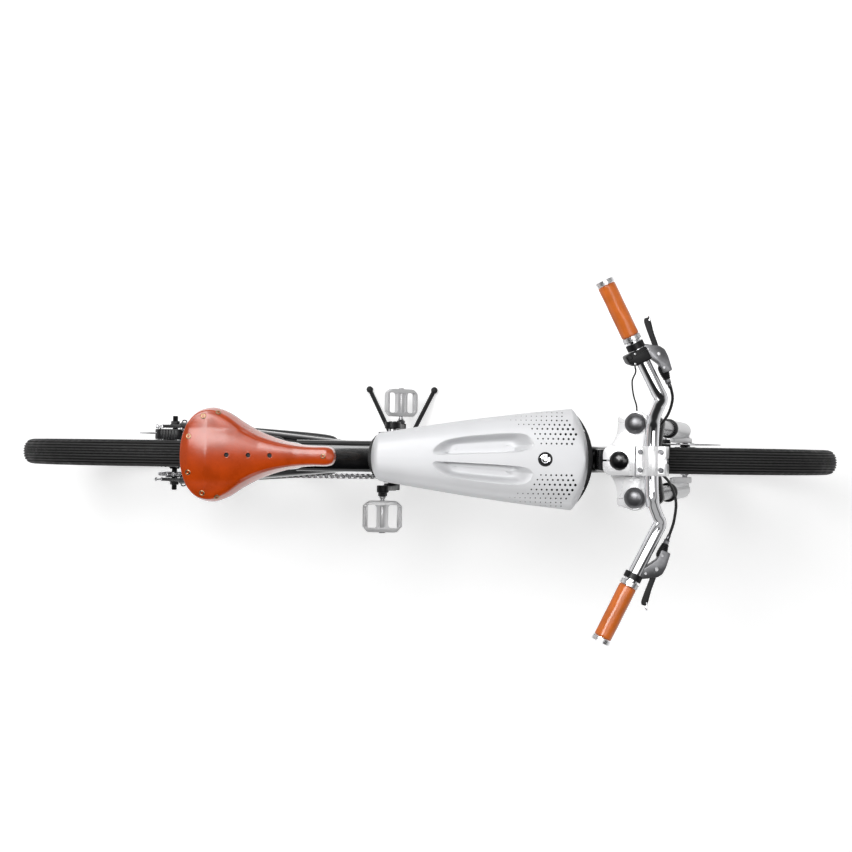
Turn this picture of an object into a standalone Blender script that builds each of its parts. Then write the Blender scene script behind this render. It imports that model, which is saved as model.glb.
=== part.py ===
"""Electric bicycle with a perforated tank cover, a leather saddle and a double crown fork.

Metres, +Z up. The origin lies on the ground midway between the wheel axles, in the plane of symmetry.
+X points to the front wheel and +Y to the rider's left.
"""

import math

import bmesh
import bpy
from mathutils import Matrix, Vector

# Height of both axles in the drawing. The drawing is set down by GROUND_Z at the end, so that the tyres
# stand on the ground.
AXLE_Z = 0.3383628

# Clearances
GAP = 0.0003
RUNNING_GAP = 0.0006
SHORTEST_EDGE = 0.000010

# Wheels
WHEELBASE = 1.161
TYRE_RADIUS = 0.3255
TYRE_HALF_WIDTH = 0.0275
TYRE_FLAT_HALF_WIDTH = 0.0115
TYRE_WALL = 0.0042
WHEEL_FACETS = 32
BEAD_RADIUS = 0.2793
RIM_INNER_RADIUS = 0.2590
RIM_HALF_WIDTH = 0.0140
SPOKES = 28
SPOKE_RADIUS = 0.0012
SPOKE_CROSSING = math.radians(40)
FRONT_FLANGE_RADIUS = 0.0245
FRONT_FLANGE_OFFSET = 0.0270
FRONT_HUB_RADIUS = 0.0150
REAR_FLANGE_RADIUS = 0.0330
REAR_FLANGE_OFFSET = 0.0290
REAR_HUB_RADIUS = 0.0270
FLANGE_THICKNESS = 0.0040
HUB_BORE_RADIUS = 0.0066
ROTOR_RADIUS = 0.080
ROTOR_BAND = 0.0150
ROTOR_THICKNESS = 0.0020
FRONT_ROTOR_Y = 0.0355
REAR_ROTOR_Y = 0.0440
AXLE_RADIUS = 0.0060
FRONT_AXLE_HALF_LENGTH = 0.0620
CARRIER_INNER_Y = 0.0390
REAR_AXLE_HALF_LENGTH = 0.0840

# Steering
HEAD_ANGLE = math.radians(69.0)
FORK_OFFSET = 0.021
FORK_LEG_Y = 0.066
FORK_TUBE_RADIUS = 0.0150
SLIDER_RADIUS = 0.0185
SLIDER_LOW = 0.014
SLIDER_LENGTH = 0.245
CARRIER_OUTER_Y = 0.0500
FORK_TRAVEL = 0.050
LOWER_CROWN_HEIGHT = 0.406
CROWN_THICKNESS = 0.024
CUP_HEIGHT = 0.010
HEAD_TUBE_LENGTH = 0.138
HEAD_TUBE_RADIUS = 0.0230
STEERER_RADIUS = 0.0143
STEM_HEIGHT = 0.036
STEM_REACH = 0.054
CLAMP_HALF_LENGTH = 0.0265
CLAMP_HALF_WIDTH = 0.0258
CAP_RADIUS = 0.0165
FORK_CAP_RADIUS = 0.0190
BAR_RADIUS = 0.0119
GRIP_RADIUS = 0.0152
GRIP_LENGTH = 0.0965
COLLAR_LENGTH = 0.009
# Points of the bar and levers are given from the front axle, on the left
GRIP_START = (-0.2385, 0.2050, 0.6426)
GRIP_END = (-0.2910, 0.3080, 0.6506)
ELBOW = (-0.1993, 0.1280, 0.6367)
BAR_BENDS = ((-0.1915, 0.0700, 0.6116), (-0.1870, 0.1020, 0.6266))
LEVER_CLAMP = (-0.2105, 0.1500, 0.6381)
LEVER_PIVOT = (-0.1955, 0.1830, 0.6386)
LEVER_BARREL = (-0.1775, 0.1410, 0.6336)
LEVER_KNEE = (-0.2060, 0.2020, 0.6401)
LEVER_TIP = (-0.2145, 0.2500, 0.6426)
LEVER_THICKNESS = 0.0088
SWITCH_ALONG = 0.0645
SWITCH_BOX = (0.034, 0.036, 0.032)
SWITCH_BOX_BACK = 0.011
BUTTON_RADIUS = 0.0040
HOSE_RADIUS = 0.0025
WIRE_RADIUS = 0.0014

# Frame
BRACKET_X = -0.087
BRACKET_Z = 0.285
MOTOR_RADIUS = 0.066
MOTOR_HALF_WIDTH = 0.040
CRADLE_WALL = 0.008
BEAM_WIDTH = 0.062
BEAM_CHAMFER = 0.011
BEAM_TOP_Z = 0.706
TANK_TILT = math.radians(3.4)
HEAD_BLOCK = ((-0.2660, 0.3876), (-0.2105, 0.4316), (-0.2165, 0.5116), (-0.2660, 0.4836))
HEAD_BLOCK_HALF_WIDTH = 0.0205
SEAT_ANGLE = math.radians(69.5)
SEAT_TUBE_RADIUS = 0.0180
SEAT_TUBE_TOP_Z = 0.752
SEAT_POST_RADIUS = 0.0136
SEAT_POST_LOW_Z = 0.653
SEAT_POST_DROP = 0.040
STAY_WIDTH = 0.0160
DROPOUT_Y = 0.0600
DROPOUT_THICKNESS = 0.0070

# Drive
CHAIN_PITCH = 0.0127
CHAINRING_TEETH = 44
SPROCKET_TEETH = 16
CHAIN_LINE_Y = -0.0480
TOOTH_THICKNESS = 0.0020
CHAIN_PLATE_THICKNESS = 0.0012
CHAIN_INSIDE_WIDTH = 0.0034
CHAIN_PLATE_HEIGHT = 0.0084
ROLLER_RADIUS = 0.0038
CRANK_LENGTH = 0.170
CRANK_TILT = math.radians(5.0)
CRANK_ARM_Y = 0.0715
CRANK_ARM_THICKNESS = 0.0150
SPINDLE_RADIUS = 0.0100
PEDAL_INNER_Y = 0.0970
PEDAL_WIDTH = 0.0680
PEDAL_LENGTH = 0.0840
PEDAL_HEIGHT = 0.0200
LEFT_PEDAL_TILT = math.radians(28.0)

# Kickstand
STAND_HUB_RADIUS = 0.0330
STAND_PIVOT_RADIUS = 0.0280
STAND_FACETS = 20
STAND_LEG_RADIUS = 0.0055
STAND_FOOT_Y = 0.1680
STAND_REAR_FOOT_X = -0.155
STAND_FRONT_FOOT_X = 0.010
STAND_INNER_Y = 0.0520
STAND_KINK_Z = 0.0860
FOOT_RADIUS = 0.0085

# Tank
TANK_REAR_X = -0.118
TANK_FRONT_SETBACK = 0.2741
TANK_REAR_HALF_WIDTH = 0.0465
TANK_FRONT_HALF_WIDTH = 0.0958
TANK_HEIGHT = 0.102
TANK_WALL = 0.0025
TANK_RIM_HEIGHT = 0.008
TANK_RIM_FRONT = 0.0050
TANK_RIM_REAR = 0.0027
TANK_RIM_SIDE = 0.0004
TANK_LIFT = 0.100
RECESS_DEPTH = 0.026
RECESS_START = 0.1250
RECESS_LENGTH = 0.1895
TANK_STEPS = ((0.0, 0.42), (0.035, 0.66), (0.11, 0.82), (0.27, 0.93), (0.52, 0.985), (0.82, 1.0))
TANK_BASE = 0.0048
LOCK_X = 0.3355
LOCK_RADIUS = 0.0098
SPEAKER_SETBACK = 0.0731483
SPEAKER_Y = 0.0520
BATTERY_SETBACK = 0.1251483

# Seat
SADDLE_REAR_X = -0.447
SADDLE_NOSE_X = -0.169
SADDLE_TOP_Z = 0.905
SADDLE_HALF_WIDTH = 0.0845
SADDLE_NOSE_HALF_WIDTH = 0.0180
SADDLE_WALL = 0.0045
RAIL_RADIUS = 0.0036
RAIL_Y = 0.0220
RAIL_Z = 0.8460
HEAD_Z = RAIL_Z - 0.0045
SADDLE_STATIONS = (
    (-0.169, 0.0070, -0.006, 0.012), (-0.174, 0.0145, -0.002, 0.026), (-0.186, 0.0180, 0.000, 0.036),
    (-0.215, 0.0188, -0.004, 0.042), (-0.245, 0.0225, -0.006, 0.046), (-0.277, 0.0306, -0.006, 0.048),
    (-0.309, 0.0428, -0.005, 0.047), (-0.338, 0.0590, -0.003, 0.043), (-0.364, 0.0760, -0.001, 0.036),
    (-0.391, 0.0845, 0.000, 0.030), (-0.415, 0.0790, 0.000, 0.026), (-0.434, 0.0600, -0.001, 0.022),
    (-0.447, 0.0300, -0.006, 0.014),
)
SADDLE_ARCH = ((1.0, 1.0), (0.96, 0.62), (0.84, 0.26), (0.55, 0.05), (0.0, 0.0))


GROUND_Z = AXLE_Z - TYRE_RADIUS * math.cos(math.pi / WHEEL_FACETS)
FRONT_X = WHEELBASE / 2
TANK_FRONT_X = FRONT_X - TANK_FRONT_SETBACK
REAR_X = -WHEELBASE / 2
TANK_LENGTH = (TANK_FRONT_X - TANK_REAR_X) / math.cos(TANK_TILT)
LEFT, RIGHT = 1, -1

STEERING = (
    Matrix.Translation((
        FRONT_X - FORK_OFFSET * math.sin(HEAD_ANGLE),
        0.0,
        AXLE_Z - FORK_OFFSET * math.cos(HEAD_ANGLE),
    ))
    @ Matrix.Rotation(HEAD_ANGLE - math.pi / 2, 4, "Y")
)
HEAD_TUBE_BOTTOM = LOWER_CROWN_HEIGHT + CROWN_THICKNESS + CUP_HEIGHT + 2 * GAP
HEAD_TUBE_TOP = HEAD_TUBE_BOTTOM + HEAD_TUBE_LENGTH
UPPER_CROWN_HEIGHT = HEAD_TUBE_TOP + CUP_HEIGHT + 2 * GAP
STEM_BOTTOM = UPPER_CROWN_HEIGHT + CROWN_THICKNESS + GAP
STEM_TOP = STEM_BOTTOM + STEM_HEIGHT
BAR_HEIGHT = STEM_TOP - 0.0135


# Materials

MATERIALS = {}


def finish(name, colour, roughness, metallic=0.0):
    """A material with one Principled shader."""
    material = bpy.data.materials.new(name)
    material.use_nodes = True
    shader = material.node_tree.nodes["Principled BSDF"]
    shader.inputs["Base Color"].default_value = (*colour, 1.0)
    shader.inputs["Roughness"].default_value = roughness
    shader.inputs["Metallic"].default_value = metallic
    return material


FINISHES = {
    "black_gloss": ((0.012, 0.012, 0.014), 0.22, 0.0),
    "black_satin": ((0.020, 0.020, 0.022), 0.45, 0.0),
    "silver_paint": ((0.62, 0.63, 0.65), 0.38, 0.6),
    "polished_aluminium": ((0.80, 0.80, 0.81), 0.20, 1.0),
    "chrome": ((0.86, 0.86, 0.88), 0.06, 1.0),
    "steel": ((0.55, 0.55, 0.56), 0.32, 1.0),
    "leather": ((0.62, 0.20, 0.045), 0.35, 0.0),
    "tyre_rubber": ((0.018, 0.018, 0.018), 0.72, 0.0),
    "black_rubber": ((0.016, 0.016, 0.016), 0.65, 0.0),
    "battery_grey": ((0.16, 0.17, 0.18), 0.55, 0.0),
}


# Shape building

def ring_points(radius, count, turn=0.0):
    """Points on a circle in the XY plane."""
    return [
        Vector((
            radius * math.cos(turn + 2 * math.pi * n / count),
            radius * math.sin(turn + 2 * math.pi * n / count),
            0.0,
        ))
        for n in range(count)
    ]


def add_loops(bm, loops, closed=False):
    """Skins equal loops of points one after another, with end faces unless the row of loops is closed."""
    rows = [[bm.verts.new(point) for point in loop] for loop in loops]
    pairs = list(zip(rows, rows[1:]))
    if closed:
        pairs.append((rows[-1], rows[0]))
    count = len(rows[0])
    for low, high in pairs:
        for n in range(count):
            m = (n + 1) % count
            bm.faces.new((low[n], low[m], high[m], high[n]))
    if not closed:
        bm.faces.new(tuple(reversed(rows[0])))
        bm.faces.new(tuple(rows[-1]))


def shape(loops, closed=False, matrix=None):
    """A closed bmesh from loops of points, moved by a matrix."""
    bm = bmesh.new()
    add_loops(bm, loops, closed)
    return settled(bm, matrix)


def settled(bm, matrix=None):
    """Moves a bmesh and makes its faces point out."""
    if matrix is not None:
        bm.transform(matrix)
    bmesh.ops.recalc_face_normals(bm, faces=bm.faces)
    return bm


def turned(profile, count, matrix=None, closed=False):
    """Revolves (radius, height) points about Z. A closed profile makes a ring."""
    rows = []
    for radius, height in profile:
        rows.append([p + Vector((0, 0, height)) for p in ring_points(radius, count, math.pi / count)])
    return shape(rows, closed, matrix)


def hole(radius, count, gap=GAP):
    """Corner radius of a faceted hole whose flats clear a round of the given radius."""
    return (radius + gap) / math.cos(math.pi / count)


def about_y(centre):
    """Places a shape turned about Z so that it turns about +Y, with its first facet downwards."""
    return Matrix.Translation(centre) @ Matrix.Rotation(-math.pi / 2, 4, "X")


def rod(start, end, radius, count=10, end_radius=None):
    """A straight round bar between two points."""
    start, end = Vector(start), Vector(end)
    turn = (end - start).to_track_quat("Z", "Y").to_matrix().to_4x4()
    length = (end - start).length
    profile = [(radius, 0.0), (end_radius or radius, length)]
    return turned(profile, count, Matrix.Translation(start) @ turn)


def block(size, matrix=None):
    """A rectangular block about the origin."""
    x, y, z = (side / 2 for side in size)
    base = [Vector((-x, -y, 0)), Vector((x, -y, 0)), Vector((x, y, 0)), Vector((-x, y, 0))]
    return shape([[p + Vector((0, 0, h)) for p in base] for h in (-z, z)], False, matrix)


def plate(outline, low, high, matrix=None):
    """An outline of (x, y) points, extruded along Z."""
    return shape([[Vector((x, y, h)) for x, y in outline] for h in (low, high)], False, matrix)


def upright(y=0.0):
    """Stands an XY outline up in the XZ plane, so its extrusion runs along +Y."""
    return Matrix.Translation((0, y, 0)) @ Matrix(((1, 0, 0, 0), (0, 0, 1, 0), (0, 1, 0, 0), (0, 0, 0, 1)))


def swept(points, radius, count=8):
    """A round bar that follows points, with its section kept from twisting."""
    points = [Vector(p) for p in points]
    normal = None
    loops = []
    for n, point in enumerate(points):
        before = points[max(n - 1, 0)]
        after = points[min(n + 1, len(points) - 1)]
        along = (after - before).normalized()
        if normal is None:
            normal = along.orthogonal()
        normal = (normal - along * normal.dot(along)).normalized()
        side = along.cross(normal)
        stretch = 1.0
        if 0 < n < len(points) - 1:
            bend = (point - before).angle(after - point, 0.0)
            stretch = 1.0 / math.cos(bend / 2)
        ring = []
        for k in range(count):
            turn = 2 * math.pi * k / count
            ring.append(point + (normal * math.cos(turn) * stretch + side * math.sin(turn)) * radius)
        loops.append(ring)
    return shape(loops)


def smooth_path(points, steps):
    """Points on a Catmull-Rom curve through the given points."""
    points = [Vector(p) for p in points]
    ends = [2 * points[0] - points[1], *points, 2 * points[-1] - points[-2]]
    path = []
    for n in range(1, len(ends) - 2):
        a, b, c, d = ends[n - 1:n + 3]
        for k in range(steps):
            t = k / steps
            path.append(0.5 * (
                2 * b + (c - a) * t + (2 * a - 5 * b + 4 * c - d) * t * t
                + (3 * b - a - 3 * c + d) * t ** 3
            ))
    path.append(points[-1])
    return path


def bar_section(width, height, chamfer):
    """A rectangle with cut corners, across a beam."""
    w, h, c = width / 2, height / 2, chamfer
    return [
        (-w + c, -h), (w - c, -h), (w, -h + c), (w, h - c),
        (w - c, h), (-w + c, h), (-w, h - c), (-w, -h + c),
    ]


def beam(stations):
    """A chamfered beam through stations of (x, y, z, width, height, chamfer)."""
    centres = [Vector(s[:3]) for s in stations]
    loops = []
    for n, station in enumerate(stations):
        before = centres[max(n - 1, 0)]
        after = centres[min(n + 1, len(centres) - 1)]
        along = (after - before).normalized()
        up = Vector((0, 0, 1))
        up = (up - along * up.dot(along)).normalized()
        side = along.cross(up)
        loops.append([
            centres[n] + side * a + up * b for a, b in bar_section(*station[3:])
        ])
    return shape(loops)


# Objects

def solid(name, bm, finish_name, axis=None):
    """Makes an object of a bmesh in world space, with its origin at its axis point."""
    mesh = bpy.data.meshes.new(name)
    origin = Vector(axis) if axis is not None else Vector((0, 0, 0))
    bm.transform(Matrix.Translation(-origin))
    bmesh.ops.triangulate(bm, faces=[f for f in bm.faces if len(f.verts) > 4])
    bm.to_mesh(mesh)
    bm.free()
    mesh.shade_smooth()
    mesh.set_sharp_from_angle(angle=math.radians(35))
    mesh.materials.append(MATERIALS[finish_name])
    made = bpy.data.objects.new(name, mesh)
    made.location = origin
    bpy.context.scene.collection.objects.link(made)
    return made


def joined(target, shapes, operation="UNION", solver="EXACT"):
    """Adds shapes to an object, or cuts them from it, and keeps the result as its mesh."""
    for n, bm in enumerate(shapes):
        tool = solid(f"{target.name}_tool_{n}", bm, "steel")
        tool.hide_render = True
        tool.display_type = "WIRE"
        step = target.modifiers.new(f"{operation.title()}_{n}", "BOOLEAN")
        step.operation = operation
        step.solver = solver
        step.object = tool
    bpy.context.view_layer.update()
    seen = target.evaluated_get(bpy.context.evaluated_depsgraph_get())
    mesh = bpy.data.meshes.new_from_object(seen)
    mesh.name = target.name
    tools = [step.object for step in target.modifiers]
    target.modifiers.clear()
    target.data = mesh
    for tool in tools:
        bpy.data.objects.remove(tool, do_unlink=True)
    return target


def without_slivers(target):
    """Divides the faces into triangles, and closes up the edges that are too short to see."""
    bm = bmesh.new()
    bm.from_mesh(target.data)
    bmesh.ops.triangulate(bm, faces=bm.faces)
    bmesh.ops.dissolve_degenerate(bm, dist=SHORTEST_EDGE, edges=bm.edges)
    bm.to_mesh(target.data)
    bm.free()
    return target


def merged(*shapes):
    """One bmesh that holds several shapes which stay apart."""
    whole = bmesh.new()
    for bm in shapes:
        mesh = bpy.data.meshes.new("shape")
        bm.to_mesh(mesh)
        bm.free()
        whole.from_mesh(mesh)
        bpy.data.meshes.remove(mesh)
    return whole


def steered(x, y, height):
    """A world point from its place in the steering frame."""
    return STEERING @ Vector((x, y, height))


def ahead(x, y, z):
    """A world point from its place in front of and above the front axle."""
    return Vector((FRONT_X + x, y, AXLE_Z + z))


def behind(x, y, z):
    """A world point from its place in front of and above the rear axle."""
    return Vector((REAR_X + x, y, AXLE_Z + z))


# Wheels

def tyre_profile():
    """The tyre's section as (radius, offset), once round from the left bead."""
    w = TYRE_HALF_WIDTH
    outer = [
        (BEAD_RADIUS + GAP, 0.0135), (0.2900, 0.0225), (0.3030, w), (0.3175, 0.0215),
        (TYRE_RADIUS, TYRE_FLAT_HALF_WIDTH),
    ]
    inner = [(TYRE_RADIUS - TYRE_WALL, 0.0110), (0.3025, w - TYRE_WALL)]
    left_inner = [(r, y) for r, y in inner] + [(BEAD_RADIUS + GAP, 0.0105)]
    right_inner = [(r, -y) for r, y in reversed(left_inner)]
    return outer + [(r, -y) for r, y in reversed(outer)] + right_inner + left_inner


def make_tyre(name, centre):
    solid(name, turned(tyre_profile(), WHEEL_FACETS, about_y(centre), True), "tyre_rubber", centre)


def make_rim(name, centre):
    w = RIM_HALF_WIDTH
    outer = BEAD_RADIUS
    profile = [
        (outer, w), (outer - 0.0085, w), (RIM_INNER_RADIUS, 0.0080),
        (RIM_INNER_RADIUS, -0.0080), (outer - 0.0085, -w), (outer, -w),
        (outer - 0.0060, 0.0050 - w), (outer - 0.0060, w - 0.0050),
    ]
    solid(name, turned(profile, WHEEL_FACETS, about_y(centre), True), "polished_aluminium", centre)


def hub_profile(flange_radius, flange_offset, shell_radius, end_y):
    """Half of the hub's profile mirrored, as a ring round the axle."""
    t = FLANGE_THICKNESS / 2
    half = [
        (HUB_BORE_RADIUS, end_y), (0.0135, end_y), (0.0150, flange_offset + t),
        (flange_radius, flange_offset + t), (flange_radius, flange_offset - t),
        (shell_radius, flange_offset - t - 0.003),
    ]
    return half + [(r, -y) for r, y in reversed(half)]


def spoke(centre, flange_radius, flange_y, angle, lean):
    """One spoke from its hole in the flange to just inside the rim."""
    inner = flange_radius - 0.0035
    outer = RIM_INNER_RADIUS * math.cos(math.pi / WHEEL_FACETS) - GAP
    far = angle + lean
    start = Vector((inner * math.cos(angle), flange_y, inner * math.sin(angle)))
    end = Vector((outer * math.cos(far), math.copysign(0.003, flange_y), outer * math.sin(far)))
    return rod(centre + start, centre + end, SPOKE_RADIUS, 3)


def make_hub(name, centre, flange_radius, flange_offset, shell_radius, end_y):
    profile = hub_profile(flange_radius, flange_offset, shell_radius, end_y)
    hub = solid(name, turned(profile, 14, about_y(centre), True), "polished_aluminium", centre)
    place = Vector(centre)
    step = 2 * math.pi / SPOKES
    sets = [[], [], [], []]
    for n in range(SPOKES):
        side = 1 if n % 2 else -1
        lean = SPOKE_CROSSING if (n // 2) % 2 else -SPOKE_CROSSING
        shift = 0.0012 if lean > 0 else -0.0012
        group = (n % 2) * 2 + (n // 2) % 2
        sets[group].append(spoke(
            place, flange_radius, side * flange_offset + shift,
            (n + 0.25) * step - lean * 0.5, lean,
        ))
    joined(hub, [merged(*group) for group in sets])


def make_rotor(name, centre, y, hub_radius):
    """A brake disc: a band on six arms, with a flange that fits the hub."""
    place = Vector((centre[0], y, centre[2]))
    half = ROTOR_THICKNESS / 2
    disc = solid(name, turned(
        [(hub_radius, -half), (ROTOR_RADIUS, -half), (ROTOR_RADIUS, half), (hub_radius, half)],
        24, about_y(place), True,
    ), "steel", place)
    windows = []
    inner, outer = hub_radius + 0.008, ROTOR_RADIUS - ROTOR_BAND
    for n in range(6):
        low, high = math.radians(60 * n + 6), math.radians(60 * n + 50)
        outline = [
            (inner * math.cos(low), inner * math.sin(low)),
            (outer * math.cos(low + 0.25), outer * math.sin(low + 0.25)),
            (outer * math.cos(high + 0.2), outer * math.sin(high + 0.2)),
            (inner * math.cos(high), inner * math.sin(high)),
        ]
        windows.append(plate(outline, -0.01, 0.01, Matrix.Translation(place) @ upright()))
    joined(disc, [merged(*windows)], "DIFFERENCE")


def make_axle(name, centre, half_length, seat_y):
    """The axle with a nut outside each dropout."""
    place = Vector(centre)
    side = Vector((0, half_length, 0))
    axle = solid(name, rod(place - side, place + side, AXLE_RADIUS, 12), "steel", centre)
    nuts = []
    for way in (LEFT, RIGHT):
        start = place + Vector((0, way * seat_y, 0))
        nuts.append(rod(start, start + Vector((0, way * 0.008, 0)), 0.0100, 6))
    joined(axle, nuts)


def make_wheels():
    front = (FRONT_X, 0.0, AXLE_Z)
    rear = (REAR_X, 0.0, AXLE_Z)
    make_tyre("front_tyre", front)
    make_tyre("rear_tyre", rear)
    make_rim("front_rim", front)
    make_rim("rear_rim", rear)
    rotor_seat = ROTOR_THICKNESS / 2 + GAP
    make_hub("front_hub_and_spokes", front, FRONT_FLANGE_RADIUS, FRONT_FLANGE_OFFSET,
             FRONT_HUB_RADIUS, FRONT_ROTOR_Y - rotor_seat)
    make_hub("rear_hub_and_spokes", rear, REAR_FLANGE_RADIUS, REAR_FLANGE_OFFSET,
             REAR_HUB_RADIUS, REAR_ROTOR_Y - rotor_seat)
    make_rotor("front_brake_rotor", front, FRONT_ROTOR_Y, 0.0110)
    make_rotor("rear_brake_rotor", rear, REAR_ROTOR_Y, 0.0110)
    make_axle("front_axle", front, FRONT_AXLE_HALF_LENGTH, CARRIER_OUTER_Y + GAP)
    make_axle("rear_axle", rear, REAR_AXLE_HALF_LENGTH, DROPOUT_Y + DROPOUT_THICKNESS / 2 + GAP)


# Frame

def tank_frame():
    """The tilted frame of the tank: its origin on the beam's top below the tank's rear end."""
    return Matrix.Translation((TANK_REAR_X, 0, BEAM_TOP_Z)) @ Matrix.Rotation(-TANK_TILT, 4, "Y")


def beam_top(x):
    """Height of the beam's top face."""
    return BEAM_TOP_Z + (x - TANK_REAR_X) * math.tan(TANK_TILT)


def seat_line(z):
    """X of the seat tube's centre line at a height."""
    return BRACKET_X - (z - BRACKET_Z) / math.tan(SEAT_ANGLE)


def make_frame():
    head = turned([
        (HEAD_TUBE_RADIUS, HEAD_TUBE_BOTTOM), (HEAD_TUBE_RADIUS, HEAD_TUBE_TOP),
    ], 20, STEERING)
    frame = solid("frame", head, "black_gloss")
    low = steered(0, 0, HEAD_TUBE_BOTTOM + 0.052)
    depth = 0.058
    top_beam = []
    for x, height, width in (
        (FRONT_X - 0.2580, depth + 0.004, 0.052), (0.140, depth, BEAM_WIDTH), (0.0, depth, BEAM_WIDTH),
        (-0.150, depth, BEAM_WIDTH), (-0.262, depth, BEAM_WIDTH),
    ):
        top_beam.append((x, 0.0, beam_top(x) - height / 2, width, height, BEAM_CHAMFER))
    top_beam.insert(0, (low.x - 0.008, 0.0, low.z - 0.004, 0.044, 0.062, 0.008))
    outline = [(FRONT_X + x, AXLE_Z + z) for x, z in HEAD_BLOCK]
    head_block = plate(outline, -HEAD_BLOCK_HALF_WIDTH, HEAD_BLOCK_HALF_WIDTH, upright())
    down_tube = beam([
        (low.x - 0.010, 0.0, low.z - 0.004, 0.046, 0.052, 0.010),
        (*ahead(-0.2355, 0.0, 0.3886), 0.050, 0.056, 0.010),
        (*ahead(-0.3305, 0.0, 0.2776), 0.056, 0.060, BEAM_CHAMFER),
        (BRACKET_X + 0.147, 0.0, BRACKET_Z + 0.145, BEAM_WIDTH, 0.064, BEAM_CHAMFER),
        (BRACKET_X + 0.053, 0.0, BRACKET_Z + 0.049, BEAM_WIDTH, 0.070, BEAM_CHAMFER),
    ])
    seat_tube = rod(
        (seat_line(0.340), 0, 0.340), (seat_line(SEAT_TUBE_TOP_Z), 0, SEAT_TUBE_TOP_Z),
        SEAT_TUBE_RADIUS, 16,
    )
    joined(frame, [beam(top_beam), head_block, down_tube, seat_tube, cradle()])
    joined(frame, [stay(side, upper) for side in (LEFT, RIGHT) for upper in (True, False)])
    joined(frame, [dropout(side) for side in (LEFT, RIGHT)])
    for side in (LEFT, RIGHT):
        joined(frame, tensioner(side))
    rail = [(0.050, -0.016), (0.330, -0.016), (0.330, 0.016), (0.050, 0.016)]
    joined(frame, [plate(rail, -0.004, TANK_BASE - GAP, tank_frame())])
    bore = turned([
        (STEERER_RADIUS + RUNNING_GAP, HEAD_TUBE_BOTTOM - 0.02),
        (STEERER_RADIUS + RUNNING_GAP, HEAD_TUBE_TOP + 0.02),
    ], 20, STEERING)
    post_depth = SEAT_POST_LOW_Z - SEAT_POST_DROP - 0.004
    seat_bore = rod(
        (seat_line(post_depth), 0, post_depth), (seat_line(0.80), 0, 0.80),
        hole(SEAT_POST_RADIUS, 16), 16,
    )
    middle = Vector((BRACKET_X, 0, BRACKET_Z))
    reach = Vector((0, BEAM_WIDTH, 0))
    motor_seat = rod(middle - reach, middle + reach, hole(MOTOR_RADIUS, 40), 40)
    joined(frame, [bore], "DIFFERENCE")
    joined(frame, [motor_seat], "DIFFERENCE")
    joined(frame, [seat_bore], "DIFFERENCE")


def tensioner(side):
    """The adjusting bolt that stands out of the dropout's upper prong."""
    y, z = side * DROPOUT_Y, AXLE_Z + 0.0122
    shank = rod((REAR_X - 0.015, y, z), (REAR_X - 0.040, y, z), 0.0024, 8)
    head = rod((REAR_X - 0.036, y, z), (REAR_X - 0.041, y, z), 0.0046, 6)
    return shank, head


def cradle():
    """The saddle shaped bracket that holds the motor from above."""
    inner = MOTOR_RADIUS + GAP
    outer = inner + CRADLE_WALL
    angles = [math.radians(-5 + 190 * n / 14) for n in range(15)]
    outline = [(BRACKET_X + outer * math.cos(a), BRACKET_Z + outer * math.sin(a)) for a in angles]
    outline += [
        (BRACKET_X + inner * math.cos(a), BRACKET_Z + inner * math.sin(a)) for a in reversed(angles)
    ]
    half = BEAM_WIDTH / 2
    return plate(outline, -half, half, upright())


def stay(side, upper):
    """One seat stay or chain stay, from the frame's middle to its dropout."""
    if upper:
        stations = [
            (-0.170, 0.0225, beam_top(-0.170) - 0.026, 0.017, 0.046, 0.004),
            (-0.270, 0.0330, 0.626, 0.017, 0.036, 0.004),
            (REAR_X + 0.030, DROPOUT_Y + 0.0015, AXLE_Z + 0.0496, STAY_WIDTH, 0.024, 0.004),
        ]
    else:
        stations = [
            (BRACKET_X - MOTOR_RADIUS - 0.002, 0.0205, 0.306, 0.018, 0.030, 0.004),
            (-0.212, 0.0290, 0.303, 0.017, 0.028, 0.004),
            (-0.262, 0.0420, 0.306, STAY_WIDTH, 0.026, 0.004),
            (REAR_X + 0.034, DROPOUT_Y + 0.0020, AXLE_Z - 0.004, STAY_WIDTH, 0.022, 0.004),
        ]
    return beam([(x, side * y, z, w, h, c) for x, y, z, w, h, c in stations])


def dropout(side):
    """The plate with the axle slot, between the two stays."""
    x, z = REAR_X, AXLE_Z
    slot = AXLE_RADIUS + GAP
    outline = [
        (x + 0.050, z - 0.014), (x + 0.050, z + 0.034), (x + 0.026, z + 0.062),
        (x + 0.004, z + 0.040), (x - 0.024, z + 0.018), (x - 0.024, z + slot),
        (x + 0.010, z + slot), (x + 0.013, z), (x + 0.010, z - slot),
        (x - 0.024, z - slot), (x - 0.022, z - 0.018), (x + 0.004, z - 0.022),
    ]
    half = DROPOUT_THICKNESS / 2
    return plate(outline, side * DROPOUT_Y - half, side * DROPOUT_Y + half, upright())


def make_motor():
    """The drive unit below the cradle, with a round boss on each side and the spindle's bore."""
    centre = Vector((BRACKET_X, 0, BRACKET_Z))
    w = MOTOR_HALF_WIDTH
    r = MOTOR_RADIUS
    pivot = STAND_PIVOT_RADIUS
    profile = [
        (SPINDLE_RADIUS + RUNNING_GAP, -w), (0.030, -w), (0.034, 0.005 - w), (r - 0.012, 0.005 - w),
        (r, 0.014 - w), (r, w - 0.014), (r - 0.012, w - 0.005), (0.034, w - 0.005),
        (0.034, w), (pivot, w), (pivot, w + 0.0155), (SPINDLE_RADIUS + RUNNING_GAP, w + 0.0155),
    ]
    solid("motor", turned(profile, 20, about_y(centre), True), "black_satin", centre)


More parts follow.
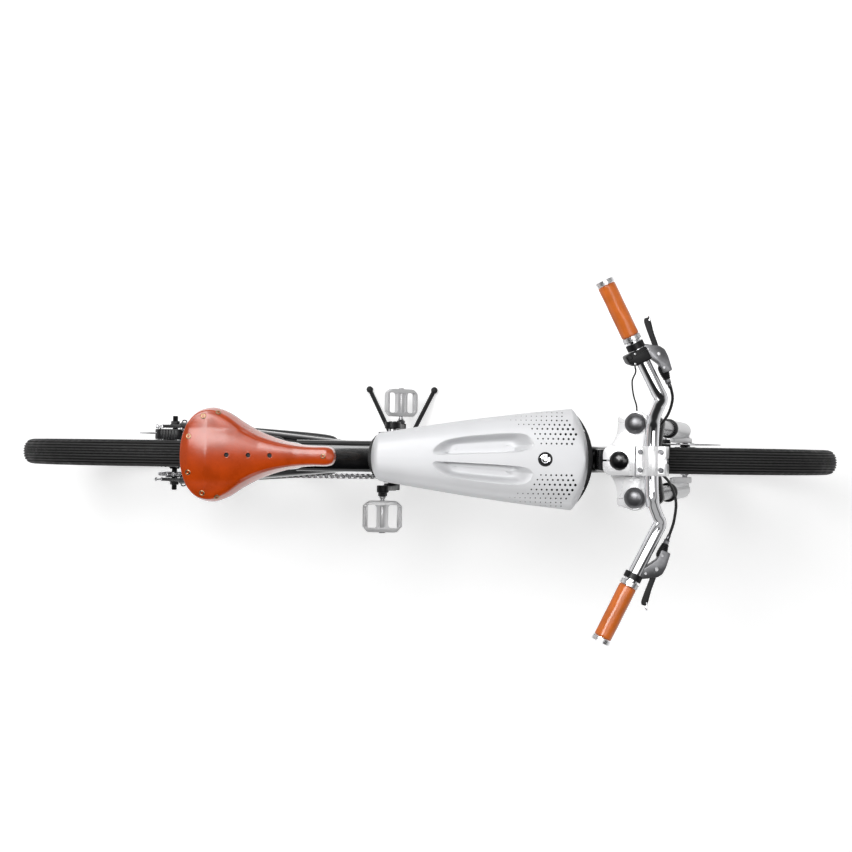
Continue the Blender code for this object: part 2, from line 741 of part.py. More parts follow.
def make_headset():
    inner = STEERER_RADIUS + GAP
    for name, low in (
        ("lower_headset_cup", HEAD_TUBE_BOTTOM - GAP - CUP_HEIGHT),
        ("upper_headset_cup", HEAD_TUBE_TOP + GAP),
    ):
        profile = [
            (inner, low), (HEAD_TUBE_RADIUS + 0.001, low), (HEAD_TUBE_RADIUS + 0.002, low + 0.004),
            (HEAD_TUBE_RADIUS, low + CUP_HEIGHT), (inner, low + CUP_HEIGHT),
        ]
        solid(name, turned(profile, 20, STEERING, True), "polished_aluminium", steered(0, 0, low))


def make_seat_collar():
    """A split ring on the seat tube's top with its pinch bolt behind."""
    low = SEAT_TUBE_TOP_Z - 0.020
    base = Vector((seat_line(low), 0, low))
    lean = Matrix.Translation(base) @ Matrix.Rotation(SEAT_ANGLE - math.pi / 2, 4, "Y")
    inner = SEAT_TUBE_RADIUS + GAP
    height = 0.018
    collar = solid("seat_collar", turned([
        (inner, 0), (inner + 0.004, 0), (inner + 0.004, height), (inner, height),
    ], 16, lean, True), "black_satin", base)
    lug = block((0.014, 0.018, height * 0.8), lean @ Matrix.Translation((-inner - 0.0085, 0, height / 2)))
    joined(collar, [lug])
    bolt = [lean @ Vector((-inner - 0.010, y, height / 2)) for y in (-0.014, 0.014)]
    joined(collar, [rod(*bolt, 0.003, 8)])


# Steering

def arc(centre, radius, start, end, steps):
    """Points of an arc, in degrees."""
    points = []
    for n in range(steps + 1):
        angle = math.radians(start + (end - start) * n / steps)
        points.append((centre[0] + radius * math.cos(angle), centre[1] + radius * math.sin(angle)))
    return points


def crown_outline(middle_radius, lobe_radius, front_reach):
    """Outline of a fork crown: two lobes round the legs and a bulge round the steerer, with concave backs."""
    lobe = (FORK_OFFSET, FORK_LEG_Y)
    left = arc(lobe, lobe_radius, 20, 190, 7)
    back = arc((0, 0), middle_radius, 120, 240, 5)
    right = [(x, -y) for x, y in reversed(left)]
    front = [(front_reach, -0.030), (front_reach, 0.030)]
    return left + [(-0.008, 0.036)] + back + [(-0.008, -0.036)] + right + front


def make_crown(name, low, thickness, finish_name, lobe_radius, front_reach):
    outline = crown_outline(0.030, lobe_radius, front_reach)
    crown = solid(name, plate(outline, low, low + thickness, STEERING), finish_name, steered(0, 0, low))
    bores = [turned([
        (STEERER_RADIUS + GAP, low - 0.01), (STEERER_RADIUS + GAP, low + thickness + 0.01),
    ], 20, STEERING)]
    for side in (LEFT, RIGHT):
        at = STEERING @ Matrix.Translation((FORK_OFFSET, side * FORK_LEG_Y, 0))
        bores.append(turned([
            (FORK_TUBE_RADIUS + GAP, low - 0.01), (FORK_TUBE_RADIUS + GAP, low + thickness + 0.01),
        ], 16, at))
    joined(crown, bores, "DIFFERENCE")


def make_fork():
    make_crown("lower_crown", LOWER_CROWN_HEIGHT, CROWN_THICKNESS, "black_satin", 0.0215, 0.036)
    make_crown("upper_crown", UPPER_CROWN_HEIGHT, CROWN_THICKNESS, "polished_aluminium", 0.0225, 0.034)
    solid("steerer_tube", turned([
        (STEERER_RADIUS, LOWER_CROWN_HEIGHT), (STEERER_RADIUS, STEM_TOP - 0.001),
    ], 20, STEERING), "steel", steered(0, 0, 0))
    tube_low = SLIDER_LENGTH - 0.110
    for side, word in ((LEFT, "left"), (RIGHT, "right")):
        at = STEERING @ Matrix.Translation((FORK_OFFSET, side * FORK_LEG_Y, 0))
        place = steered(FORK_OFFSET, side * FORK_LEG_Y, 0)
        cap_low = UPPER_CROWN_HEIGHT + CROWN_THICKNESS + GAP
        solid(f"fork_tube_{word}", turned([
            (FORK_TUBE_RADIUS, tube_low), (FORK_TUBE_RADIUS, cap_low),
            (FORK_CAP_RADIUS, cap_low), (FORK_CAP_RADIUS, cap_low + 0.004),
            (FORK_CAP_RADIUS - 0.004, cap_low + 0.009), (0.006, cap_low + 0.012),
        ], 16, at), "chrome", place)
        bore = FORK_TUBE_RADIUS + RUNNING_GAP
        floor = tube_low - FORK_TRAVEL - 0.004
        slider = turned([
            (0.0110, SLIDER_LOW), (SLIDER_RADIUS - 0.0015, SLIDER_LOW + 0.018),
            (SLIDER_RADIUS, 0.090), (SLIDER_RADIUS, SLIDER_LENGTH - 0.014),
            (SLIDER_RADIUS + 0.0015, SLIDER_LENGTH - 0.012), (SLIDER_RADIUS + 0.0015, SLIDER_LENGTH),
            (bore, SLIDER_LENGTH), (bore, floor), (0.002, floor),
        ], 16, at)
        joined(solid(f"fork_slider_{word}", slider, "polished_aluminium", place), [carrier(side)])


def carrier(side):
    """The block on the slider's inner side, with a slot that the axle drops into."""
    inner, outer = CARRIER_INNER_Y, CARRIER_OUTER_Y
    slot = AXLE_RADIUS + GAP
    x = FORK_OFFSET
    outline = [
        (x - 0.014, -0.018), (x - slot, -0.018), (x - slot, 0.002), (x - slot / 2, slot),
        (x + slot / 2, slot), (x + slot, 0.002), (x + slot, -0.018), (x + 0.012, -0.018),
        (x + 0.016, 0.004), (x + 0.012, 0.050), (x - 0.004, 0.130), (x - 0.014, 0.132),
        (x - 0.020, 0.040),
    ]
    return plate(outline, side * inner, side * outer, STEERING @ upright())


def bar_passage():
    """The round passage that both clamp halves leave for the bar."""
    ends = [steered(STEM_REACH, y, BAR_HEIGHT) for y in (-0.05, 0.05)]
    return rod(*ends, hole(BAR_RADIUS, 16), 16)


def make_stem():
    """The stem block with its lower clamp half, the cap with four bolts, and the dome on the steerer."""
    low, high = STEM_BOTTOM, STEM_TOP
    w = CLAMP_HALF_WIDTH
    rear, front = STEM_REACH - CLAMP_HALF_LENGTH, STEM_REACH + CLAMP_HALF_LENGTH
    outline = [(rear, -w), (front, -w), (front, -0.006), (front - 0.004, -0.004),
               (front - 0.004, 0.004), (front, 0.006), (front, w), (rear, w), (rear, 0.0225)]
    outline += arc((0, 0), 0.0215, 62, 298, 9) + [(rear, -0.0225)]
    stem = solid("stem", plate(outline, low, high, STEERING), "polished_aluminium", steered(0, 0, low))
    bore = turned([(STEERER_RADIUS + GAP, low - 0.01), (STEERER_RADIUS + GAP, high + 0.01)], 20, STEERING)
    bar = bar_passage()
    seat = block((2 * CLAMP_HALF_LENGTH + 0.002, 0.08, 0.04), STEERING @ Matrix.Translation(
        (STEM_REACH, 0, BAR_HEIGHT - 0.0005 + 0.02)))
    slit = block((0.024, 0.0016, 0.05), STEERING @ Matrix.Translation((-0.022, 0, (low + high) / 2)))
    joined(stem, [bore, bar, seat, slit], "DIFFERENCE")
    hump = BAR_RADIUS + 0.0040
    profile = [(-CLAMP_HALF_LENGTH, 0.0005), (CLAMP_HALF_LENGTH, 0.0005), (CLAMP_HALF_LENGTH, 0.0095)]
    profile += arc((0, 0), hump, 37, 143, 6) + [(-CLAMP_HALF_LENGTH, 0.0095)]
    at = STEERING @ Matrix.Translation((STEM_REACH, 0, BAR_HEIGHT))
    cap = solid("handlebar_clamp", plate(profile, -w, w, at @ upright()), "polished_aluminium",
                steered(STEM_REACH, 0, BAR_HEIGHT))
    joined(cap, [bar_passage()], "DIFFERENCE")
    heads = []
    for x in (-0.0195, 0.0195):
        for y in (-0.0165, 0.0165):
            heads.append(turned([(0.0040, 0.0085), (0.0040, 0.0135)], 10, at @ Matrix.Translation((x, y, 0))))
    joined(cap, [merged(*heads)])
    solid("stem_cap", turned([
        (CAP_RADIUS, high + GAP), (CAP_RADIUS, high + 0.003), (CAP_RADIUS - 0.004, high + 0.0065),
        (0.005, high + 0.0085),
    ], 20, STEERING), "black_gloss", steered(0, 0, high))


def bar_point(side, x, y, z):
    return ahead(x, side * y, z)


def grip_line(side):
    """Start and direction of the bar's straight end, where the grip sits."""
    start = bar_point(side, *GRIP_START)
    return start, (bar_point(side, *GRIP_END) - start).normalized()


def make_handlebar():
    centre = steered(STEM_REACH, 0, BAR_HEIGHT)
    half = [centre + Vector((0, 0.036, 0))]
    half += [ahead(*p) for p in BAR_BENDS] + [ahead(*ELBOW)]
    curve = smooth_path(half, 3)
    start, along = grip_line(LEFT)
    curve.append(start + along * (2 * COLLAR_LENGTH + GRIP_LENGTH - 0.0020))
    mirrored = [Vector((p.x, -p.y, p.z)) for p in reversed(curve)]
    bar = solid("handlebar", swept(mirrored + curve, BAR_RADIUS, 10), "chrome", centre)
    far = COLLAR_LENGTH + GRIP_LENGTH + 2 * GAP
    for side, word in ((LEFT, "left"), (RIGHT, "right")):
        start, along = grip_line(side)
        joined(bar, [
            sleeve(start, along, low, low + COLLAR_LENGTH, GRIP_RADIUS + 0.0012, BAR_RADIUS - 0.002, 13)
            for low in (0.0, far)
        ])
        make_grip(side, word)
        make_brake_lever(side, word)


def sleeve(start, along, low, high, radius, inner, count):
    """A tube round the bar between two distances along it."""
    turn = along.to_track_quat("Z", "Y").to_matrix().to_4x4()
    at = Matrix.Translation(start) @ turn
    return turned([(inner, low), (radius, low), (radius, high), (inner, high)], count, at, True)


def make_grip(side, word):
    start, along = grip_line(side)
    inner = hole(BAR_RADIUS, 14)
    low = COLLAR_LENGTH + GAP
    high = low + GRIP_LENGTH
    solid(f"grip_{word}", sleeve(start, along, low, high, GRIP_RADIUS, inner, 14), "leather", start)


def make_brake_lever(side, word):
    """The master cylinder clamped on the bar, and the blade that turns on it."""
    clamp = bar_point(side, *LEVER_CLAMP)
    elbow = bar_point(side, *ELBOW)
    along = (bar_point(side, *GRIP_START) - elbow).normalized()
    on_bar = elbow + along * (clamp - elbow).dot(along)
    pivot = bar_point(side, *LEVER_PIVOT)
    barrel = bar_point(side, *LEVER_BARREL)
    body = solid(f"brake_master_{word}", rod(
        barrel, pivot - (pivot - barrel).normalized() * 0.009, 0.0085, 8), "black_satin", pivot)
    ring = sleeve(on_bar, along, -0.008, 0.008, BAR_RADIUS + 0.0040, hole(BAR_RADIUS, 12), 12)
    reach = (pivot + barrel) / 2
    towards = (reach - on_bar).normalized()
    arm = rod(on_bar + towards * (BAR_RADIUS + 0.0025), reach, 0.0065, 8)
    back = pivot - (pivot - barrel).normalized() * 0.0150
    cheek = rod(back - Vector((0, 0, 0.0090)), back + Vector((0, 0, 0.0090)), 0.0070, 8)
    ears = [
        beam([(*(back + Vector((0, 0, h))), 0.014, 0.0042, 0.0006),
              (*(pivot + (pivot - back).normalized() * 0.006 + Vector((0, 0, h))), 0.013, 0.0042, 0.0006)])
        for h in (-0.0069, 0.0069)
    ]
    socket_end = barrel - (pivot - barrel).normalized() * 0.008
    socket = rod(barrel, socket_end, 0.0048, 8)
    joined(body, [ring, arm, cheek, *ears, socket])
    pin = rod(pivot - Vector((0, 0, 0.0092)), pivot + Vector((0, 0, 0.0092)), 0.0020, 8)
    knee = bar_point(side, *LEVER_KNEE)
    tip = bar_point(side, *LEVER_TIP)
    height = LEVER_THICKNESS
    path = [pivot, knee, tip]
    widths = (0.0062, 0.0048, 0.0034)
    left_edge, right_edge = [], []
    for n, point in enumerate(path):
        before, after = path[max(n - 1, 0)], path[min(n + 1, 2)]
        way = (after - before).normalized()
        across = Vector((-way.y, way.x, 0)).normalized()
        left_edge.append(point + across * widths[n])
        right_edge.append(point - across * widths[n])
    outline = left_edge + list(reversed(right_edge))
    loops = [[p + Vector((0, 0, h)) for p in outline] for h in (-height / 2, height / 2)]
    blade = solid(f"brake_lever_{word}", shape(loops), "black_satin", pivot)
    way = (tip - knee).normalized()
    ball = turned([(0.0012, -0.0055), (0.0042, -0.0030), (0.0055, 0.0), (0.0042, 0.0030), (0.0012, 0.0055)], 10,
                  Matrix.Translation(tip + way * 0.003))
    joined(blade, [ball])
    eye = rod(pivot - Vector((0, 0, 0.02)), pivot + Vector((0, 0, 0.02)), hole(0.0020, 8), 8)
    joined(blade, [eye], "DIFFERENCE")
    without_slivers(joined(body, [pin]))


def cord(name, points, radius, finish_name, resolution=2):
    """A hose or wire as a bevelled curve along a smooth path."""
    data = bpy.data.curves.new(name, "CURVE")
    data.dimensions = "3D"
    data.bevel_depth = radius
    data.bevel_resolution = resolution
    data.use_fill_caps = True
    line = data.splines.new("POLY")
    line.points.add(len(points) - 1)
    for spot, point in zip(line.points, points):
        spot.co = (*point, 1.0)
    data.materials.append(MATERIALS[finish_name])
    made = bpy.data.objects.new(name, data)
    bpy.context.scene.collection.objects.link(made)
    return made


def hose_start(side):
    """Where a hose leaves its master cylinder."""
    pivot, barrel = bar_point(side, *LEVER_PIVOT), bar_point(side, *LEVER_BARREL)
    return barrel - (pivot - barrel).normalized() * (0.008 + GAP)


def stay_top(share):
    """A point on top of the left seat stay, where the hose lies; share runs from dropout to beam."""
    rear = behind(0.030, DROPOUT_Y + 0.0015, 0.0496)
    front = Vector((-0.270, 0.0330, 0.626))
    along = (front - rear).normalized()
    up = Vector((-along.z, 0, along.x)).normalized()
    return rear.lerp(front, share) + up * (0.0142 + 0.006 * share + HOSE_RADIUS + GAP)


def make_cords():
    out = (bar_point(LEFT, *LEVER_BARREL) - bar_point(LEFT, *LEVER_PIVOT)).normalized()
    start = hose_start(LEFT)
    port = steered(0.0380, 0.045, UPPER_CROWN_HEIGHT + CROWN_THICKNESS / 2)
    before_port = steered(0.0520, 0.0475, UPPER_CROWN_HEIGHT + CROWN_THICKNESS / 2)
    cord("rear_brake_hose_upper", smooth_path([
        start, start + out * 0.012, ahead(-0.1655, 0.1060, 0.6216), ahead(-0.1685, 0.0830, 0.6036),
        ahead(-0.1775, 0.0630, 0.5816), before_port, port,
    ], 4), HOSE_RADIUS, "black_rubber")
    out = Vector((out.x, -out.y, out.z))
    start = hose_start(RIGHT)
    port = steered(0.026, -0.0200, LOWER_CROWN_HEIGHT + CROWN_THICKNESS + 0.0012)
    cord("front_brake_hose", smooth_path([
        start, start + out * 0.012, ahead(-0.1605, -0.1000, 0.6216), ahead(-0.1525, -0.0680, 0.5966),
        ahead(-0.1545, -0.0380, 0.5516), ahead(-0.1585, -0.0220, 0.4916), ahead(-0.1535, -0.0200, 0.4366), port,
    ], 4), HOSE_RADIUS, "black_rubber")
    cord("rear_brake_hose", smooth_path([
        behind(0.0343, 0.0480, 0.0852), behind(0.0425, 0.0490, 0.0926),
        stay_top(0.15), stay_top(0.4), stay_top(0.65),
        stay_top(0.86), (-0.3000, 0.0330, 0.6420), (-0.2810, 0.0200, 0.6700), (-0.2640, 0.0150, 0.6745),
    ], 4), HOSE_RADIUS, "black_rubber")
    at = switch_place()
    leave = at @ Vector((-0.0190, -SWITCH_BOX[1] / 2 - GAP, -0.0040))
    cord("switch_wire", smooth_path([
        leave, at @ Vector((-0.0190, -SWITCH_BOX[1] / 2 - 0.0100, -0.0070)),
        ahead(-0.2345, 0.1380, 0.6176),
        ahead(-0.2275, 0.1160, 0.5916), ahead(-0.2180, 0.0990, 0.5696), ahead(-0.2154, 0.0894, 0.5613),
    ], 4), WIRE_RADIUS, "black_rubber")


def switch_place():
    """Frame of the switch box: its Y axis runs along the bar, away from the stem."""
    elbow = bar_point(LEFT, *ELBOW)
    along = (bar_point(LEFT, *GRIP_START) - elbow).normalized()
    turn = along.to_track_quat("Y", "Z").to_matrix().to_4x4()
    return Matrix.Translation(elbow + along * SWITCH_ALONG) @ turn


def make_switch():
    """The small switch box behind the bar on the left, with its push button."""
    at = switch_place()
    middle = at.translation
    box = solid("switch_box", block(SWITCH_BOX, at @ Matrix.Translation((-SWITCH_BOX_BACK, 0, 0))),
                "black_satin", middle)
    half = at @ Vector((0, 0.03, 0)) - middle
    passage = rod(middle - half, middle + half, hole(BAR_RADIUS, 14), 14)
    button_at = at @ Matrix.Translation((-0.0200, 0, 0))
    pocket = turned([
        (hole(BUTTON_RADIUS, 10), 0.0110), (hole(BUTTON_RADIUS, 10), 0.0200),
    ], 10, button_at)
    joined(box, [passage, pocket], "DIFFERENCE")
    solid("switch_button", turned([
        (BUTTON_RADIUS, 0.0133), (BUTTON_RADIUS, 0.0178), (BUTTON_RADIUS - 0.0008, 0.0186),
    ], 10, button_at), "black_rubber", middle)


# Drive

def sprocket_outline(teeth, pitch):
    """A toothed outline: a valley, two flanks and a narrow tip for each tooth."""
    pitch_radius = pitch / (2 * math.sin(math.pi / teeth))
    root = pitch_radius - ROLLER_RADIUS - GAP
    tip = pitch_radius + 0.0034
    step = 2 * math.pi / teeth
    points = []
    for n in range(teeth):
        for share, radius in ((-0.20, root), (0.20, root), (0.45, tip), (0.55, tip)):
            angle = (n + share) * step
            points.append((radius * math.cos(angle), radius * math.sin(angle)))
    return points


def make_drive():
    centre = Vector((BRACKET_X, 0, BRACKET_Z))
    wheel = Vector((REAR_X, 0, AXLE_Z))
    half = TOOTH_THICKNESS / 2
    _, _, on_big, on_small = chain_course(centre, wheel)
    ring = solid("chainring", plate(
        sprocket_outline(CHAINRING_TEETH, CHAIN_PITCH), CHAIN_LINE_Y - half, CHAIN_LINE_Y + half,
        Matrix.Translation(centre) @ upright() @ Matrix.Rotation(
            chain_angle() + math.pi + tooth_phase(on_big, CHAINRING_TEETH), 4, "Z"),
    ), "black_satin", centre)
    hub = turned([(0.0200, CHAIN_LINE_Y - 0.0135), (0.0220, CHAIN_LINE_Y + 0.0020)], 16, about_y(centre))
    joined(ring, [hub])
    windows = []
    for n in range(5):
        low, high = math.radians(72 * n + 9), math.radians(72 * n + 63)
        outline = arc((0, 0), 0.031, math.degrees(low), math.degrees(high), 3)
        outline += arc((0, 0), 0.070, math.degrees(high) + 2, math.degrees(low) - 2, 5)
        windows.append(plate(outline, -0.070, -0.030, Matrix.Translation(centre) @ upright()))
    bore = rod(centre - Vector((0, 0.10, 0)), centre, hole(SPINDLE_RADIUS, 16), 16)
    joined(ring, [merged(*windows), bore], "DIFFERENCE")
    rear = solid("rear_sprocket", plate(
        sprocket_outline(SPROCKET_TEETH, CHAIN_PITCH), CHAIN_LINE_Y - half, CHAIN_LINE_Y + half,
        Matrix.Translation(wheel) @ upright() @ Matrix.Rotation(
            chain_angle() + tooth_phase(on_small, SPROCKET_TEETH), 4, "Z"),
    ), "steel", wheel)
    hub_end = -(REAR_ROTOR_Y - ROTOR_THICKNESS / 2 - GAP) - GAP
    body = turned([(0.0200, -0.0550), (0.0220, hub_end)], 16, about_y(wheel))
    joined(rear, [body])
    joined(rear, [rod(wheel - Vector((0, 0.1, 0)), wheel, HUB_BORE_RADIUS, 12)], "DIFFERENCE")
    make_chain(centre, wheel)
    make_cranks(centre)


def chain_radii():
    return tuple(
        CHAIN_PITCH / (2 * math.sin(math.pi / teeth)) for teeth in (CHAINRING_TEETH, SPROCKET_TEETH)
    )


def chain_angle():
    """Direction from the bottom bracket to the rear axle, in the XZ plane."""
    return math.atan2(AXLE_Z - BRACKET_Z, REAR_X - BRACKET_X)


def arc_rollers(teeth, radius, wrap):
    """Distances of the seated rollers along a wheel's arc, from the middle of the arc."""
    step = 2 * math.pi / teeth
    count = int(wrap / step)
    return [radius * step * (k - (count - 1) / 2) for k in range(count)]


def tooth_phase(rollers, teeth):
    """Turn from a valley to the middle of the wrapped arc."""
    return 0.0 if len(rollers) % 2 else math.pi / teeth


def chain_course(centre, wheel):
    """The chain's straight length and wraps, and its seated rollers on both wheels."""
    big, small = chain_radii()
    span = math.hypot(wheel.x - centre.x, wheel.z - centre.z)
    lean = math.asin((big - small) / span)
    straight = span * math.cos(lean)
    on_big = arc_rollers(CHAINRING_TEETH, big, math.pi + 2 * lean)
    on_small = arc_rollers(SPROCKET_TEETH, small, math.pi - 2 * lean)
    return lean, straight, on_big, on_small


def chain_stations(centre, wheel):
    """Roller centres and headings once round: seated rollers, and even links along both straights."""
    big, small = chain_radii()
    lean, straight, on_big, on_small = chain_course(centre, wheel)
    lengths = (big * (math.pi + 2 * lean), straight, small * (math.pi - 2 * lean), straight)
    total = sum(lengths)
    front = [lengths[0] / 2 + s for s in on_big]
    rear = [lengths[0] + straight + lengths[2] / 2 + s for s in on_small]
    places = list(front)
    for start, end in ((front[-1], rear[0]), (rear[-1], total + front[0])):
        links = round((end - start) / CHAIN_PITCH)
        places += [start + (end - start) * n / links for n in range(1, links)]
        if end == rear[0]:
            places += rear
    base = chain_angle()
    return [loop_point(s % total, centre, wheel, lengths, lean, base) for s in places]


def loop_point(s, centre, wheel, lengths, lean, base):
    """A point of the chain's pitch line at distance s, with its heading."""
    big, small = chain_radii()
    low, high = base - (math.pi / 2 - lean), base + (math.pi / 2 - lean)
    if s < lengths[0]:
        turn = low - s / big
        return around(centre, big, turn), turn - math.pi / 2
    s -= lengths[0]
    if s < lengths[1]:
        spot = around(centre, big, high).lerp(around(wheel, small, high), s / lengths[1])
        return spot, high - math.pi / 2
    s -= lengths[1]
    if s < lengths[2]:
        turn = high - s / small
        return around(wheel, small, turn), turn - math.pi / 2
    s -= lengths[2]
    spot = around(wheel, small, low).lerp(around(centre, big, low), s / lengths[3])
    return spot, low - math.pi / 2


def around(centre, radius, angle):
    """A point of a circle in the XZ plane."""
    return Vector((centre.x + radius * math.cos(angle), 0, centre.z + radius * math.sin(angle)))


def make_chain(centre, wheel):
    """Two rows of side plates round the loop, joined by a roller at each pitch."""
    stations = chain_stations(centre, wheel)
    y = CHAIN_LINE_Y
    inner = CHAIN_INSIDE_WIDTH / 2
    outer = inner + CHAIN_PLATE_THICKNESS
    half = CHAIN_PLATE_HEIGHT / 2
    bends = []
    for n, (spot, heading) in enumerate(stations):
        before, after = stations[n - 1][1], stations[(n + 1) % len(stations)][1]
        if abs(heading - before) > 1e-6 or abs(after - heading) > 1e-6:
            bends.append((spot, heading))
    rows = []
    for low, high in ((y - outer, y - inner), (y + inner, y + outer)):
        loops = []
        for spot, heading in bends:
            out = Vector((-math.sin(heading), 0, math.cos(heading))) * half
            loops.append([
                spot + out + Vector((0, low, 0)), spot + out + Vector((0, high, 0)),
                spot - out + Vector((0, high, 0)), spot - out + Vector((0, low, 0)),
            ])
        rows.append(shape(loops, True))
    chain = solid("drive_chain", rows[0], "steel")
    rollers = []
    for spot, _ in stations:
        start = Vector((spot.x, y - inner - 0.0004, spot.z))
        rollers.append(rod(start, start + Vector((0, 2 * inner + 0.0008, 0)), ROLLER_RADIUS, 4))
    joined(chain, [rows[1], merged(*rollers)])


def crank_direction(side):
    """The left crank points down and a little forward, the right one up and back."""
    return Vector((side * math.sin(CRANK_TILT), 0, -side * math.cos(CRANK_TILT)))


def make_cranks(centre):
    reach = CRANK_ARM_Y + CRANK_ARM_THICKNESS / 2
    for side, word in ((LEFT, "left"), (RIGHT, "right")):
        way = crank_direction(side)
        end = centre + way * CRANK_LENGTH
        y = side * CRANK_ARM_Y
        half = CRANK_ARM_THICKNESS / 2
        at, thick = Vector((0, y, 0)), Vector((0, half, 0))
        hub = rod(centre + at - thick, centre + at + thick, 0.0185, 16)
        arm = solid(f"crank_arm_{word}", hub, "black_satin", centre)
        boss = rod(end + at - thick, end + at + thick, 0.0130, 12)
        across = Vector((way.z, 0, -way.x))
        loops = []
        for share, width, depth in ((0.06, 0.0150, 0.0068), (0.5, 0.0115, 0.0060), (0.94, 0.0095, 0.0062)):
            spot = centre + at + way * CRANK_LENGTH * share
            loops.append([
                spot + across * width + Vector((0, depth, 0)), spot - across * width + Vector((0, depth, 0)),
                spot - across * width - Vector((0, depth, 0)), spot + across * width - Vector((0, depth, 0)),
            ])
        joined(arm, [boss, shape(loops)])
        holes = [rod(end + at - Vector((0, 0.02, 0)), end + at + Vector((0, 0.02, 0)), 0.0065 + GAP, 10)]
        if side == LEFT:
            joined(arm, [rod(centre - Vector((0, reach + 0.001, 0)), centre + at, SPINDLE_RADIUS, 16)])
        else:
            holes.append(rod(centre + at - Vector((0, 0.02, 0)), centre + at + Vector((0, 0.02, 0)),
                             SPINDLE_RADIUS + GAP, 16))
        joined(arm, holes, "DIFFERENCE")
        make_pedal(side, word, end)


def make_pedal(side, word, end):
    """A platform pedal with two windows, a round barrel and a row of teeth on each long edge."""
    place = Vector((end.x, side * PEDAL_INNER_Y, end.z))
    outer = PEDAL_INNER_Y + PEDAL_WIDTH
    spindle = solid(f"pedal_spindle_{word}", rod(
        (end.x, side * (CRANK_ARM_Y - CRANK_ARM_THICKNESS / 2), end.z), (end.x, side * (outer - 0.012), end.z),
        0.0048, 12), "steel", place)
    thread = rod((end.x, side * (CRANK_ARM_Y - CRANK_ARM_THICKNESS / 2), end.z),
                 (end.x, side * (PEDAL_INNER_Y - GAP - 0.004), end.z), 0.0065, 10)
    collar = rod((end.x, side * (CRANK_ARM_Y + CRANK_ARM_THICKNESS / 2 + GAP), end.z),
                 (end.x, side * (PEDAL_INNER_Y - GAP - 0.004), end.z), 0.0085, 6)
    joined(spindle, [thread, collar])
    tilt = LEFT_PEDAL_TILT if side == LEFT else 0.0
    middle = (end.x, side * (PEDAL_INNER_Y + PEDAL_WIDTH / 2), end.z)
    at = Matrix.Translation(middle) @ Matrix.Rotation(tilt, 4, "Y")
    l, w, h = PEDAL_LENGTH / 2, PEDAL_WIDTH / 2, PEDAL_HEIGHT / 2
    outline = [(-l, -w + 0.012), (-l + 0.010, -w), (l - 0.010, -w), (l, -w + 0.012),
               (l, w - 0.010), (l - 0.012, w), (-l + 0.012, w), (-l, w - 0.010)]
    cage = solid(f"pedal_{word}", plate(outline, -h, h, at), "polished_aluminium", place)
    windows = []
    for way in (1, -1):
        shift = Matrix.Translation((way * 0.0245, 0, 0))
        windows.append(block((0.0235, PEDAL_WIDTH - 0.018, 0.05), at @ shift))
    joined(cage, [merged(*windows)], "DIFFERENCE")
    bore = rod((end.x, side * (PEDAL_INNER_Y - 0.02), end.z), (end.x, side * (outer - 0.011), end.z),
               0.0048 + GAP, 12)
    joined(cage, [bore], "DIFFERENCE")


# Tank

def tank_loop(share, inset, count=32, lip=0.0):
    """The tank's plan outline, drawn in towards its spine by a share and inset by a wall.

    A lip of 1 carries the two ends out to the base's rim.
    """
    rear_reach, front_reach = 0.028, 0.040
    rear, front = Vector((rear_reach, 0)), Vector((TANK_LENGTH - front_reach, 0))
    ends = []
    for centre, reach, more, half, first in (
        (front, front_reach, TANK_RIM_FRONT, TANK_FRONT_HALF_WIDTH, -90),
        (rear, -rear_reach, TANK_RIM_REAR, TANK_REAR_HALF_WIDTH, 90),
    ):
        points = []
        steps = count // 4
        for n in range(steps + 1):
            angle = math.radians(first + 180 * n / steps)
            x = abs(reach) - inset + more * lip
            ring = Vector((math.cos(angle) * x, math.sin(angle) * (half - inset))) * (1 - share)
            points.append(centre.to_2d() + ring)
        ends.append(points)
    front_points, rear_points = ends
    side = []
    for n in range(1, count // 4):
        t = n / (count // 4)
        point = front_points[-1].lerp(rear_points[0], t)
        point.y += 0.0035 * math.sin(math.pi * t) * (1 - share)
        side.append(point)
    other = [Vector((p.x, -p.y)) for p in reversed(side)]
    return front_points + side + rear_points + other


def tank_skin(inset, low, top, count=32):
    """A closed dome over the tank's outline."""
    loops = [[Vector((p.x, p.y, low)) for p in tank_loop(0.0, inset, count)]]
    for share, height in TANK_STEPS:
        loops.append([Vector((p.x, p.y, low + (top - low) * height)) for p in tank_loop(share, inset, count)])
    return shape(loops, False, tank_frame())


def recess(side, extra):
    """The bowl of a hand recess, made larger by extra for the wall under it."""
    stations = 9
    loops = []
    for n in range(stations):
        t = n / (stations - 1)
        x = RECESS_START - extra + (RECESS_LENGTH + 2 * extra) * t
        share = math.sin(math.pi * (0.06 + 0.88 * t)) ** 0.55
        centre_y = 0.0200 + 0.0115 * t
        half = (0.0150 + 0.0035 * t) * share + extra
        depth = RECESS_DEPTH * share + extra
        top = TANK_HEIGHT - 0.003
        ring = []
        for k in range(10):
            angle = 2 * math.pi * k / 10
            ring.append(Vector((x, side * (centre_y + half * math.cos(angle)), top + depth * math.sin(angle))))
        loops.append(ring)
    return shape(loops, False, tank_frame())


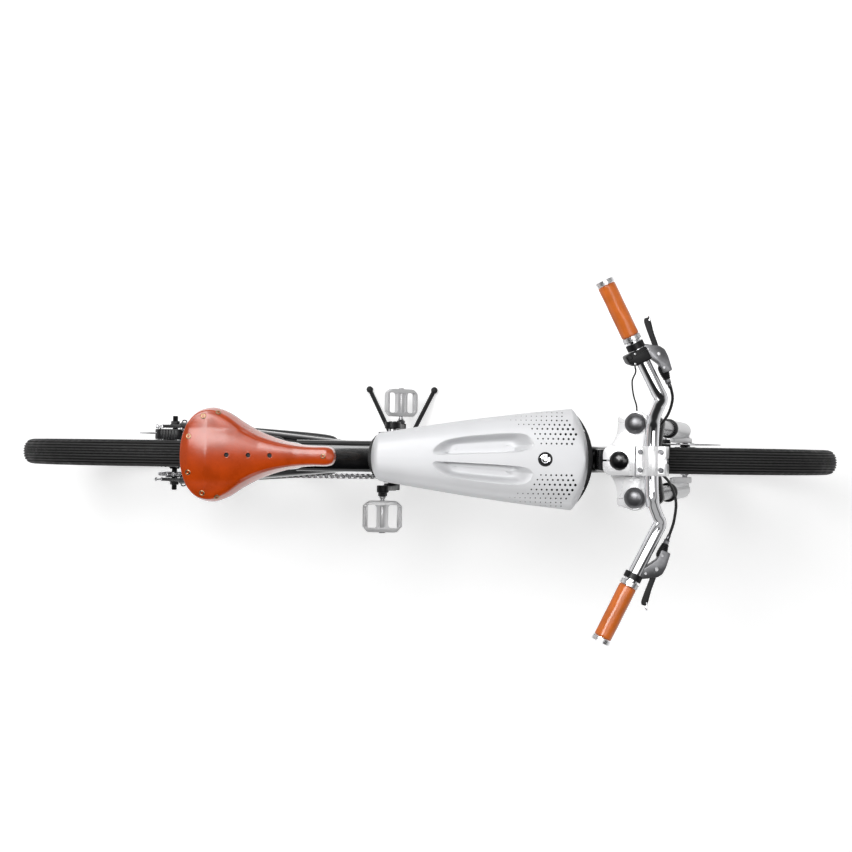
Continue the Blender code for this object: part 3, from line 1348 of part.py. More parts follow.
def make_tank():
    low = TANK_BASE + TANK_RIM_HEIGHT + GAP
    cover = solid("tank_cover", tank_skin(0.0, low, TANK_HEIGHT), "silver_paint", tank_frame().translation)
    joined(cover, [recess(side, 0.0) for side in (LEFT, RIGHT)], "DIFFERENCE")
    hollow = solid("tank_hollow", tank_skin(TANK_WALL, low - 0.002, TANK_HEIGHT - TANK_WALL), "steel")
    joined(hollow, [recess(side, TANK_WALL) for side in (LEFT, RIGHT)], "DIFFERENCE")
    inside = bmesh.new()
    inside.from_mesh(hollow.data)
    bpy.data.objects.remove(hollow, do_unlink=True)
    lock_at = tank_frame() @ Matrix.Translation((LOCK_X, 0, 0))
    lock_hole = turned([
        (hole(LOCK_RADIUS, 16), TANK_HEIGHT - 0.03), (hole(LOCK_RADIUS, 16), TANK_HEIGHT + 0.01),
    ], 16, lock_at)
    joined(cover, [inside, lock_hole], "DIFFERENCE")
    solid("key_lock", turned([
        (0.0080, TANK_HEIGHT - 0.036), (LOCK_RADIUS, TANK_HEIGHT - 0.034), (LOCK_RADIUS, TANK_HEIGHT + 0.001),
        (LOCK_RADIUS - 0.0010, TANK_HEIGHT + 0.002),
    ], 16, lock_at), "chrome", lock_at.translation)
    rim_steps = (
        (0.4, TANK_BASE), (1.0, TANK_BASE + 0.003), (1.0, TANK_BASE + TANK_RIM_HEIGHT),
    )
    pan_loops = [
        [Vector((p.x, p.y, h)) for p in tank_loop(0.0, -TANK_RIM_SIDE, lip=lip)] for lip, h in rim_steps
    ]
    pan = solid("tank_pan", shape(pan_loops, False, tank_frame()), "black_satin", tank_frame().translation)
    tray = [
        [Vector((p.x, p.y, h)) for p in tank_loop(0.0, 0.0035)]
        for h in (TANK_BASE + 0.003, TANK_BASE + 0.02)
    ]
    joined(pan, [shape(tray, False, tank_frame())], "DIFFERENCE")
    floor = TANK_BASE + 0.003 + GAP
    pack_front = TANK_LENGTH - BATTERY_SETBACK
    pack = [(0.048, -0.030), (pack_front, -0.056), (pack_front, 0.056), (0.048, 0.030)]
    solid("battery_pack", plate(pack, floor, floor + 0.050, tank_frame()), "battery_grey",
          tank_frame() @ Vector((0.17, 0, floor)))
    for side, word in ((LEFT, "left"), (RIGHT, "right")):
        at = tank_frame() @ Matrix.Translation((TANK_LENGTH - SPEAKER_SETBACK, side * SPEAKER_Y, 0))
        solid(f"loudspeaker_{word}", turned([
            (0.0150, floor), (0.0150, 0.058), (0.0280, 0.074), (0.0280, 0.078), (0.0240, 0.078),
            (0.0080, 0.066), (0.0030, 0.068),
        ], 16, at), "black_satin", at.translation)


# Seat

def make_saddle():
    """The leather top as an arched shell with hanging skirts."""
    loops = []
    for x, half, rise, drop in SADDLE_STATIONS:
        top = SADDLE_TOP_Z + rise
        outer, inner = [], []
        arch = list(SADDLE_ARCH) + [(-a, b) for a, b in reversed(SADDLE_ARCH[:-1])]
        shrink = max(0.25, 1 - SADDLE_WALL / max(half, 0.008))
        for a, b in arch:
            outer.append(Vector((x, a * half, top - b * drop)))
            lift = max(drop - SADDLE_WALL * 0.2, 0.0)
            inner.append(Vector((x, a * half * shrink, top - SADDLE_WALL * (1 - b) - b * lift)))
        loops.append(outer + list(reversed(inner)))
    solid("saddle_leather", shape(loops), "leather", (-0.30, 0, SADDLE_TOP_Z))
    rail = [
        (-0.424, 0.0380, 0.8780), (-0.400, 0.0300, 0.8600), (-0.365, RAIL_Y, RAIL_Z), (-0.262, RAIL_Y, RAIL_Z),
        (-0.232, 0.0160, RAIL_Z), (-0.205, 0.0080, 0.8560), (-0.192, 0.0040, 0.8720),
    ]
    path = [Vector(p) for p in rail] + [Vector((x, -y, z)) for x, y, z in reversed(rail)]
    rails = solid("saddle_rails", swept(path, RAIL_RADIUS, 6), "chrome", (-0.30, 0, RAIL_Z))
    cantle = beam([
        (-0.426, -0.052, 0.8765, 0.012, 0.006, 0.001), (-0.432, 0.0, 0.8785, 0.012, 0.006, 0.001),
        (-0.426, 0.052, 0.8765, 0.012, 0.006, 0.001),
    ])
    nose = block((0.016, 0.018, 0.012), Matrix.Translation((-0.1940, 0, 0.8760)))
    joined(rails, [cantle, nose])


def make_seat_post():
    """The post with its round head, and the clamp that holds both rails."""
    head = Vector((seat_line(HEAD_Z), 0, HEAD_Z))
    low = SEAT_POST_LOW_Z
    post = solid("seat_post", rod((seat_line(low), 0, low), (head.x, 0, head.z), SEAT_POST_RADIUS, 16),
                 "polished_aluminium", head)
    joined(post, [rod(head - Vector((0, 0.0155, 0)), head + Vector((0, 0.0155, 0)), 0.0135, 16)])
    wide = Vector((0, 0.02, 0))
    joined(post, [rod(head - wide, head + wide, hole(0.0030, 8), 8)], "DIFFERENCE")
    clamp = solid("saddle_clamp", rod(head - Vector((0, 0.028, 0)), head + Vector((0, 0.028, 0)), 0.0030, 8),
                  "steel", head)
    cheeks = []
    for side in (LEFT, RIGHT):
        near = head + Vector((0, side * 0.0160, 0))
        cheeks.append(rod(near, near + Vector((0, side * 0.0120, 0)), 0.0155, 14))
    joined(clamp, cheeks)
    grooves = []
    for side in (LEFT, RIGHT):
        ends = [(head.x + reach, side * RAIL_Y, RAIL_Z) for reach in (-0.04, 0.04)]
        grooves.append(rod(*ends, hole(RAIL_RADIUS, 10), 10))
    joined(clamp, grooves, "DIFFERENCE")


# Kickstand

def make_kickstand():
    """A ring on the pivot collar with two legs that fall inside the crank and then spread to their feet."""
    centre = Vector((BRACKET_X, 0, BRACKET_Z))
    low = centre + Vector((0, MOTOR_HALF_WIDTH + 2 * GAP, 0))
    ring = STAND_HUB_RADIUS
    inner = hole(STAND_PIVOT_RADIUS, STAND_FACETS, RUNNING_GAP)
    stand = solid("kickstand", turned([
        (inner, 0), (ring, 0), (ring, 0.0145), (inner, 0.0145),
    ], STAND_FACETS, about_y(low), True), "black_satin", centre)
    legs, feet = [], []
    for foot_x in (STAND_REAR_FOOT_X, STAND_FRONT_FOOT_X):
        share = STAND_INNER_Y / STAND_FOOT_Y
        kink_x = -0.071 + (foot_x + 0.071) * share
        top_x = BRACKET_X + math.copysign(0.014, foot_x - BRACKET_X)
        top = Vector((top_x, STAND_INNER_Y - 0.0045, BRACKET_Z - ring + 0.004))
        kink = Vector((kink_x, STAND_INNER_Y, STAND_KINK_Z))
        foot = Vector((foot_x, STAND_FOOT_Y, GROUND_Z + FOOT_RADIUS))
        way = (foot - kink).normalized()
        end = foot - way * 0.004
        legs.append(swept([top, kink + Vector((0, 0, 0.014)), kink + way * 0.014, end], STAND_LEG_RADIUS, 7))
        tip = turned([(0.0070, 0.0), (FOOT_RADIUS, 0.004), (FOOT_RADIUS, 0.014), (0.0070, 0.018)], 10,
                     Matrix.Translation((foot.x, foot.y, GROUND_Z)))
        feet.append(tip)
    joined(stand, legs)
    joined(stand, feet)


# Brakes

def make_calipers():
    """Each caliper straddles its rotor with a slot over the disc's edge."""
    wheel = Vector((REAR_X, 0, AXLE_Z))
    middle = wheel + Vector((0.006, 0, ROTOR_RADIUS - 0.006))
    make_caliper("rear_brake_caliper", Matrix.Translation(middle), REAR_ROTOR_Y, 0.0300, 0.0525)
    at = STEERING @ Matrix.Translation((FORK_OFFSET - 0.052, 0, 0.052)) @ Matrix.Rotation(math.radians(-45), 4, "Y")
    make_caliper("front_brake_caliper", at, FRONT_ROTOR_Y, 0.0262, 0.0460)


def make_caliper(name, at, rotor_y, low, high):
    body = solid(name, plate([
        (-0.030, -0.014), (0.030, -0.014), (0.034, 0.004), (0.022, 0.018), (-0.022, 0.018), (-0.034, 0.004),
    ], low, high, at @ upright()), "black_satin", at.translation)
    slot = block((0.10, ROTOR_THICKNESS + 0.0012, 0.040), at @ Matrix.Translation((0, rotor_y, -0.010)))
    joined(body, [slot], "DIFFERENCE")


def clear_scene():
    for item in list(bpy.data.objects):
        bpy.data.objects.remove(item, do_unlink=True)


def build():
    clear_scene()
    for name, values in FINISHES.items():
        MATERIALS[name] = finish(name, *values)
    make_wheels()
    make_frame()
    make_motor()
    make_headset()
    make_seat_collar()
    make_fork()
    make_stem()
    make_handlebar()
    make_switch()
    make_cords()
    make_drive()
    make_tank()
    make_saddle()
    make_seat_post()
    make_kickstand()
    make_calipers()
    for item in bpy.data.objects:
        item.location.z -= GROUND_Z


build()
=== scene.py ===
"""Electric bicycle with a double crown fork, a tank shaped battery cover and a leather saddle."""

import random
from math import asin, atan2, copysign, cos, degrees, exp, pi, radians, sin, sqrt, tan

import bmesh
import bpy
from mathutils import Matrix, Vector
from mathutils.bvhtree import BVHTree


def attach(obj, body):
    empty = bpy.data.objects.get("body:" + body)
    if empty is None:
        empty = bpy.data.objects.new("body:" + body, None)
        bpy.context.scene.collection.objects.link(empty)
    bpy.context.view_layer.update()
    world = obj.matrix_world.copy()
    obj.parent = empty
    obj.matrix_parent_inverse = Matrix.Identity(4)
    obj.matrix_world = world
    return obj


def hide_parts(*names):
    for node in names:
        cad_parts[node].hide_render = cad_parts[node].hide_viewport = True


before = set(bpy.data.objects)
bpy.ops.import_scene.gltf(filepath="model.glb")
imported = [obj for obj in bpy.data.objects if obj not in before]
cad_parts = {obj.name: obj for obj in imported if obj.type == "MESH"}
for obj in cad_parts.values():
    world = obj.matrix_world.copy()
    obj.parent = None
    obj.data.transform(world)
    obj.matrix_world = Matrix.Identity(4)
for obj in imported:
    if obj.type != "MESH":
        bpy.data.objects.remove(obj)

bl_info = {
    "name": "Electric Bicycle",
    "version": (1, 0, 0),
    "blender": (4, 5, 0),
    "location": "View3D > Sidebar > Bicycle",
    "description": "Dresses the packed bicycle with its tyres, fork, bar, tank, saddle and drive",
    "category": "Object",
}

LEFT, RIGHT = 1, -1
SIDES = ((LEFT, "left"), (RIGHT, "right"))

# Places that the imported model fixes
WHEELS = (("front", Vector((0.5805, 0, 0.3239326))), ("rear", Vector((-0.5805, 0, 0.3239326))))
FRONT_AXLE, REAR_AXLE = WHEELS[0][1], WHEELS[1][1]
BRACKET = Vector((-0.087, 0, 0.2705698))
FORK_LEAN, BEAM_LEAN, SEAT_LEAN = radians(21), radians(3.4), radians(69.5)
STEERING = Matrix.Translation((0.5608948, 0, 0.3164069)) @ Matrix.Rotation(-FORK_LEAN, 4, "Y")
BEAM_START, BEAM_TOP = -0.118, 0.6915698
TANK = Matrix.Translation((BEAM_START, 0, BEAM_TOP)) @ Matrix.Rotation(-BEAM_LEAN, 4, "Y")
LOWER_CROWN, UPPER_CROWN, CROWN_DEPTH = 0.406, 0.5892, 0.024
HEAD_LOW, HEAD_HIGH = 0.4406, 0.5786
STEM_LOW, STEM_HIGH = 0.6135, 0.6495
BAR_HEIGHT, BAR_REACH = 0.636, 0.054
LEG_X, LEG_Y = 0.021, 0.066
CHAIN_Y, AXLE_SLOT = -0.048, 0.0063


# Settings

def length(name, text, default, low=0.0, high=2.0):
    return bpy.props.FloatProperty(
        name=name, description=text, default=default, min=low, max=high, unit="LENGTH", precision=4)


def colour(name, text, default):
    return bpy.props.FloatVectorProperty(
        name=name, description=text, default=default, size=3, subtype="COLOR", min=0.0, max=1.0)


class StageSettings(bpy.types.PropertyGroup):
    camera_height: length("Camera Height", "Height of the camera above the floor", 2.8876, 0.5, 6.0)
    camera_x: length("Camera X", "Place of the camera along the bicycle", -0.009, -2.0, 2.0)
    camera_y: length("Camera Y", "Place of the camera across the bicycle", 0.010, -2.0, 2.0)
    lens: bpy.props.FloatProperty(
        name="Lens", description="Focal length of the camera", default=47.58, unit="CAMERA")
    roll: bpy.props.FloatProperty(
        name="Roll", description="Turn of the picture about the view", default=radians(0.835),
        subtype="ANGLE")
    tilt: bpy.props.FloatProperty(
        name="Tilt", description="Lean of the view from straight down", default=radians(1.328),
        subtype="ANGLE")
    floor: colour("Floor", "Colour of the studio floor", (0.86, 0.86, 0.86))
    key_power: bpy.props.FloatProperty(
        name="Key Power", description="Power of the large soft box", default=38.0, unit="POWER")
    fill_power: bpy.props.FloatProperty(
        name="Fill Power", description="Power of the soft box on the other side", default=11.0, unit="POWER")


class FinishSettings(bpy.types.PropertyGroup):
    saddle: colour("Saddle Leather", "Colour of the waxed leather", (0.44, 0.047, 0.0012))
    grip: colour("Grip Leather", "Colour of the grips' leather", (0.64, 0.150, 0.022))
    silver: colour("Silver Paint", "Colour of the tank cover", (0.70, 0.705, 0.72))
    gloss: colour("Gloss Black", "Colour of the frame's paint", (0.0022, 0.0022, 0.0026))
    satin: colour("Satin Black", "Colour of the anodised and coated parts", (0.0045, 0.0045, 0.0052))
    rubber: colour("Rubber", "Colour of the tyres", (0.0065, 0.0065, 0.0065))
    aluminium: colour("Aluminium", "Colour of the polished parts", (0.90, 0.90, 0.91))
    alloy: colour("Bright Alloy", "Colour of the crown, the stem and the other bright castings",
                  (0.90, 0.90, 0.91))
    chrome: colour("Chrome", "Colour of the plated parts", (0.86, 0.86, 0.88))
    steel: colour("Steel", "Colour of the bare steel parts", (0.52, 0.52, 0.53))


class TankSettings(bpy.types.PropertyGroup):
    front_width: length("Front Half Width", "Half width of the cover in front", 0.0958, 0.05, 0.15)
    rear_width: length("Rear Half Width", "Half width of the cover behind", 0.0465, 0.02, 0.1)
    height: length("Height", "Height of the cover above the beam", 0.102, 0.06, 0.15)
    recess_depth: length("Recess Depth", "Depth of the two hand recesses", 0.017, 0.005, 0.03)
    hole_pitch: length("Hole Pitch", "Spacing of the speaker holes", 0.0094, 0.004, 0.02)


class SaddleSettings(bpy.types.PropertyGroup):
    height: length("Height", "Height of the leather's top", 0.89057, 0.7, 1.1)
    thickness: length("Thickness", "Thickness of the leather", 0.0045, 0.002, 0.008)
    rivet: length("Rivet Radius", "Radius of the rivet heads", 0.0052, 0.002, 0.01)


class WheelSettings(bpy.types.PropertyGroup):
    grooves: bpy.props.IntProperty(
        name="Grooves", description="Grooves round the tread", default=8, min=4, max=16)
    groove_depth: length("Groove Depth", "Depth of the tread's grooves", 0.0020, 0.0005, 0.004)
    spokes: bpy.props.IntProperty(
        name="Spokes", description="Spokes in each wheel", default=28, min=12, max=48)


# Shapes

def smooth_curve(points, steps, closed=False):
    """Points on a curve through the given points, each pair of them divided into steps."""
    points = [Vector(p) for p in points]
    count = len(points)
    path = []
    for n in range(count if closed else count - 1):
        if closed:
            a, b, c, d = (points[(n + k - 1) % count] for k in range(4))
        else:
            b, c = points[n], points[n + 1]
            a = points[n - 1] if n else 2 * b - c
            d = points[n + 2] if n + 2 < count else 2 * c - b
        for k in range(steps):
            t = k / steps
            path.append(0.5 * (2 * b + (c - a) * t + (2 * a - 5 * b + 4 * c - d) * t * t
                               + (3 * b - a - 3 * c + d) * t ** 3))
    if not closed:
        path.append(points[-1])
    return path


def rounded(outline, radius, steps=4):
    """An outline of (x, y) points with its corners rounded."""
    points = [Vector(p) for p in outline]
    made = []
    for n, spot in enumerate(points):
        before, after = points[n - 1] - spot, points[(n + 1) % len(points)] - spot
        if before.length < 1e-7 or after.length < 1e-7 or abs(before.angle(after) - pi) < 0.1:
            made.append(spot)
            continue
        cut = min(radius, before.length * 0.45, after.length * 0.45)
        start, end = spot + before.normalized() * cut, spot + after.normalized() * cut
        for k in range(steps + 1):
            t = k / steps
            made.append(start * (1 - t) ** 2 + spot * 2 * t * (1 - t) + end * t * t)
    return made


def polar(radius, turn, *height):
    """A point at a radius and an angle, with its height if one is given."""
    return Vector((radius * cos(turn), radius * sin(turn), *height))


def arc(centre, radius, start, end, steps):
    """Points of an arc, in degrees."""
    turns = (radians(start + (end - start) * n / steps) for n in range(steps + 1))
    return [(centre[0] + radius * cos(turn), centre[1] + radius * sin(turn)) for turn in turns]


def power(value, share):
    """A value's power that keeps its sign."""
    return copysign(abs(value) ** share, value)


def ease(t):
    t = min(max(t, 0.0), 1.0)
    return t * t * (3 - 2 * t)


def between(table, x):
    """Straight interpolation in a table of (x, value)."""
    for (a, u), (b, v) in zip(table, table[1:]):
        if x <= b:
            return u + (v - u) * max(0.0, (x - a) / (b - a))
    return table[-1][1]


def upright(y=0.0):
    """Stands an XY outline up in the XZ plane, so that it is extruded along Y."""
    return Matrix.Translation((0, y, 0)) @ Matrix(((1, 0, 0, 0), (0, 0, 1, 0), (0, 1, 0, 0), (0, 0, 0, 1)))


def about_y(centre, side=LEFT):
    """A frame whose Z axis runs along Y, away from the bicycle on the given side."""
    at = Matrix.Translation(centre) @ Matrix.Rotation(-pi / 2, 4, "X")
    return at if side == LEFT else at @ Matrix.Rotation(pi, 4, "X")


def aimed(start, end):
    """A frame at start whose Z axis points at end."""
    way = Vector(end) - Vector(start)
    return Matrix.Translation(start) @ way.to_track_quat("Z", "Y").to_matrix().to_4x4()


def steered(x, y, height):
    return STEERING @ Vector((x, y, height))


class Form:
    """Points and faces of a piece, gathered part by part, each part in one of its finishes."""

    def __init__(self, *finishes):
        self.finishes = list(finishes)
        self.points, self.tints, self.faces, self.marks = [], [], [], []
        self.mark = 0
        self.tint = 0.0

    def use(self, finish):
        if finish not in self.finishes:
            self.finishes.append(finish)
        self.mark = self.finishes.index(finish)
        return self

    def face(self, *corners):
        self.faces.append(corners)
        self.marks.append(self.mark)

    def skin(self, loops, closed=False, caps=True, at=None, tints=None):
        """Skins equal closed loops one after another, with end faces unless the row is closed."""
        base, count, rows = len(self.points), len(loops[0]), len(loops)
        for n, loop in enumerate(loops):
            self.points += [at @ p for p in loop] if at else loop
            self.tints += [tints[n] if tints else self.tint] * count
        for row in range(rows if closed else rows - 1):
            a, b = base + row * count, base + (row + 1) % rows * count
            for n in range(count):
                m = (n + 1) % count
                self.face(a + n, a + m, b + m, b + n)
        if caps and not closed:
            self.face(*range(base + count - 1, base - 1, -1))
            self.face(*range(base + (rows - 1) * count, base + rows * count))
        return self

    def lathe(self, profile, count, at=None, closed=False):
        """Revolves (radius, height) points about Z."""
        turns = [2 * pi * n / count for n in range(count)]
        return self.skin([[polar(radius, turn, height) for turn in turns] for radius, height in profile],
                         closed, at=at)

    def block(self, xs, ys, zs, at=None):
        """A rectangular block between two places on each axis."""
        (a, b), (c, d) = xs, ys
        return self.skin([[Vector((x, y, z)) for x, y in ((a, c), (b, c), (b, d), (a, d))] for z in zs],
                         at=at)

    def rod(self, start, end, radius, count=16, edge=0.0):
        """A round bar, with its end edges rounded off."""
        span = (Vector(end) - Vector(start)).length
        profile = [(radius, 0.0), (radius, span)]
        if edge:
            profile = [(radius - edge, 0.0), (radius - edge * 0.3, edge * 0.3), (radius, edge),
                       (radius, span - edge), (radius - edge * 0.3, span - edge * 0.3), (radius - edge, span)]
        return self.lathe(profile, count, aimed(start, end))

    def plate(self, outline, low, high, at=None, edge=0.0):
        """An extruded outline, drawn in a little at both faces when it has an edge."""
        outline = [Vector(p) for p in outline]
        rows = ((outline, low), (outline, high))
        if edge:
            inner, mid = inset(outline, edge), inset(outline, edge * 0.3)
            rows = ((inner, low), (mid, low + edge * 0.3), (outline, low + edge), (outline, high - edge),
                    (mid, high - edge * 0.3), (inner, high))
        return self.skin([raised(row, h) for row, h in rows], at=at)

    def sweep(self, path, section):
        """Sweeps an (x, y) section along a path without twisting it."""
        path = [Vector(p) for p in path]
        normal = None
        loops = []
        for n, point in enumerate(path):
            along = (path[min(n + 1, len(path) - 1)] - path[max(n - 1, 0)]).normalized()
            if normal is None:
                normal = Vector((0, 0, 1)) if abs(along.z) < 0.9 else Vector((0, 1, 0))
            normal = (normal - along * normal.dot(along)).normalized()
            side = along.cross(normal)
            loops.append([point + side * a + normal * b for a, b in section])
        return self.skin(loops)

    def make(self, name, body, slot, *nodes, sharp=38, weld=0.0):
        """Makes the piece, which rides on a body and stands for the given nodes."""
        mesh = bpy.data.meshes.new(name)
        mesh.from_pydata(self.points, [], self.faces)
        for finish in self.finishes:
            mesh.materials.append(FINISHES[finish])
        mesh.polygons.foreach_set("material_index", self.marks)
        # Per-point tints: a painted highlight on the tyres' rib tops, and darker edges on the leathers.
        if any(self.tints):
            layer = mesh.attributes.new("painted_light_and_wear", "FLOAT", "POINT")
            layer.data.foreach_set("value", self.tints)
        bm = bmesh.new()
        bm.from_mesh(mesh)
        if weld:
            bmesh.ops.remove_doubles(bm, verts=bm.verts, dist=weld)
        bmesh.ops.recalc_face_normals(bm, faces=bm.faces)
        bm.to_mesh(mesh)
        bm.free()
        piece = bpy.data.objects.new(name, mesh)
        bpy.context.scene.collection.objects.link(piece)
        if body:
            settle(piece, sharp)
            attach(piece, body)
            if nodes:
                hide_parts(*nodes)
        return piece


def settle(piece, sharp):
    piece.data.shade_smooth()
    piece.data.set_sharp_from_angle(angle=radians(sharp))


def inset(outline, distance):
    """An outline drawn inwards by a distance."""
    made = []
    area = sum(a.x * b.y - b.x * a.y for a, b in zip(outline, outline[1:] + outline[:1]))
    turn = 1 if area > 0 else -1
    for n, spot in enumerate(outline):
        a = (spot - outline[n - 1]).normalized()
        b = (outline[(n + 1) % len(outline)] - spot).normalized()
        way = Vector((-(a.y + b.y), a.x + b.x))
        if way.length < 1e-6:
            way = Vector((-a.y, a.x))
        way.normalize()
        stretch = 1 / max(0.5, way.dot(Vector((-a.y, a.x))))
        made.append(spot + way * distance * turn * stretch)
    return made


def raised(outline, height):
    """An outline's points at a height."""
    return [Vector((p.x, p.y, height)) for p in outline]


def disc(radius, count):
    return [tuple(polar(radius, 2 * pi * n / count)) for n in range(count)]


def cut(piece, tool, sharp=38):
    """Cuts a form from a piece."""
    other = tool.make(piece.name + "_tool", None, None)
    step = piece.modifiers.new("Cut", "BOOLEAN")
    step.operation = "DIFFERENCE"
    step.solver = "MANIFOLD"
    step.object = other
    bpy.context.view_layer.update()
    mesh = bpy.data.meshes.new_from_object(piece.evaluated_get(bpy.context.evaluated_depsgraph_get()))
    old = piece.data
    piece.modifiers.remove(step)
    piece.data = mesh
    mesh.name = piece.name
    bpy.data.meshes.remove(old)
    bpy.data.objects.remove(other, do_unlink=True)
    if len(mesh.polygons) < 4:
        raise RuntimeError(f"nothing is left of {piece.name}")
    settle(piece, sharp)
    return piece


def surface_of(piece):
    """A function that drops a point onto a piece from above, and gives the place and the normal there."""
    tree = BVHTree.FromPolygons([v.co for v in piece.data.vertices],
                                [p.vertices for p in piece.data.polygons])

    def drop(x, y):
        spot, normal, _, _ = tree.ray_cast(Vector((x, y, 1.5)), Vector((0, 0, -1)))
        if spot is None:
            raise RuntimeError(f"{piece.name} isn't under {x:.3f}, {y:.3f}")
        return spot, normal if normal.z > 0 else -normal

    return drop


# Finishes

FINISHES = {}


def principled(name, base, roughness, metallic=0.0, **sockets):
    finish = bpy.data.materials.new(name)
    finish.use_nodes = True
    shader = finish.node_tree.nodes["Principled BSDF"]
    shader.inputs["Base Color"].default_value = (*base, 1.0)
    shader.inputs["Roughness"].default_value = roughness
    shader.inputs["Metallic"].default_value = metallic
    for socket, value in sockets.items():
        shader.inputs[socket.replace("_", " ")].default_value = value
    FINISHES[name] = finish
    return finish.node_tree, shader


def pattern(tree, kind, scale, stretch=(1, 1, 1), detail=3.0):
    """A noise, voronoi or wave pattern in the piece's own space."""
    place = tree.nodes.new("ShaderNodeTexCoord")
    fit = tree.nodes.new("ShaderNodeMapping")
    fit.inputs["Scale"].default_value = stretch
    texture = tree.nodes.new("ShaderNodeTex" + kind)
    texture.inputs["Scale"].default_value = scale
    if "Detail" in texture.inputs:
        texture.inputs["Detail"].default_value = detail
    tree.links.new(place.outputs["Object"], fit.inputs["Vector"])
    tree.links.new(fit.outputs["Vector"], texture.inputs["Vector"])
    return texture.outputs["Distance" if kind == "Voronoi" else "Fac"]


def ramp(tree, value, *stops):
    """Colours along a value, each stop a place and a colour."""
    node = tree.nodes.new("ShaderNodeValToRGB")
    marks = node.color_ramp.elements
    while len(marks) < len(stops):
        marks.new(0.5)
    for mark, (place, shade) in zip(marks, stops):
        mark.position = place
        mark.color = (*shade, 1.0) if not isinstance(shade, float) else (shade, shade, shade, 1.0)
    tree.links.new(value, node.inputs["Fac"])
    return node.outputs["Color"]


def mixed(tree, share, first, second):
    """Two colours mixed by a share, each of the three a socket or a value."""
    node = tree.nodes.new("ShaderNodeMix")
    node.data_type = "RGBA"
    for socket, value in zip((node.inputs[0], node.inputs[6], node.inputs[7]), (share, first, second)):
        if isinstance(value, bpy.types.NodeSocket):
            tree.links.new(value, socket)
        else:
            socket.default_value = value if isinstance(value, float) else (*value, 1.0)
    return node.outputs[2]


def spread(tree, value, low, high, start=0.0, end=1.0):
    """A value mapped from one range to another."""
    node = tree.nodes.new("ShaderNodeMapRange")
    for socket, number in zip(("From Min", "From Max", "To Min", "To Max"), (start, end, low, high)):
        node.inputs[socket].default_value = number
    tree.links.new(value, node.inputs["Value"])
    return node.outputs["Result"]


def coloured(tree, shader, value, *stops):
    """Colours a finish along a value."""
    tree.links.new(ramp(tree, value, *stops), shader.inputs["Base Color"])


def roughened(tree, shader, value, low, high, start, end):
    """Varies a finish's roughness along a value."""
    tree.links.new(spread(tree, value, low, high, start, end), shader.inputs["Roughness"])


def make_plain(name, base, rough, metallic, cloud, dark, pale, bump, grain=None, **sockets):
    """A finish between two colours along a pattern, which is also its relief if it has no grain."""
    tree, shader = principled(name, base, rough, metallic, **sockets)
    tone = pattern(tree, *cloud)
    coloured(tree, shader, tone, dark, pale)
    relief(tree, shader, (pattern(tree, *grain) if grain else tone, *bump))


def relief(tree, shader, *layers):
    """Bumps in layers of (value, strength, depth)."""
    normal = None
    for value, strength, depth in layers:
        node = tree.nodes.new("ShaderNodeBump")
        node.inputs["Strength"].default_value = strength
        node.inputs["Distance"].default_value = depth
        tree.links.new(value, node.inputs["Height"])
        if normal:
            tree.links.new(normal, node.inputs["Normal"])
        normal = node.outputs["Normal"]
    tree.links.new(normal, shader.inputs["Normal"])


# The stored per-point tint: painted highlight on the tyres, darker edges on the leathers.
def painted_light_and_wear_of(tree):
    node = tree.nodes.new("ShaderNodeAttribute")
    node.attribute_name = "painted_light_and_wear"
    return node.outputs["Fac"]


def shade(base, factor):
    return tuple(min(1.0, part * factor) for part in base)


def make_leather(name, base, dark, pore, rough):
    """Waxed leather: cloudy colour, pores, fine creases and a burnished edge."""
    tree, shader = principled(name, base, rough, Coat_Weight=0.95, Coat_Roughness=0.19, Coat_IOR=1.50,
                              Specular_IOR_Level=0.06)
    clouds = pattern(tree, "Noise", 34, detail=5.0)
    tone = ramp(tree, clouds, (0.30, shade(base, 0.80)), (0.55, base), (0.78, shade(base, 1.16)))
    fine = pattern(tree, "Noise", 420, detail=4.0)
    tone = mixed(tree, spread(tree, fine, 0.0, 0.22, 0.45, 0.75), tone, shade(base, 0.66))
    tone = mixed(tree, painted_light_and_wear_of(tree), tone, dark)
    tree.links.new(tone, shader.inputs["Base Color"])
    roughened(tree, shader, clouds, rough - 0.07, rough + 0.10, 0.3, 0.75)
    pores = pattern(tree, "Voronoi", pore)
    creases = pattern(tree, "Noise", 150, (1.0, 2.6, 1.0), 6.0)
    relief(tree, shader, (spread(tree, pores, 0.0, 1.0, 0.0, 0.35), 0.22, 0.0004), (creases, 0.16, 0.0010))


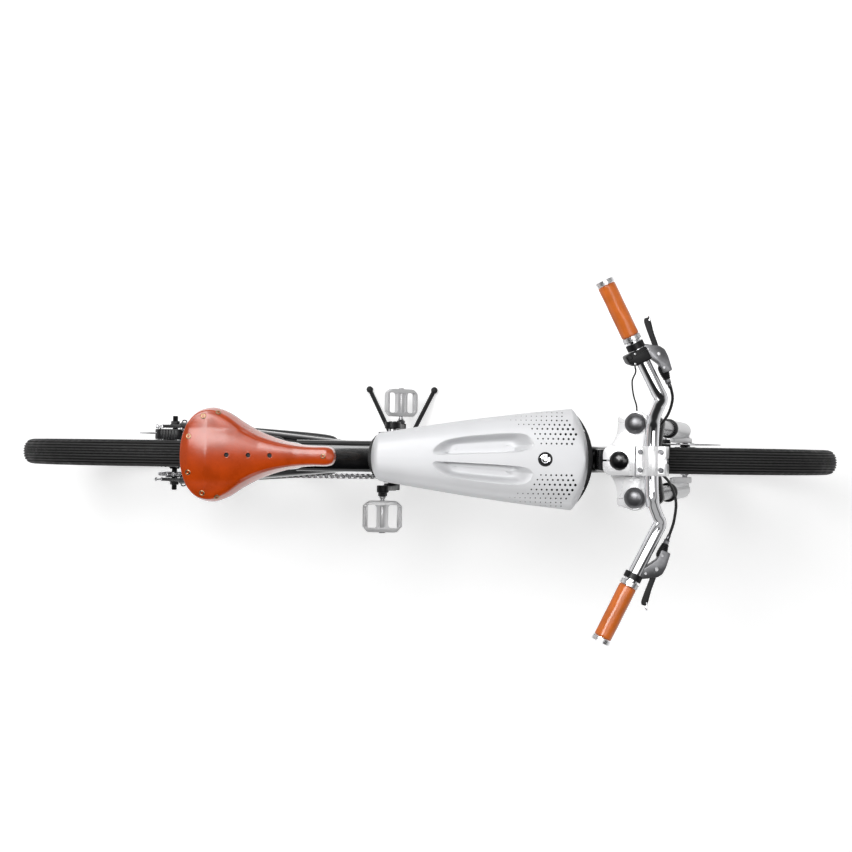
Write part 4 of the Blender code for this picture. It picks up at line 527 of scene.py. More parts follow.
def make_finishes(settings):
    s = settings
    make_leather("saddle_leather", s.saddle, (0.22, 0.030, 0.004), 820, 0.30)
    make_leather("grip_leather", s.grip, (0.30, 0.060, 0.010), 1100, 0.42)

    tree, shader = principled("silver_paint", s.silver, 0.50, 0.20, Coat_Weight=0.0)
    flakes = pattern(tree, "Voronoi", 2600)
    haze = pattern(tree, "Noise", 9, detail=2.0)
    tone = ramp(tree, haze, (0.35, shade(s.silver, 0.965)), (0.7, shade(s.silver, 1.03)))
    tone = mixed(tree, spread(tree, flakes, 0.16, 0.0, 0.0, 0.5), tone, shade(s.silver, 1.3))
    tree.links.new(tone, shader.inputs["Base Color"])
    roughened(tree, shader, haze, 0.47, 0.54, 0.3, 0.7)
    relief(tree, shader, (flakes, 0.05, 0.0002), (pattern(tree, "Noise", 240, detail=2.0), 0.03, 0.0006))

    tree, shader = principled("gloss_black", s.gloss, 0.16, Coat_Weight=0.3, Coat_Roughness=0.05,
                              Specular_IOR_Level=0.4)
    peel = pattern(tree, "Noise", 300, detail=2.0)
    dust = pattern(tree, "Noise", 26, detail=6.0)
    coloured(tree, shader, dust, (0.45, s.gloss), (0.85, shade(s.gloss, 2.2)))
    roughened(tree, shader, dust, 0.12, 0.26, 0.35, 0.8)
    relief(tree, shader, (peel, 0.05, 0.0006))

    tree, shader = principled("satin_black", s.satin, 0.34, Specular_IOR_Level=0.32)
    grit = pattern(tree, "Noise", 900, detail=3.0)
    smear = pattern(tree, "Noise", 40, detail=5.0)
    coloured(tree, shader, smear, (0.4, s.satin), (0.8, shade(s.satin, 1.8)))
    roughened(tree, shader, smear, 0.32, 0.48, 0.3, 0.7)
    relief(tree, shader, (grit, 0.12, 0.0003))

    tree, shader = principled("tyre_rubber", s.rubber, 0.60, Specular_IOR_Level=0.22)
    dust = pattern(tree, "Noise", 48, detail=6.0)
    speck = pattern(tree, "Noise", 700, detail=2.0)
    tone = ramp(tree, dust, (0.40, shade(s.rubber, 0.7)), (0.62, s.rubber), (0.85, shade(s.rubber, 2.4)))
    tone = mixed(tree, spread(tree, speck, 0.0, 0.35, 0.6, 0.75), tone, shade(s.rubber, 4.5))
    # Lighter rubber mixed in by the stored tint: a painted highlight on the rib tops, with painted shade left
    # in the grooves.
    tone = mixed(tree, painted_light_and_wear_of(tree), tone, shade(s.rubber, 8.0))
    tree.links.new(tone, shader.inputs["Base Color"])
    roughened(tree, shader, dust, 0.52, 0.76, 0.3, 0.7)
    relief(tree, shader, (speck, 0.2, 0.0004))

    for name, base, rough, stretch in (
        ("aluminium", s.aluminium, 0.15, (1, 14, 1)), ("turned_aluminium", s.aluminium, 0.24, (14, 1, 14)),
        ("steel", s.steel, 0.30, (1, 10, 1)), ("chrome", s.chrome, 0.045, (1, 1, 1)),
        ("chain_steel", shade(s.steel, 1.25), 0.24, (4, 1, 4)),
    ):
        tree, shader = principled(name, base, rough, 1.0)
        brushed = pattern(tree, "Noise", 260, stretch, 4.0)
        cloud = pattern(tree, "Noise", 22, detail=4.0)
        depth = 0.4 if name == "chrome" else 1.0
        coloured(tree, shader, cloud, (0.3, shade(base, 1 - 0.10 * depth)), (0.75, base))
        roughened(tree, shader, brushed, rough * 0.75, rough * 1.35, 0.3, 0.7)
        relief(tree, shader, (brushed, 0.05 * depth, 0.0003))

    for name, base, rough in (("bright_alloy", s.alloy, 0.27), ("cast_alloy", shade(s.alloy, 0.72), 0.36)):
        tree, shader = principled(name, base, rough, 0.35, Coat_Weight=0.10, Coat_Roughness=0.15)
        cloud = pattern(tree, "Noise", 30, detail=5.0)
        coloured(tree, shader, cloud, (0.3, shade(base, 0.97)), (0.7, base))
        roughened(tree, shader, cloud, rough - 0.02, rough + 0.03, 0.3, 0.7)
        relief(tree, shader, (pattern(tree, "Noise", 300, (1, 8, 1), 3.0), 0.04, 0.0003))

    make_plain("cut_leather", (0.62, 0.36, 0.20), 0.7, 0.0, ("Noise", 700, (1, 1, 4), 5.0),
               (0.3, (0.42, 0.20, 0.10)), (0.7, (0.74, 0.50, 0.34)), (0.3, 0.0005))
    make_plain("black_rubber", (0.006, 0.006, 0.0065), 0.45, 0.0, ("Noise", 600),
               (0.4, (0.005, 0.005, 0.0055)), (0.8, (0.014, 0.014, 0.015)), (0.15, 0.0003),
               Specular_IOR_Level=0.3)
    make_plain("dark_metal", (0.11, 0.11, 0.115), 0.22, 1.0, ("Noise", 30, (1, 1, 1), 4.0),
               (0.3, (0.07, 0.07, 0.075)), (0.7, (0.16, 0.16, 0.165)), (0.05, 0.0003),
               ("Noise", 500, (1, 6, 1), 2.0))
    make_plain("rivet_brass", (0.34, 0.20, 0.10), 0.28, 1.0, ("Noise", 90, (1, 1, 1), 4.0),
               (0.3, (0.20, 0.10, 0.05)), (0.7, (0.46, 0.30, 0.17)), (0.06, 0.0004))
    for name, low, high, rough in (("lever_grey", 0.13, 0.24, 0.34), ("cap_metal", 0.10, 0.17, 0.30)):
        make_plain(name, (high, high, high * 1.03), rough, 0.85, ("Noise", 60, (1, 1, 1), 4.0),
                   (0.3, (low, low, low * 1.04)), (0.7, (high, high, high * 1.04)),
                   (0.05, 0.0003), ("Noise", 600, (1, 1, 1), 2.0))
    # A near-black sheet under the grille holes: painted shade inside them.
    make_plain("speaker_cloth", (0.006, 0.006, 0.006), 0.9, 0.0, ("Voronoi", 1400),
               (0.1, (0.010, 0.010, 0.010)), (0.6, (0.003, 0.003, 0.003)), (0.4, 0.0005))
    make_plain("battery_grey", (0.16, 0.17, 0.18), 0.6, 0.0, ("Noise", 800, (1, 1, 1), 2.0),
               (0.3, (0.13, 0.14, 0.15)), (0.7, (0.19, 0.20, 0.21)), (0.2, 0.0003))


def repaint(node, finish):
    """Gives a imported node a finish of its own."""
    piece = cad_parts[node]
    piece.data.materials.clear()
    piece.data.materials.append(FINISHES[finish])


# Studio

def build_stage(settings):
    """The camera over the bicycle, the soft boxes, the room and the floor."""
    scene = bpy.context.scene
    scene.view_settings.view_transform = "Standard"
    camera = bpy.data.cameras.new("camera")
    camera.lens = settings.lens
    camera.sensor_width = 36.0
    camera.clip_start, camera.clip_end = 0.05, 60.0
    eye = bpy.data.objects.new("camera", camera)
    scene.collection.objects.link(eye)
    roll, tilt = settings.roll, settings.tilt
    right = Vector((cos(roll), sin(roll), 0))
    level = Vector((-sin(roll), cos(roll), 0))
    up = level * cos(tilt) + Vector((0, 0, 1)) * sin(tilt)
    back = right.cross(up)
    eye.matrix_world = Matrix.Translation((settings.camera_x, settings.camera_y,
                                           settings.camera_height)) @ Matrix(
        (right, up, back)).transposed().to_4x4()
    scene.camera = eye

    for name, place, size, power, target in (
        ("key", (-1.10, 0.78, 3.40), (1.10, 1.20), settings.key_power * 1.25, (-0.4, 0.0, 0.8)),
        ("front key", (0.01, 0.78, 3.40), (1.12, 1.20), settings.key_power * 0.36, (0.1, 0.0, 0.8)),
        ("side", (0.2, 2.3, 1.6), (2.6, 0.6), settings.fill_power * 1.1, (0, 0, 0.5)),
        ("bar", (0.95, 0.0, 3.40), (0.9, 1.8), settings.fill_power * 1.1, (0.4, 0, 0.9)),
        ("fill", (0.3, -2.3, 1.3), (3.2, 0.7), settings.fill_power, (0, 0, 0.5)),
    ):
        lamp = bpy.data.lights.new(name, "AREA")
        lamp.shape = "RECTANGLE"
        lamp.size, lamp.size_y = size
        lamp.energy = power
        holder = bpy.data.objects.new(name, lamp)
        holder.matrix_world = Matrix.Translation(place) @ (
            Vector(place) - Vector(target)).to_track_quat("Z", "Y").to_matrix().to_4x4()
        holder.visible_camera = False
        scene.collection.objects.link(holder)

    world = bpy.data.worlds.new("room")
    scene.world = world
    world.use_nodes = True
    tree = world.node_tree
    air = tree.nodes["Background"]
    place = tree.nodes.new("ShaderNodeTexCoord")
    split = tree.nodes.new("ShaderNodeSeparateXYZ")
    tree.links.new(place.outputs["Generated"], split.inputs["Vector"])
    high = split.outputs["Z"]
    dark_side = ramp(tree, high, (0.0, 0.92), (0.20, 0.85), (0.36, 0.22), (0.52, 0.05), (1.0, 0.03))
    bright_side = ramp(tree, high, (0.0, 0.95), (0.24, 0.90), (0.36, 0.16), (0.44, 0.10), (0.54, 0.75),
                       (0.78, 0.80), (0.88, 0.10), (1.0, 0.04))
    sky = mixed(tree, spread(tree, split.outputs["Y"], 0.0, 1.0, -0.30, 0.05), dark_side, bright_side)
    rays = tree.nodes.new("ShaderNodeLightPath")
    tree.links.new(mixed(tree, rays.outputs["Is Camera Ray"], sky, (1.0, 1.0, 1.0)), air.inputs["Color"])
    air.inputs["Strength"].default_value = 0.60

    floor_finish(settings.floor)
    ground = Form("floor").block((-9, 9), (-9, 9), (-0.012, -0.002)).make("floor", None, None)


def floor_finish(base):
    """A pale floor that shows white to the camera and in reflections, and keeps the shadows."""
    tree, shader = principled("floor", base, 0.75)
    grain = pattern(tree, "Noise", 4, detail=2.0)
    coloured(tree, shader, grain, (0.3, shade(base, 0.985)), (0.7, base))
    rays = tree.nodes.new("ShaderNodeLightPath")
    seen = rays.outputs["Is Camera Ray"]
    for kind in ("Is Glossy Ray", "Is Transmission Ray"):
        either = tree.nodes.new("ShaderNodeMath")
        either.operation = "MAXIMUM"
        tree.links.new(seen, either.inputs[0])
        tree.links.new(rays.outputs[kind], either.inputs[1])
        seen = either.outputs[0]
    tree.links.new(spread(tree, seen, 0.0, 0.46), shader.inputs["Emission Strength"])
    shader.inputs["Emission Color"].default_value = (1.0, 1.0, 1.0, 1.0)


# Tank

TANK_LOW, TANK_LENGTH, TANK_WALL = 0.0131, 0.42515, 0.0025
REAR_REACH, FRONT_REACH, SIDE_BULGE = 0.028, 0.040, 0.0035
RIM_FRONT, RIM_REAR = 0.0050, 0.0027
FRONT_HIP, FRONT_RADIUS = 0.15, 0.130
DOME = ((0.0, 0.0), (0.0, 0.22), (0.0, 0.42), (0.012, 0.55), (0.035, 0.665), (0.07, 0.755), (0.12, 0.83),
        (0.19, 0.887), (0.27, 0.93), (0.40, 0.966), (0.55, 0.986), (0.70, 0.996), (0.85, 1.0), (1.0, 1.002))
RECESS_INNER = ((0.0, 0.0105), (0.03, 0.0064), (0.12, 0.0066), (0.5, 0.0095), (0.80, 0.0124), (0.90, 0.0145),
                (0.96, 0.0185), (1.0, 0.0262))
RECESS_OUTER = ((0.0, 0.0112), (0.025, 0.0190), (0.08, 0.0275), (0.16, 0.0345), (0.30, 0.0398), (0.5, 0.0442),
                (0.70, 0.0472), (0.84, 0.0480), (0.92, 0.0455), (0.97, 0.0385), (1.0, 0.0272))
RECESS_START, RECESS_SPAN, RECESS_ROWS = 0.1265, 0.1880, 18
LOCK_AT = 0.3355
SPEAKER_ROWS = (
    (0.0290, 0.3278, 7, 0.84), (0.0378, 0.3215, 8, 0.90), (0.0466, 0.3161, 9, 1.0), (0.0561, 0.3108, 9, 1.0),
    (0.0639, 0.2860, 11, 0.88), (0.0720, 0.2715, 12, 0.74), (0.0798, 0.2625, 12, 0.60),
    (0.0868, 0.3103, 7, 0.50), )


def tank_loop(share, inset_by, settings, count=256, shift=(0.0, 0.0)):
    """The tank's plan outline, drawn in towards its spine by a share and by a wall."""
    quarter = count // 4
    centres = (TANK_LENGTH - FRONT_REACH, REAR_REACH)
    radius = FRONT_RADIUS
    drop = sqrt(radius ** 2 - settings.front_width ** 2)
    front, rear = [], []
    for n in range(quarter + 1):
        turn = pi * (n / quarter - 0.5)
        y = sin(turn) * settings.front_width
        bulge = (sqrt(radius ** 2 - y ** 2) - drop) / (radius - drop)
        bulge = 0.8 * bulge + 0.2 * cos(turn)
        x = bulge * (FRONT_REACH + shift[0] - inset_by)
        front.append(Vector((centres[0] + x * (1 - share * FRONT_HIP),
                             y * (1 - inset_by / settings.front_width) * (1 - share))))
        y = -sin(turn) * (settings.rear_width - inset_by)
        x = -cos(turn) * (REAR_REACH + shift[1] - inset_by)
        rear.append(Vector((centres[1] + x * (1 - share), y * (1 - share))))
    side = []
    for n in range(1, quarter):
        t = n / quarter
        spot = front[-1].lerp(rear[0], t)
        spot.y += SIDE_BULGE * sin(pi * t) * (1 - share)
        side.append(spot)
    return front + side + rear + [Vector((p.x, -p.y)) for p in reversed(side)]


DOME_LINE = [(p.x, p.y) for p in smooth_curve(DOME, 4)]


def half_width(x, settings):
    """Half width of the cover at a distance along its straight part."""
    front, rear = TANK_LENGTH - FRONT_REACH, REAR_REACH
    t = min(1.0, max(0.0, (front - x) / (front - rear)))
    half = settings.front_width + (settings.rear_width - settings.front_width) * t
    return half + SIDE_BULGE * sin(pi * t)


def dome_height(x, y, settings):
    """Height of the cover's skin over a point of its straight part."""
    share = 1 - min(1.0, abs(y) / half_width(x, settings))
    return TANK_LOW + (settings.height - TANK_LOW) * between(DOME_LINE[8:], share)


def recess_outline(side):
    """The hand recess's edge, once round."""
    inner, outer = (smooth_curve(edge, 14) for edge in (RECESS_INNER, RECESS_OUTER))
    ring = inner + list(reversed(outer))
    return evenly([Vector((RECESS_START + RECESS_SPAN * p.x, side * p.y)) for p in ring], 220)


def evenly(points, count):
    """The same closed line with evenly spaced points."""
    points = points + points[:1]
    runs = [0.0]
    for a, b in zip(points, points[1:]):
        runs.append(runs[-1] + (b - a).length)
    made, n = [], 0
    for k in range(count):
        at = runs[-1] * k / count
        while runs[n + 1] < at:
            n += 1
        made.append(points[n].lerp(points[n + 1], (at - runs[n]) / max(1e-9, runs[n + 1] - runs[n])))
    return made


def leaning(height):
    """How far the cover's two ends lean back over the base's rim at a height."""
    high = max(0.0, height - TANK_LOW)
    return -0.0018 - 0.13 * high, -0.0024 - 0.13 * high


def build_tank(settings):
    dome = [(share, TANK_LOW + (settings.height - TANK_LOW) * high) for share, high in DOME_LINE]
    inner_top = settings.height - TANK_WALL
    inner = [(share, TANK_LOW + (inner_top - TANK_LOW) * high) for share, high in DOME_LINE[::2]]
    form = Form("silver_paint")
    loops = [raised(tank_loop(share, TANK_WALL, settings, 256, leaning(z)), z) for share,
             z in reversed(inner)]
    loops += [raised(tank_loop(share, 0.0, settings, 256, leaning(z)), z) for share, z in dome]
    form.skin(loops, caps=False, at=TANK)
    cover = form.make("tank_cover_shell", "tank", "silver_paint", "tank_cover", weld=0.00002)

    tool = Form()
    for side in (LEFT, RIGHT):
        edge = inset(recess_outline(side), 0.0006)
        tool.skin([raised(edge, z) for z in (0.05, 0.13)], at=TANK)
    lock = TANK @ Matrix.Translation((LOCK_AT, 0, 0))
    tool.lathe([(0.0126, 0.06), (0.0126, 0.12)], 40, lock)
    cut(cover, tool, 32)
    drop = surface_of(cover)

    def skin(x, y):
        y = copysign(min(abs(y), half_width(x, settings) - 0.005), y)
        if x < RECESS_START + RECESS_SPAN + 0.004 and abs(y) < 0.056:
            return Vector((x, y, dome_height(x, y, settings)))
        return TANK.inverted() @ drop(*(TANK @ Vector((x, y, 0.09))).to_2d())[0]

    build_speakers(skin)
    tool = Form()
    for side in (LEFT, RIGHT):
        for spot, radius in speaker_holes(settings):
            x, y = spot
            tool.lathe([(radius, 0.03), (radius, 0.13)], 10, TANK @ Matrix.Translation((x, side * y, 0)))
    cut(cover, tool, 32)

    for side, word in SIDES:
        build_recess(side, word, settings)
    build_lock(lock, settings)
    build_pan(settings)
    screws = Form("aluminium")
    for x, y in ((-0.1150, 0.0), (0.2862, 0.0530), (0.2862, -0.0530)):
        spot, normal = drop(x, y)
        screw_head(screws, spot, normal, 0.0029)
    screws.make("tank_screws", "tank", "polished_aluminium")


def speaker_holes(settings):
    """Places and radii of the holes of one grille, in the tank's frame."""
    for y, start, count, size in SPEAKER_ROWS:
        for n in range(count):
            x = start + n * settings.hole_pitch
            share = min(1.0, max(0.0, (x - 0.268) / 0.115))
            yield (x, y), (0.00080 + 0.00172 * share ** 0.9) * size


def screw_head(form, spot, normal, radius):
    """A round screw head with a round sunk socket, proud of a surface."""
    at = aimed(spot - normal * 0.0004, spot + normal)
    h = radius * 0.55
    rim = [(radius * 0.86, 0.0), (radius, 0.0003), (radius, h * 0.6), (radius * 0.86, h), (radius * 0.55, h)]
    form.lathe(rim + [(radius * 0.50, h * 0.25)], 24, at)


def build_recess(side, word, settings):
    """A hand recess: a rolled lip, a steep wall at the ridge, a long slope outside and a soft floor."""
    ring = recess_outline(side)
    end = RECESS_START + RECESS_SPAN
    middle_low, middle_high = RECESS_START + 0.045, end - 0.052
    loops = [[Vector((p.x, p.y, dome_height(p.x, p.y, settings) + rise)) for p in lip] for lip, rise in (
        (inset(ring, -0.0011), -0.0012), (inset(ring, -0.0008), 0.0001), (ring, 0.00025))]
    for k in range(1, RECESS_ROWS + 1):
        t = k / RECESS_ROWS
        row = []
        for p in ring:
            u = (p.x - RECESS_START) / RECESS_SPAN
            low, high = between(RECESS_INNER, u), between(RECESS_OUTER, u)
            width = max(0.0, high - low)
            spine = low + width * 0.34
            target = Vector((min(middle_high, max(middle_low, p.x)), side * (0.0148 + 0.0085 * ease(u))))
            outer = (abs(p.y) - low) / max(width, 1e-5)
            wall = 0.16 + 0.50 * ease((outer - 0.3) / 0.5)
            ends = max(ease((RECESS_START + 0.035 - p.x) / 0.035),
                       ease((p.x - middle_high) / (end - middle_high)))
            wall = wall + (0.85 - wall) * ends
            depth = settings.recess_depth * ease((t + 0.03) / wall) if t < wall else settings.recess_depth
            spot = p.lerp(target, t ** 1.15)
            rest = dome_height(p.x, p.y, settings)
            level = dome_height(p.x, side * spine, settings) * 0.4 + rest * 0.6
            base = rest + (level - rest) * t
            row.append(Vector((spot.x, spot.y, base - depth)))
        loops.append(row)
    form = Form("silver_paint")
    form.skin(loops, caps=False, at=TANK)
    form.make(f"tank_recess_{word}", "tank", "silver_paint", weld=0.00001, sharp=70)


def build_lock(at, settings):
    """The round lock in its dark well, with the key's plug and slot."""
    top = settings.height
    well = Form("satin_black")
    well.lathe([(0.0134, top - 0.004), (0.0134, top + 0.0004), (0.0128, top + 0.0007), (0.0120, top + 0.0002),
                (0.0116, top - 0.006), (0.0060, top - 0.008)], 48, at)
    well.make("lock_well", "tank", "black_satin")
    lock = Form("chrome")
    r = 0.0098
    lock.lathe([(0.0080, top - 0.036), (r, top - 0.034), (r, top + 0.0002), (r - 0.0007, top + 0.0012),
                (r - 0.0030, top + 0.0016), (r - 0.0036, top + 0.0006), (r - 0.0042, top + 0.0008),
                (r - 0.0056, top + 0.0019), (r - 0.0062, top + 0.0020)], 48, at)
    key = lock.make("lock_barrel", "key_lock", "chrome", "key_lock")
    cut(key, Form().block((-0.0030, 0.0030), (-0.0007, 0.0007), (top - 0.002, top + 0.004), at))


def build_pan(settings):
    """The black base, whose rim shows as a band in front of the cover and behind it, and its liner."""
    form = Form("satin_black")
    rim = [(0.40, 0.0048), (0.85, 0.0052), (1.0, 0.0066), (1.0, 0.0114), (0.88, 0.0126), (0.5, 0.0128),
           (-1.0, 0.0128), (-1.1, 0.0084)]
    form.skin([raised(tank_loop(0.0, -0.0004 if by > -0.5 else 0.0045, settings, 128,
                                (RIM_FRONT * max(by, 0.0), RIM_REAR * max(by, 0.0))), z) for by, z in rim],
              at=TANK)
    loops = []
    for share, high in DOME_LINE[::3]:
        if high > 0.52:
            break
        z = 0.0100 + (settings.height - 0.0100) * high * 0.97
        loops.append(raised(tank_loop(share, TANK_WALL + 0.0012, settings, 128), z))
    form.skin(loops, at=TANK)
    form.make("tank_base", "tank", "black_satin", "tank_pan")


def build_speakers(skin):
    """Black cloth close under the grilles, a painted shade that makes the holes read dark, with the
    loudspeakers below it.
    """
    for side, word in SIDES:
        form = Form("speaker_cloth")
        rows = []
        for k in range(11):
            rows.append([skin(0.252 + 0.0142 * k, side * y) - Vector((0, 0, 0.0044))
                         for y in (0.021, 0.032, 0.044, 0.056, 0.066, 0.075, 0.083, 0.0895)])
        for low, high in zip(rows, rows[1:]):
            for n in range(len(low) - 1):
                if low[n].x < RECESS_START + RECESS_SPAN + 0.006 and abs(low[n].y) < 0.055:
                    continue
                base = len(form.points)
                form.points += [TANK @ p for p in (low[n], low[n + 1], high[n + 1], high[n])]
                form.tints += [0.0] * 4
                form.face(base, base + 1, base + 2, base + 3)
        form.make(f"speaker_cloth_{word}", "tank", "black_satin", weld=0.00001)
        repaint(f"loudspeaker_{word}", "satin_black")


# Saddle

SADDLE_PLAN = ((-0.1702, 0.0), (-0.1716, 0.0078), (-0.1758, 0.0142), (-0.187, 0.0180), (-0.215, 0.0188),
               (-0.245, 0.0225), (-0.277, 0.0306), (-0.309, 0.0428), (-0.338, 0.0590), (-0.364, 0.0762),
               (-0.391, 0.0848), (-0.417, 0.0786), (-0.436, 0.0590), (-0.4465, 0.0310), (-0.4492, 0.0))
SADDLE_RISE = ((-0.4492, -0.0050), (-0.434, -0.0010), (-0.400, 0.0012), (-0.364, -0.0008), (-0.309, -0.0050),
               (-0.245, -0.0060), (-0.215, -0.0040), (-0.186, 0.0), (-0.1735, -0.0018), (-0.1672, -0.0045))
SADDLE_DROP = ((-0.4492, 0.015), (-0.434, 0.021), (-0.391, 0.030), (-0.364, 0.036), (-0.338, 0.043),
               (-0.309, 0.047), (-0.277, 0.048), (-0.245, 0.046), (-0.215, 0.042), (-0.186, 0.034),
               (-0.1735, 0.022), (-0.1672, 0.016))
SADDLE_TOP = ((-0.4492, 0.955), (-0.430, 0.945), (-0.391, 0.915), (-0.364, 0.86), (-0.338, 0.79),
              (-0.309, 0.745), (-0.277, 0.74), (-0.245, 0.77), (-0.215, 0.81), (-0.186, 0.84),
              (-0.1672, 0.88))
RIVETS = ((-0.4060, 0.0683), (-0.3800, 0.0755), (-0.4315, 0.0320))
AIR_HOLES = (-0.3633, -0.3252, -0.2873)
NOSE_RIVET = -0.1916
SADDLE_CROWN = 0.0036


def saddle_section(drop, k):
    """Half a section of the leather from its edge to its middle, as (share of half width, depth)."""
    return [(1.0, drop), (k + 0.80 * (1 - k), drop * 0.70), (k + 0.50 * (1 - k), drop * 0.40),
            (k + 0.20 * (1 - k), drop * 0.155), (k * 0.965, drop * 0.045 + 0.0016), (k * 0.86, 0.0016),
            (k * 0.60, 0.0006), (k * 0.30, 0.0001), (0.0, 0.0)]


def saddle_loops(settings, wall):
    """Loops of the skin from its lower edge to the spine."""
    right = [Vector((x, y)) for x, y in SADDLE_PLAN]
    plan = smooth_curve(right + [Vector((p.x, -p.y)) for p in reversed(right[1:-1])], 8, closed=True)
    sections = [smooth_curve(saddle_section(between(SADDLE_DROP, p.x), between(SADDLE_TOP, p.x)),
                             5) for p in plan]
    loops = []
    for row in range(len(sections[0])):
        loop = []
        for p, section in zip(plan, sections):
            share, depth = section[row]
            spine = Vector((min(-0.190, max(-0.385, p.x)), 0))
            spot = spine + (p - spine) * share
            reach = max(0.0, 1 - wall / max((p - spine).length, 0.006)) if wall else 1.0
            spot = spine + (spot - spine) * reach
            crown = SADDLE_CROWN * (1 - min(1.0, (abs(spot.y) / 0.045)) ** 2)
            height = settings.height + between(SADDLE_RISE,
                                               spot.x) - depth - wall * 0.9 - SADDLE_CROWN + crown
            loop.append(Vector((spot.x, spot.y, height)))
        loops.append(loop)
    return loops


def build_saddle(settings):
    outer = saddle_loops(settings, 0.0)
    under = saddle_loops(settings, settings.thickness)
    shares = [row / (len(outer) - 1) for row in range(len(outer))]
    form = Form("saddle_leather", "cut_leather")
    tints = [max(0.0, 0.85 - 9.0 * t) + 0.30 * exp(-((t - 0.50) / 0.06) ** 2) for t in shares]
    form.skin(outer, caps=False, tints=tints)
    form.use("cut_leather")
    form.skin([under[0], outer[0]], caps=False)
    form.skin(under, caps=False)
    leather = form.make("saddle_top", "saddle", "leather", "saddle_leather", weld=0.00002, sharp=60)
    tool = Form()
    for x in AIR_HOLES:
        tool.rod((x, 0, 0.83), (x, 0, 0.93), 0.0042, 24)
    cut(leather, tool, 60)
    drop = surface_of(leather)
    metal = Form("rivet_brass")
    for side in (LEFT, RIGHT):
        for x, y in RIVETS:
            spot, normal = drop(x, side * y)
            rivet(metal, spot, normal, settings.rivet)
    spot, normal = drop(NOSE_RIVET, 0.0)
    rivet(metal, spot, normal, settings.rivet * 0.92)
    metal.make("saddle_rivets", "saddle", "steel")
    rings, shade_discs = Form("saddle_leather"), Form("black_rubber")
    for x in AIR_HOLES:
        spot, normal = drop(x, 0.0062)
        spot.y = 0.0
        loops = []
        for k in range(9):
            turn = pi * k / 8
            radius, high = 0.0053 - 0.0012 * cos(turn), 0.0006 * sin(turn) - 0.0004
            loops.append([spot + Vector((radius * a, radius * b, high)) for a, b in disc(1.0, 32)])
        rings.skin(loops, caps=False)
        # Each black disc under an air hole is painted shade, which makes the hole read dark inside.
        shade_discs.lathe([(0.0040, 0.0), (0.0040, -0.0022), (0.0002, -0.0022)], 24,
                     Matrix.Translation(spot - Vector((0, 0, 0.0046))))
    rings.make("saddle_hole_rims", "saddle", "leather", sharp=80)
    shade_discs.make("saddle_hole_shade_discs", "saddle", "leather")


def rivet(form, spot, normal, radius):
    """A tubular rivet head: a domed ring round a sunk middle."""
    at = aimed(spot - normal * 0.0006, spot + normal)
    profile = [(radius, 0.0), (radius * 0.97, 0.0007), (radius * 0.82, 0.0013), (radius * 0.62, 0.0015),
               (radius * 0.47, 0.0012), (radius * 0.42, 0.0004), (radius * 0.30, 0.0001)]
    form.lathe(profile, 28, at)


# Wheels

TYRE_SIDE = ((0.0125, 0.2797), (0.0150, 0.2850), (0.0205, 0.2905), (0.0254, 0.2970), (0.0268, 0.3035),
             (0.0260, 0.3088), (0.0238, 0.3142), (0.0200, 0.3188), (0.0145, 0.3222), (0.0075, 0.3242),
             (0.0, 0.3248))
TREAD_EDGE, TREAD_LOW, GROOVE_HALF_WIDTH, TREAD_BLOCKS = 0.0222, 0.3030, 0.0015, 118
RIM = ((0.2795, 0.0136), (0.2782, 0.0140), (0.2700, 0.0140), (0.2640, 0.0128), (0.2605, 0.0090),
       (0.2592, 0.0040), (0.2590, 0.0))


def tread_profile(settings):
    """The tyre's outside from bead to bead, with the grooves between the ribs, as (offset, radius, kind)."""
    side = smooth_curve([Vector((y, r)) for y, r in TYRE_SIDE], 4)
    line = sorted([(p.x, p.y) for p in side if p.y > TREAD_LOW])
    wall = [(p.x, p.y, "side") for p in side if p.y <= TREAD_LOW or p.x > TREAD_EDGE]
    crown = []
    width, pitch = GROOVE_HALF_WIDTH, 2 * TREAD_EDGE / settings.grooves
    for n in range(settings.grooves):
        middle = -TREAD_EDGE + pitch * (n + 0.5)
        kind = "middle" if abs(middle) < pitch * 1.1 else "rib"
        for shift, drop in ((-width, 0.0), (-width * 0.55, 1.0), (width * 0.55, 1.0), (width, 0.0)):
            y = middle + shift
            crown.append((y, between(line, abs(y)) - drop * settings.groove_depth,
                          kind if not drop else "groove"))
        y = middle + pitch / 2
        if n + 1 < settings.grooves:
            crown.append((y, between(line, abs(y)) + 0.0001, kind))
    return wall, crown


def build_tyre(word, centre, settings):
    """A tyre with ribs all round, cross cuts in the two middle ribs and notches on the shoulders."""
    wall, crown = tread_profile(settings)
    outside = [(-y, r, k) for y, r, k in wall] + crown + [(y, r, k) for y, r, k in reversed(wall)]
    inside = [(0.0100, 0.2797), (0.0180, 0.2905), (0.0230, 0.2990), (0.0225, 0.3100), (0.0120, 0.3190)]
    inside += [(-y, r) for y, r in reversed(inside)]
    at = about_y(centre)
    loops, tints = [], []
    for y, r, kind in outside + [(y, r, "side") for y, r in inside]:
        loop = []
        for n in range(TREAD_BLOCKS * 4):
            block, part = divmod(n, 4)
            if y > 0:
                block += 0.5
            share = block + (0.0, 0.62, 0.70, 0.92)[part]
            depth = 0.0011 if kind == "middle" and part in (2, 3) else 0.0
            if kind == "side" and 0.0205 < abs(y) < 0.0262 and r > 0.305 and part in (2, 3):
                depth = 0.0008
            loop.append(polar(r - depth, 2 * pi * share / TREAD_BLOCKS, y))
        loops.append(loop)
        # Tints for the lighter rubber: 0.75 on the rib tops as a painted highlight, 0.12 on the walls, none
        # in the grooves as painted shade.
        tints.append({"middle": 0.75, "rib": 0.75, "groove": 0.0}.get(kind, 0.12))
    form = Form("tyre_rubber")
    form.skin(loops, closed=True, at=at, tints=tints)
    form.make(f"{word}_tyre_tread", f"{word}_wheel", "tyre_rubber", f"{word}_tyre", sharp=32)


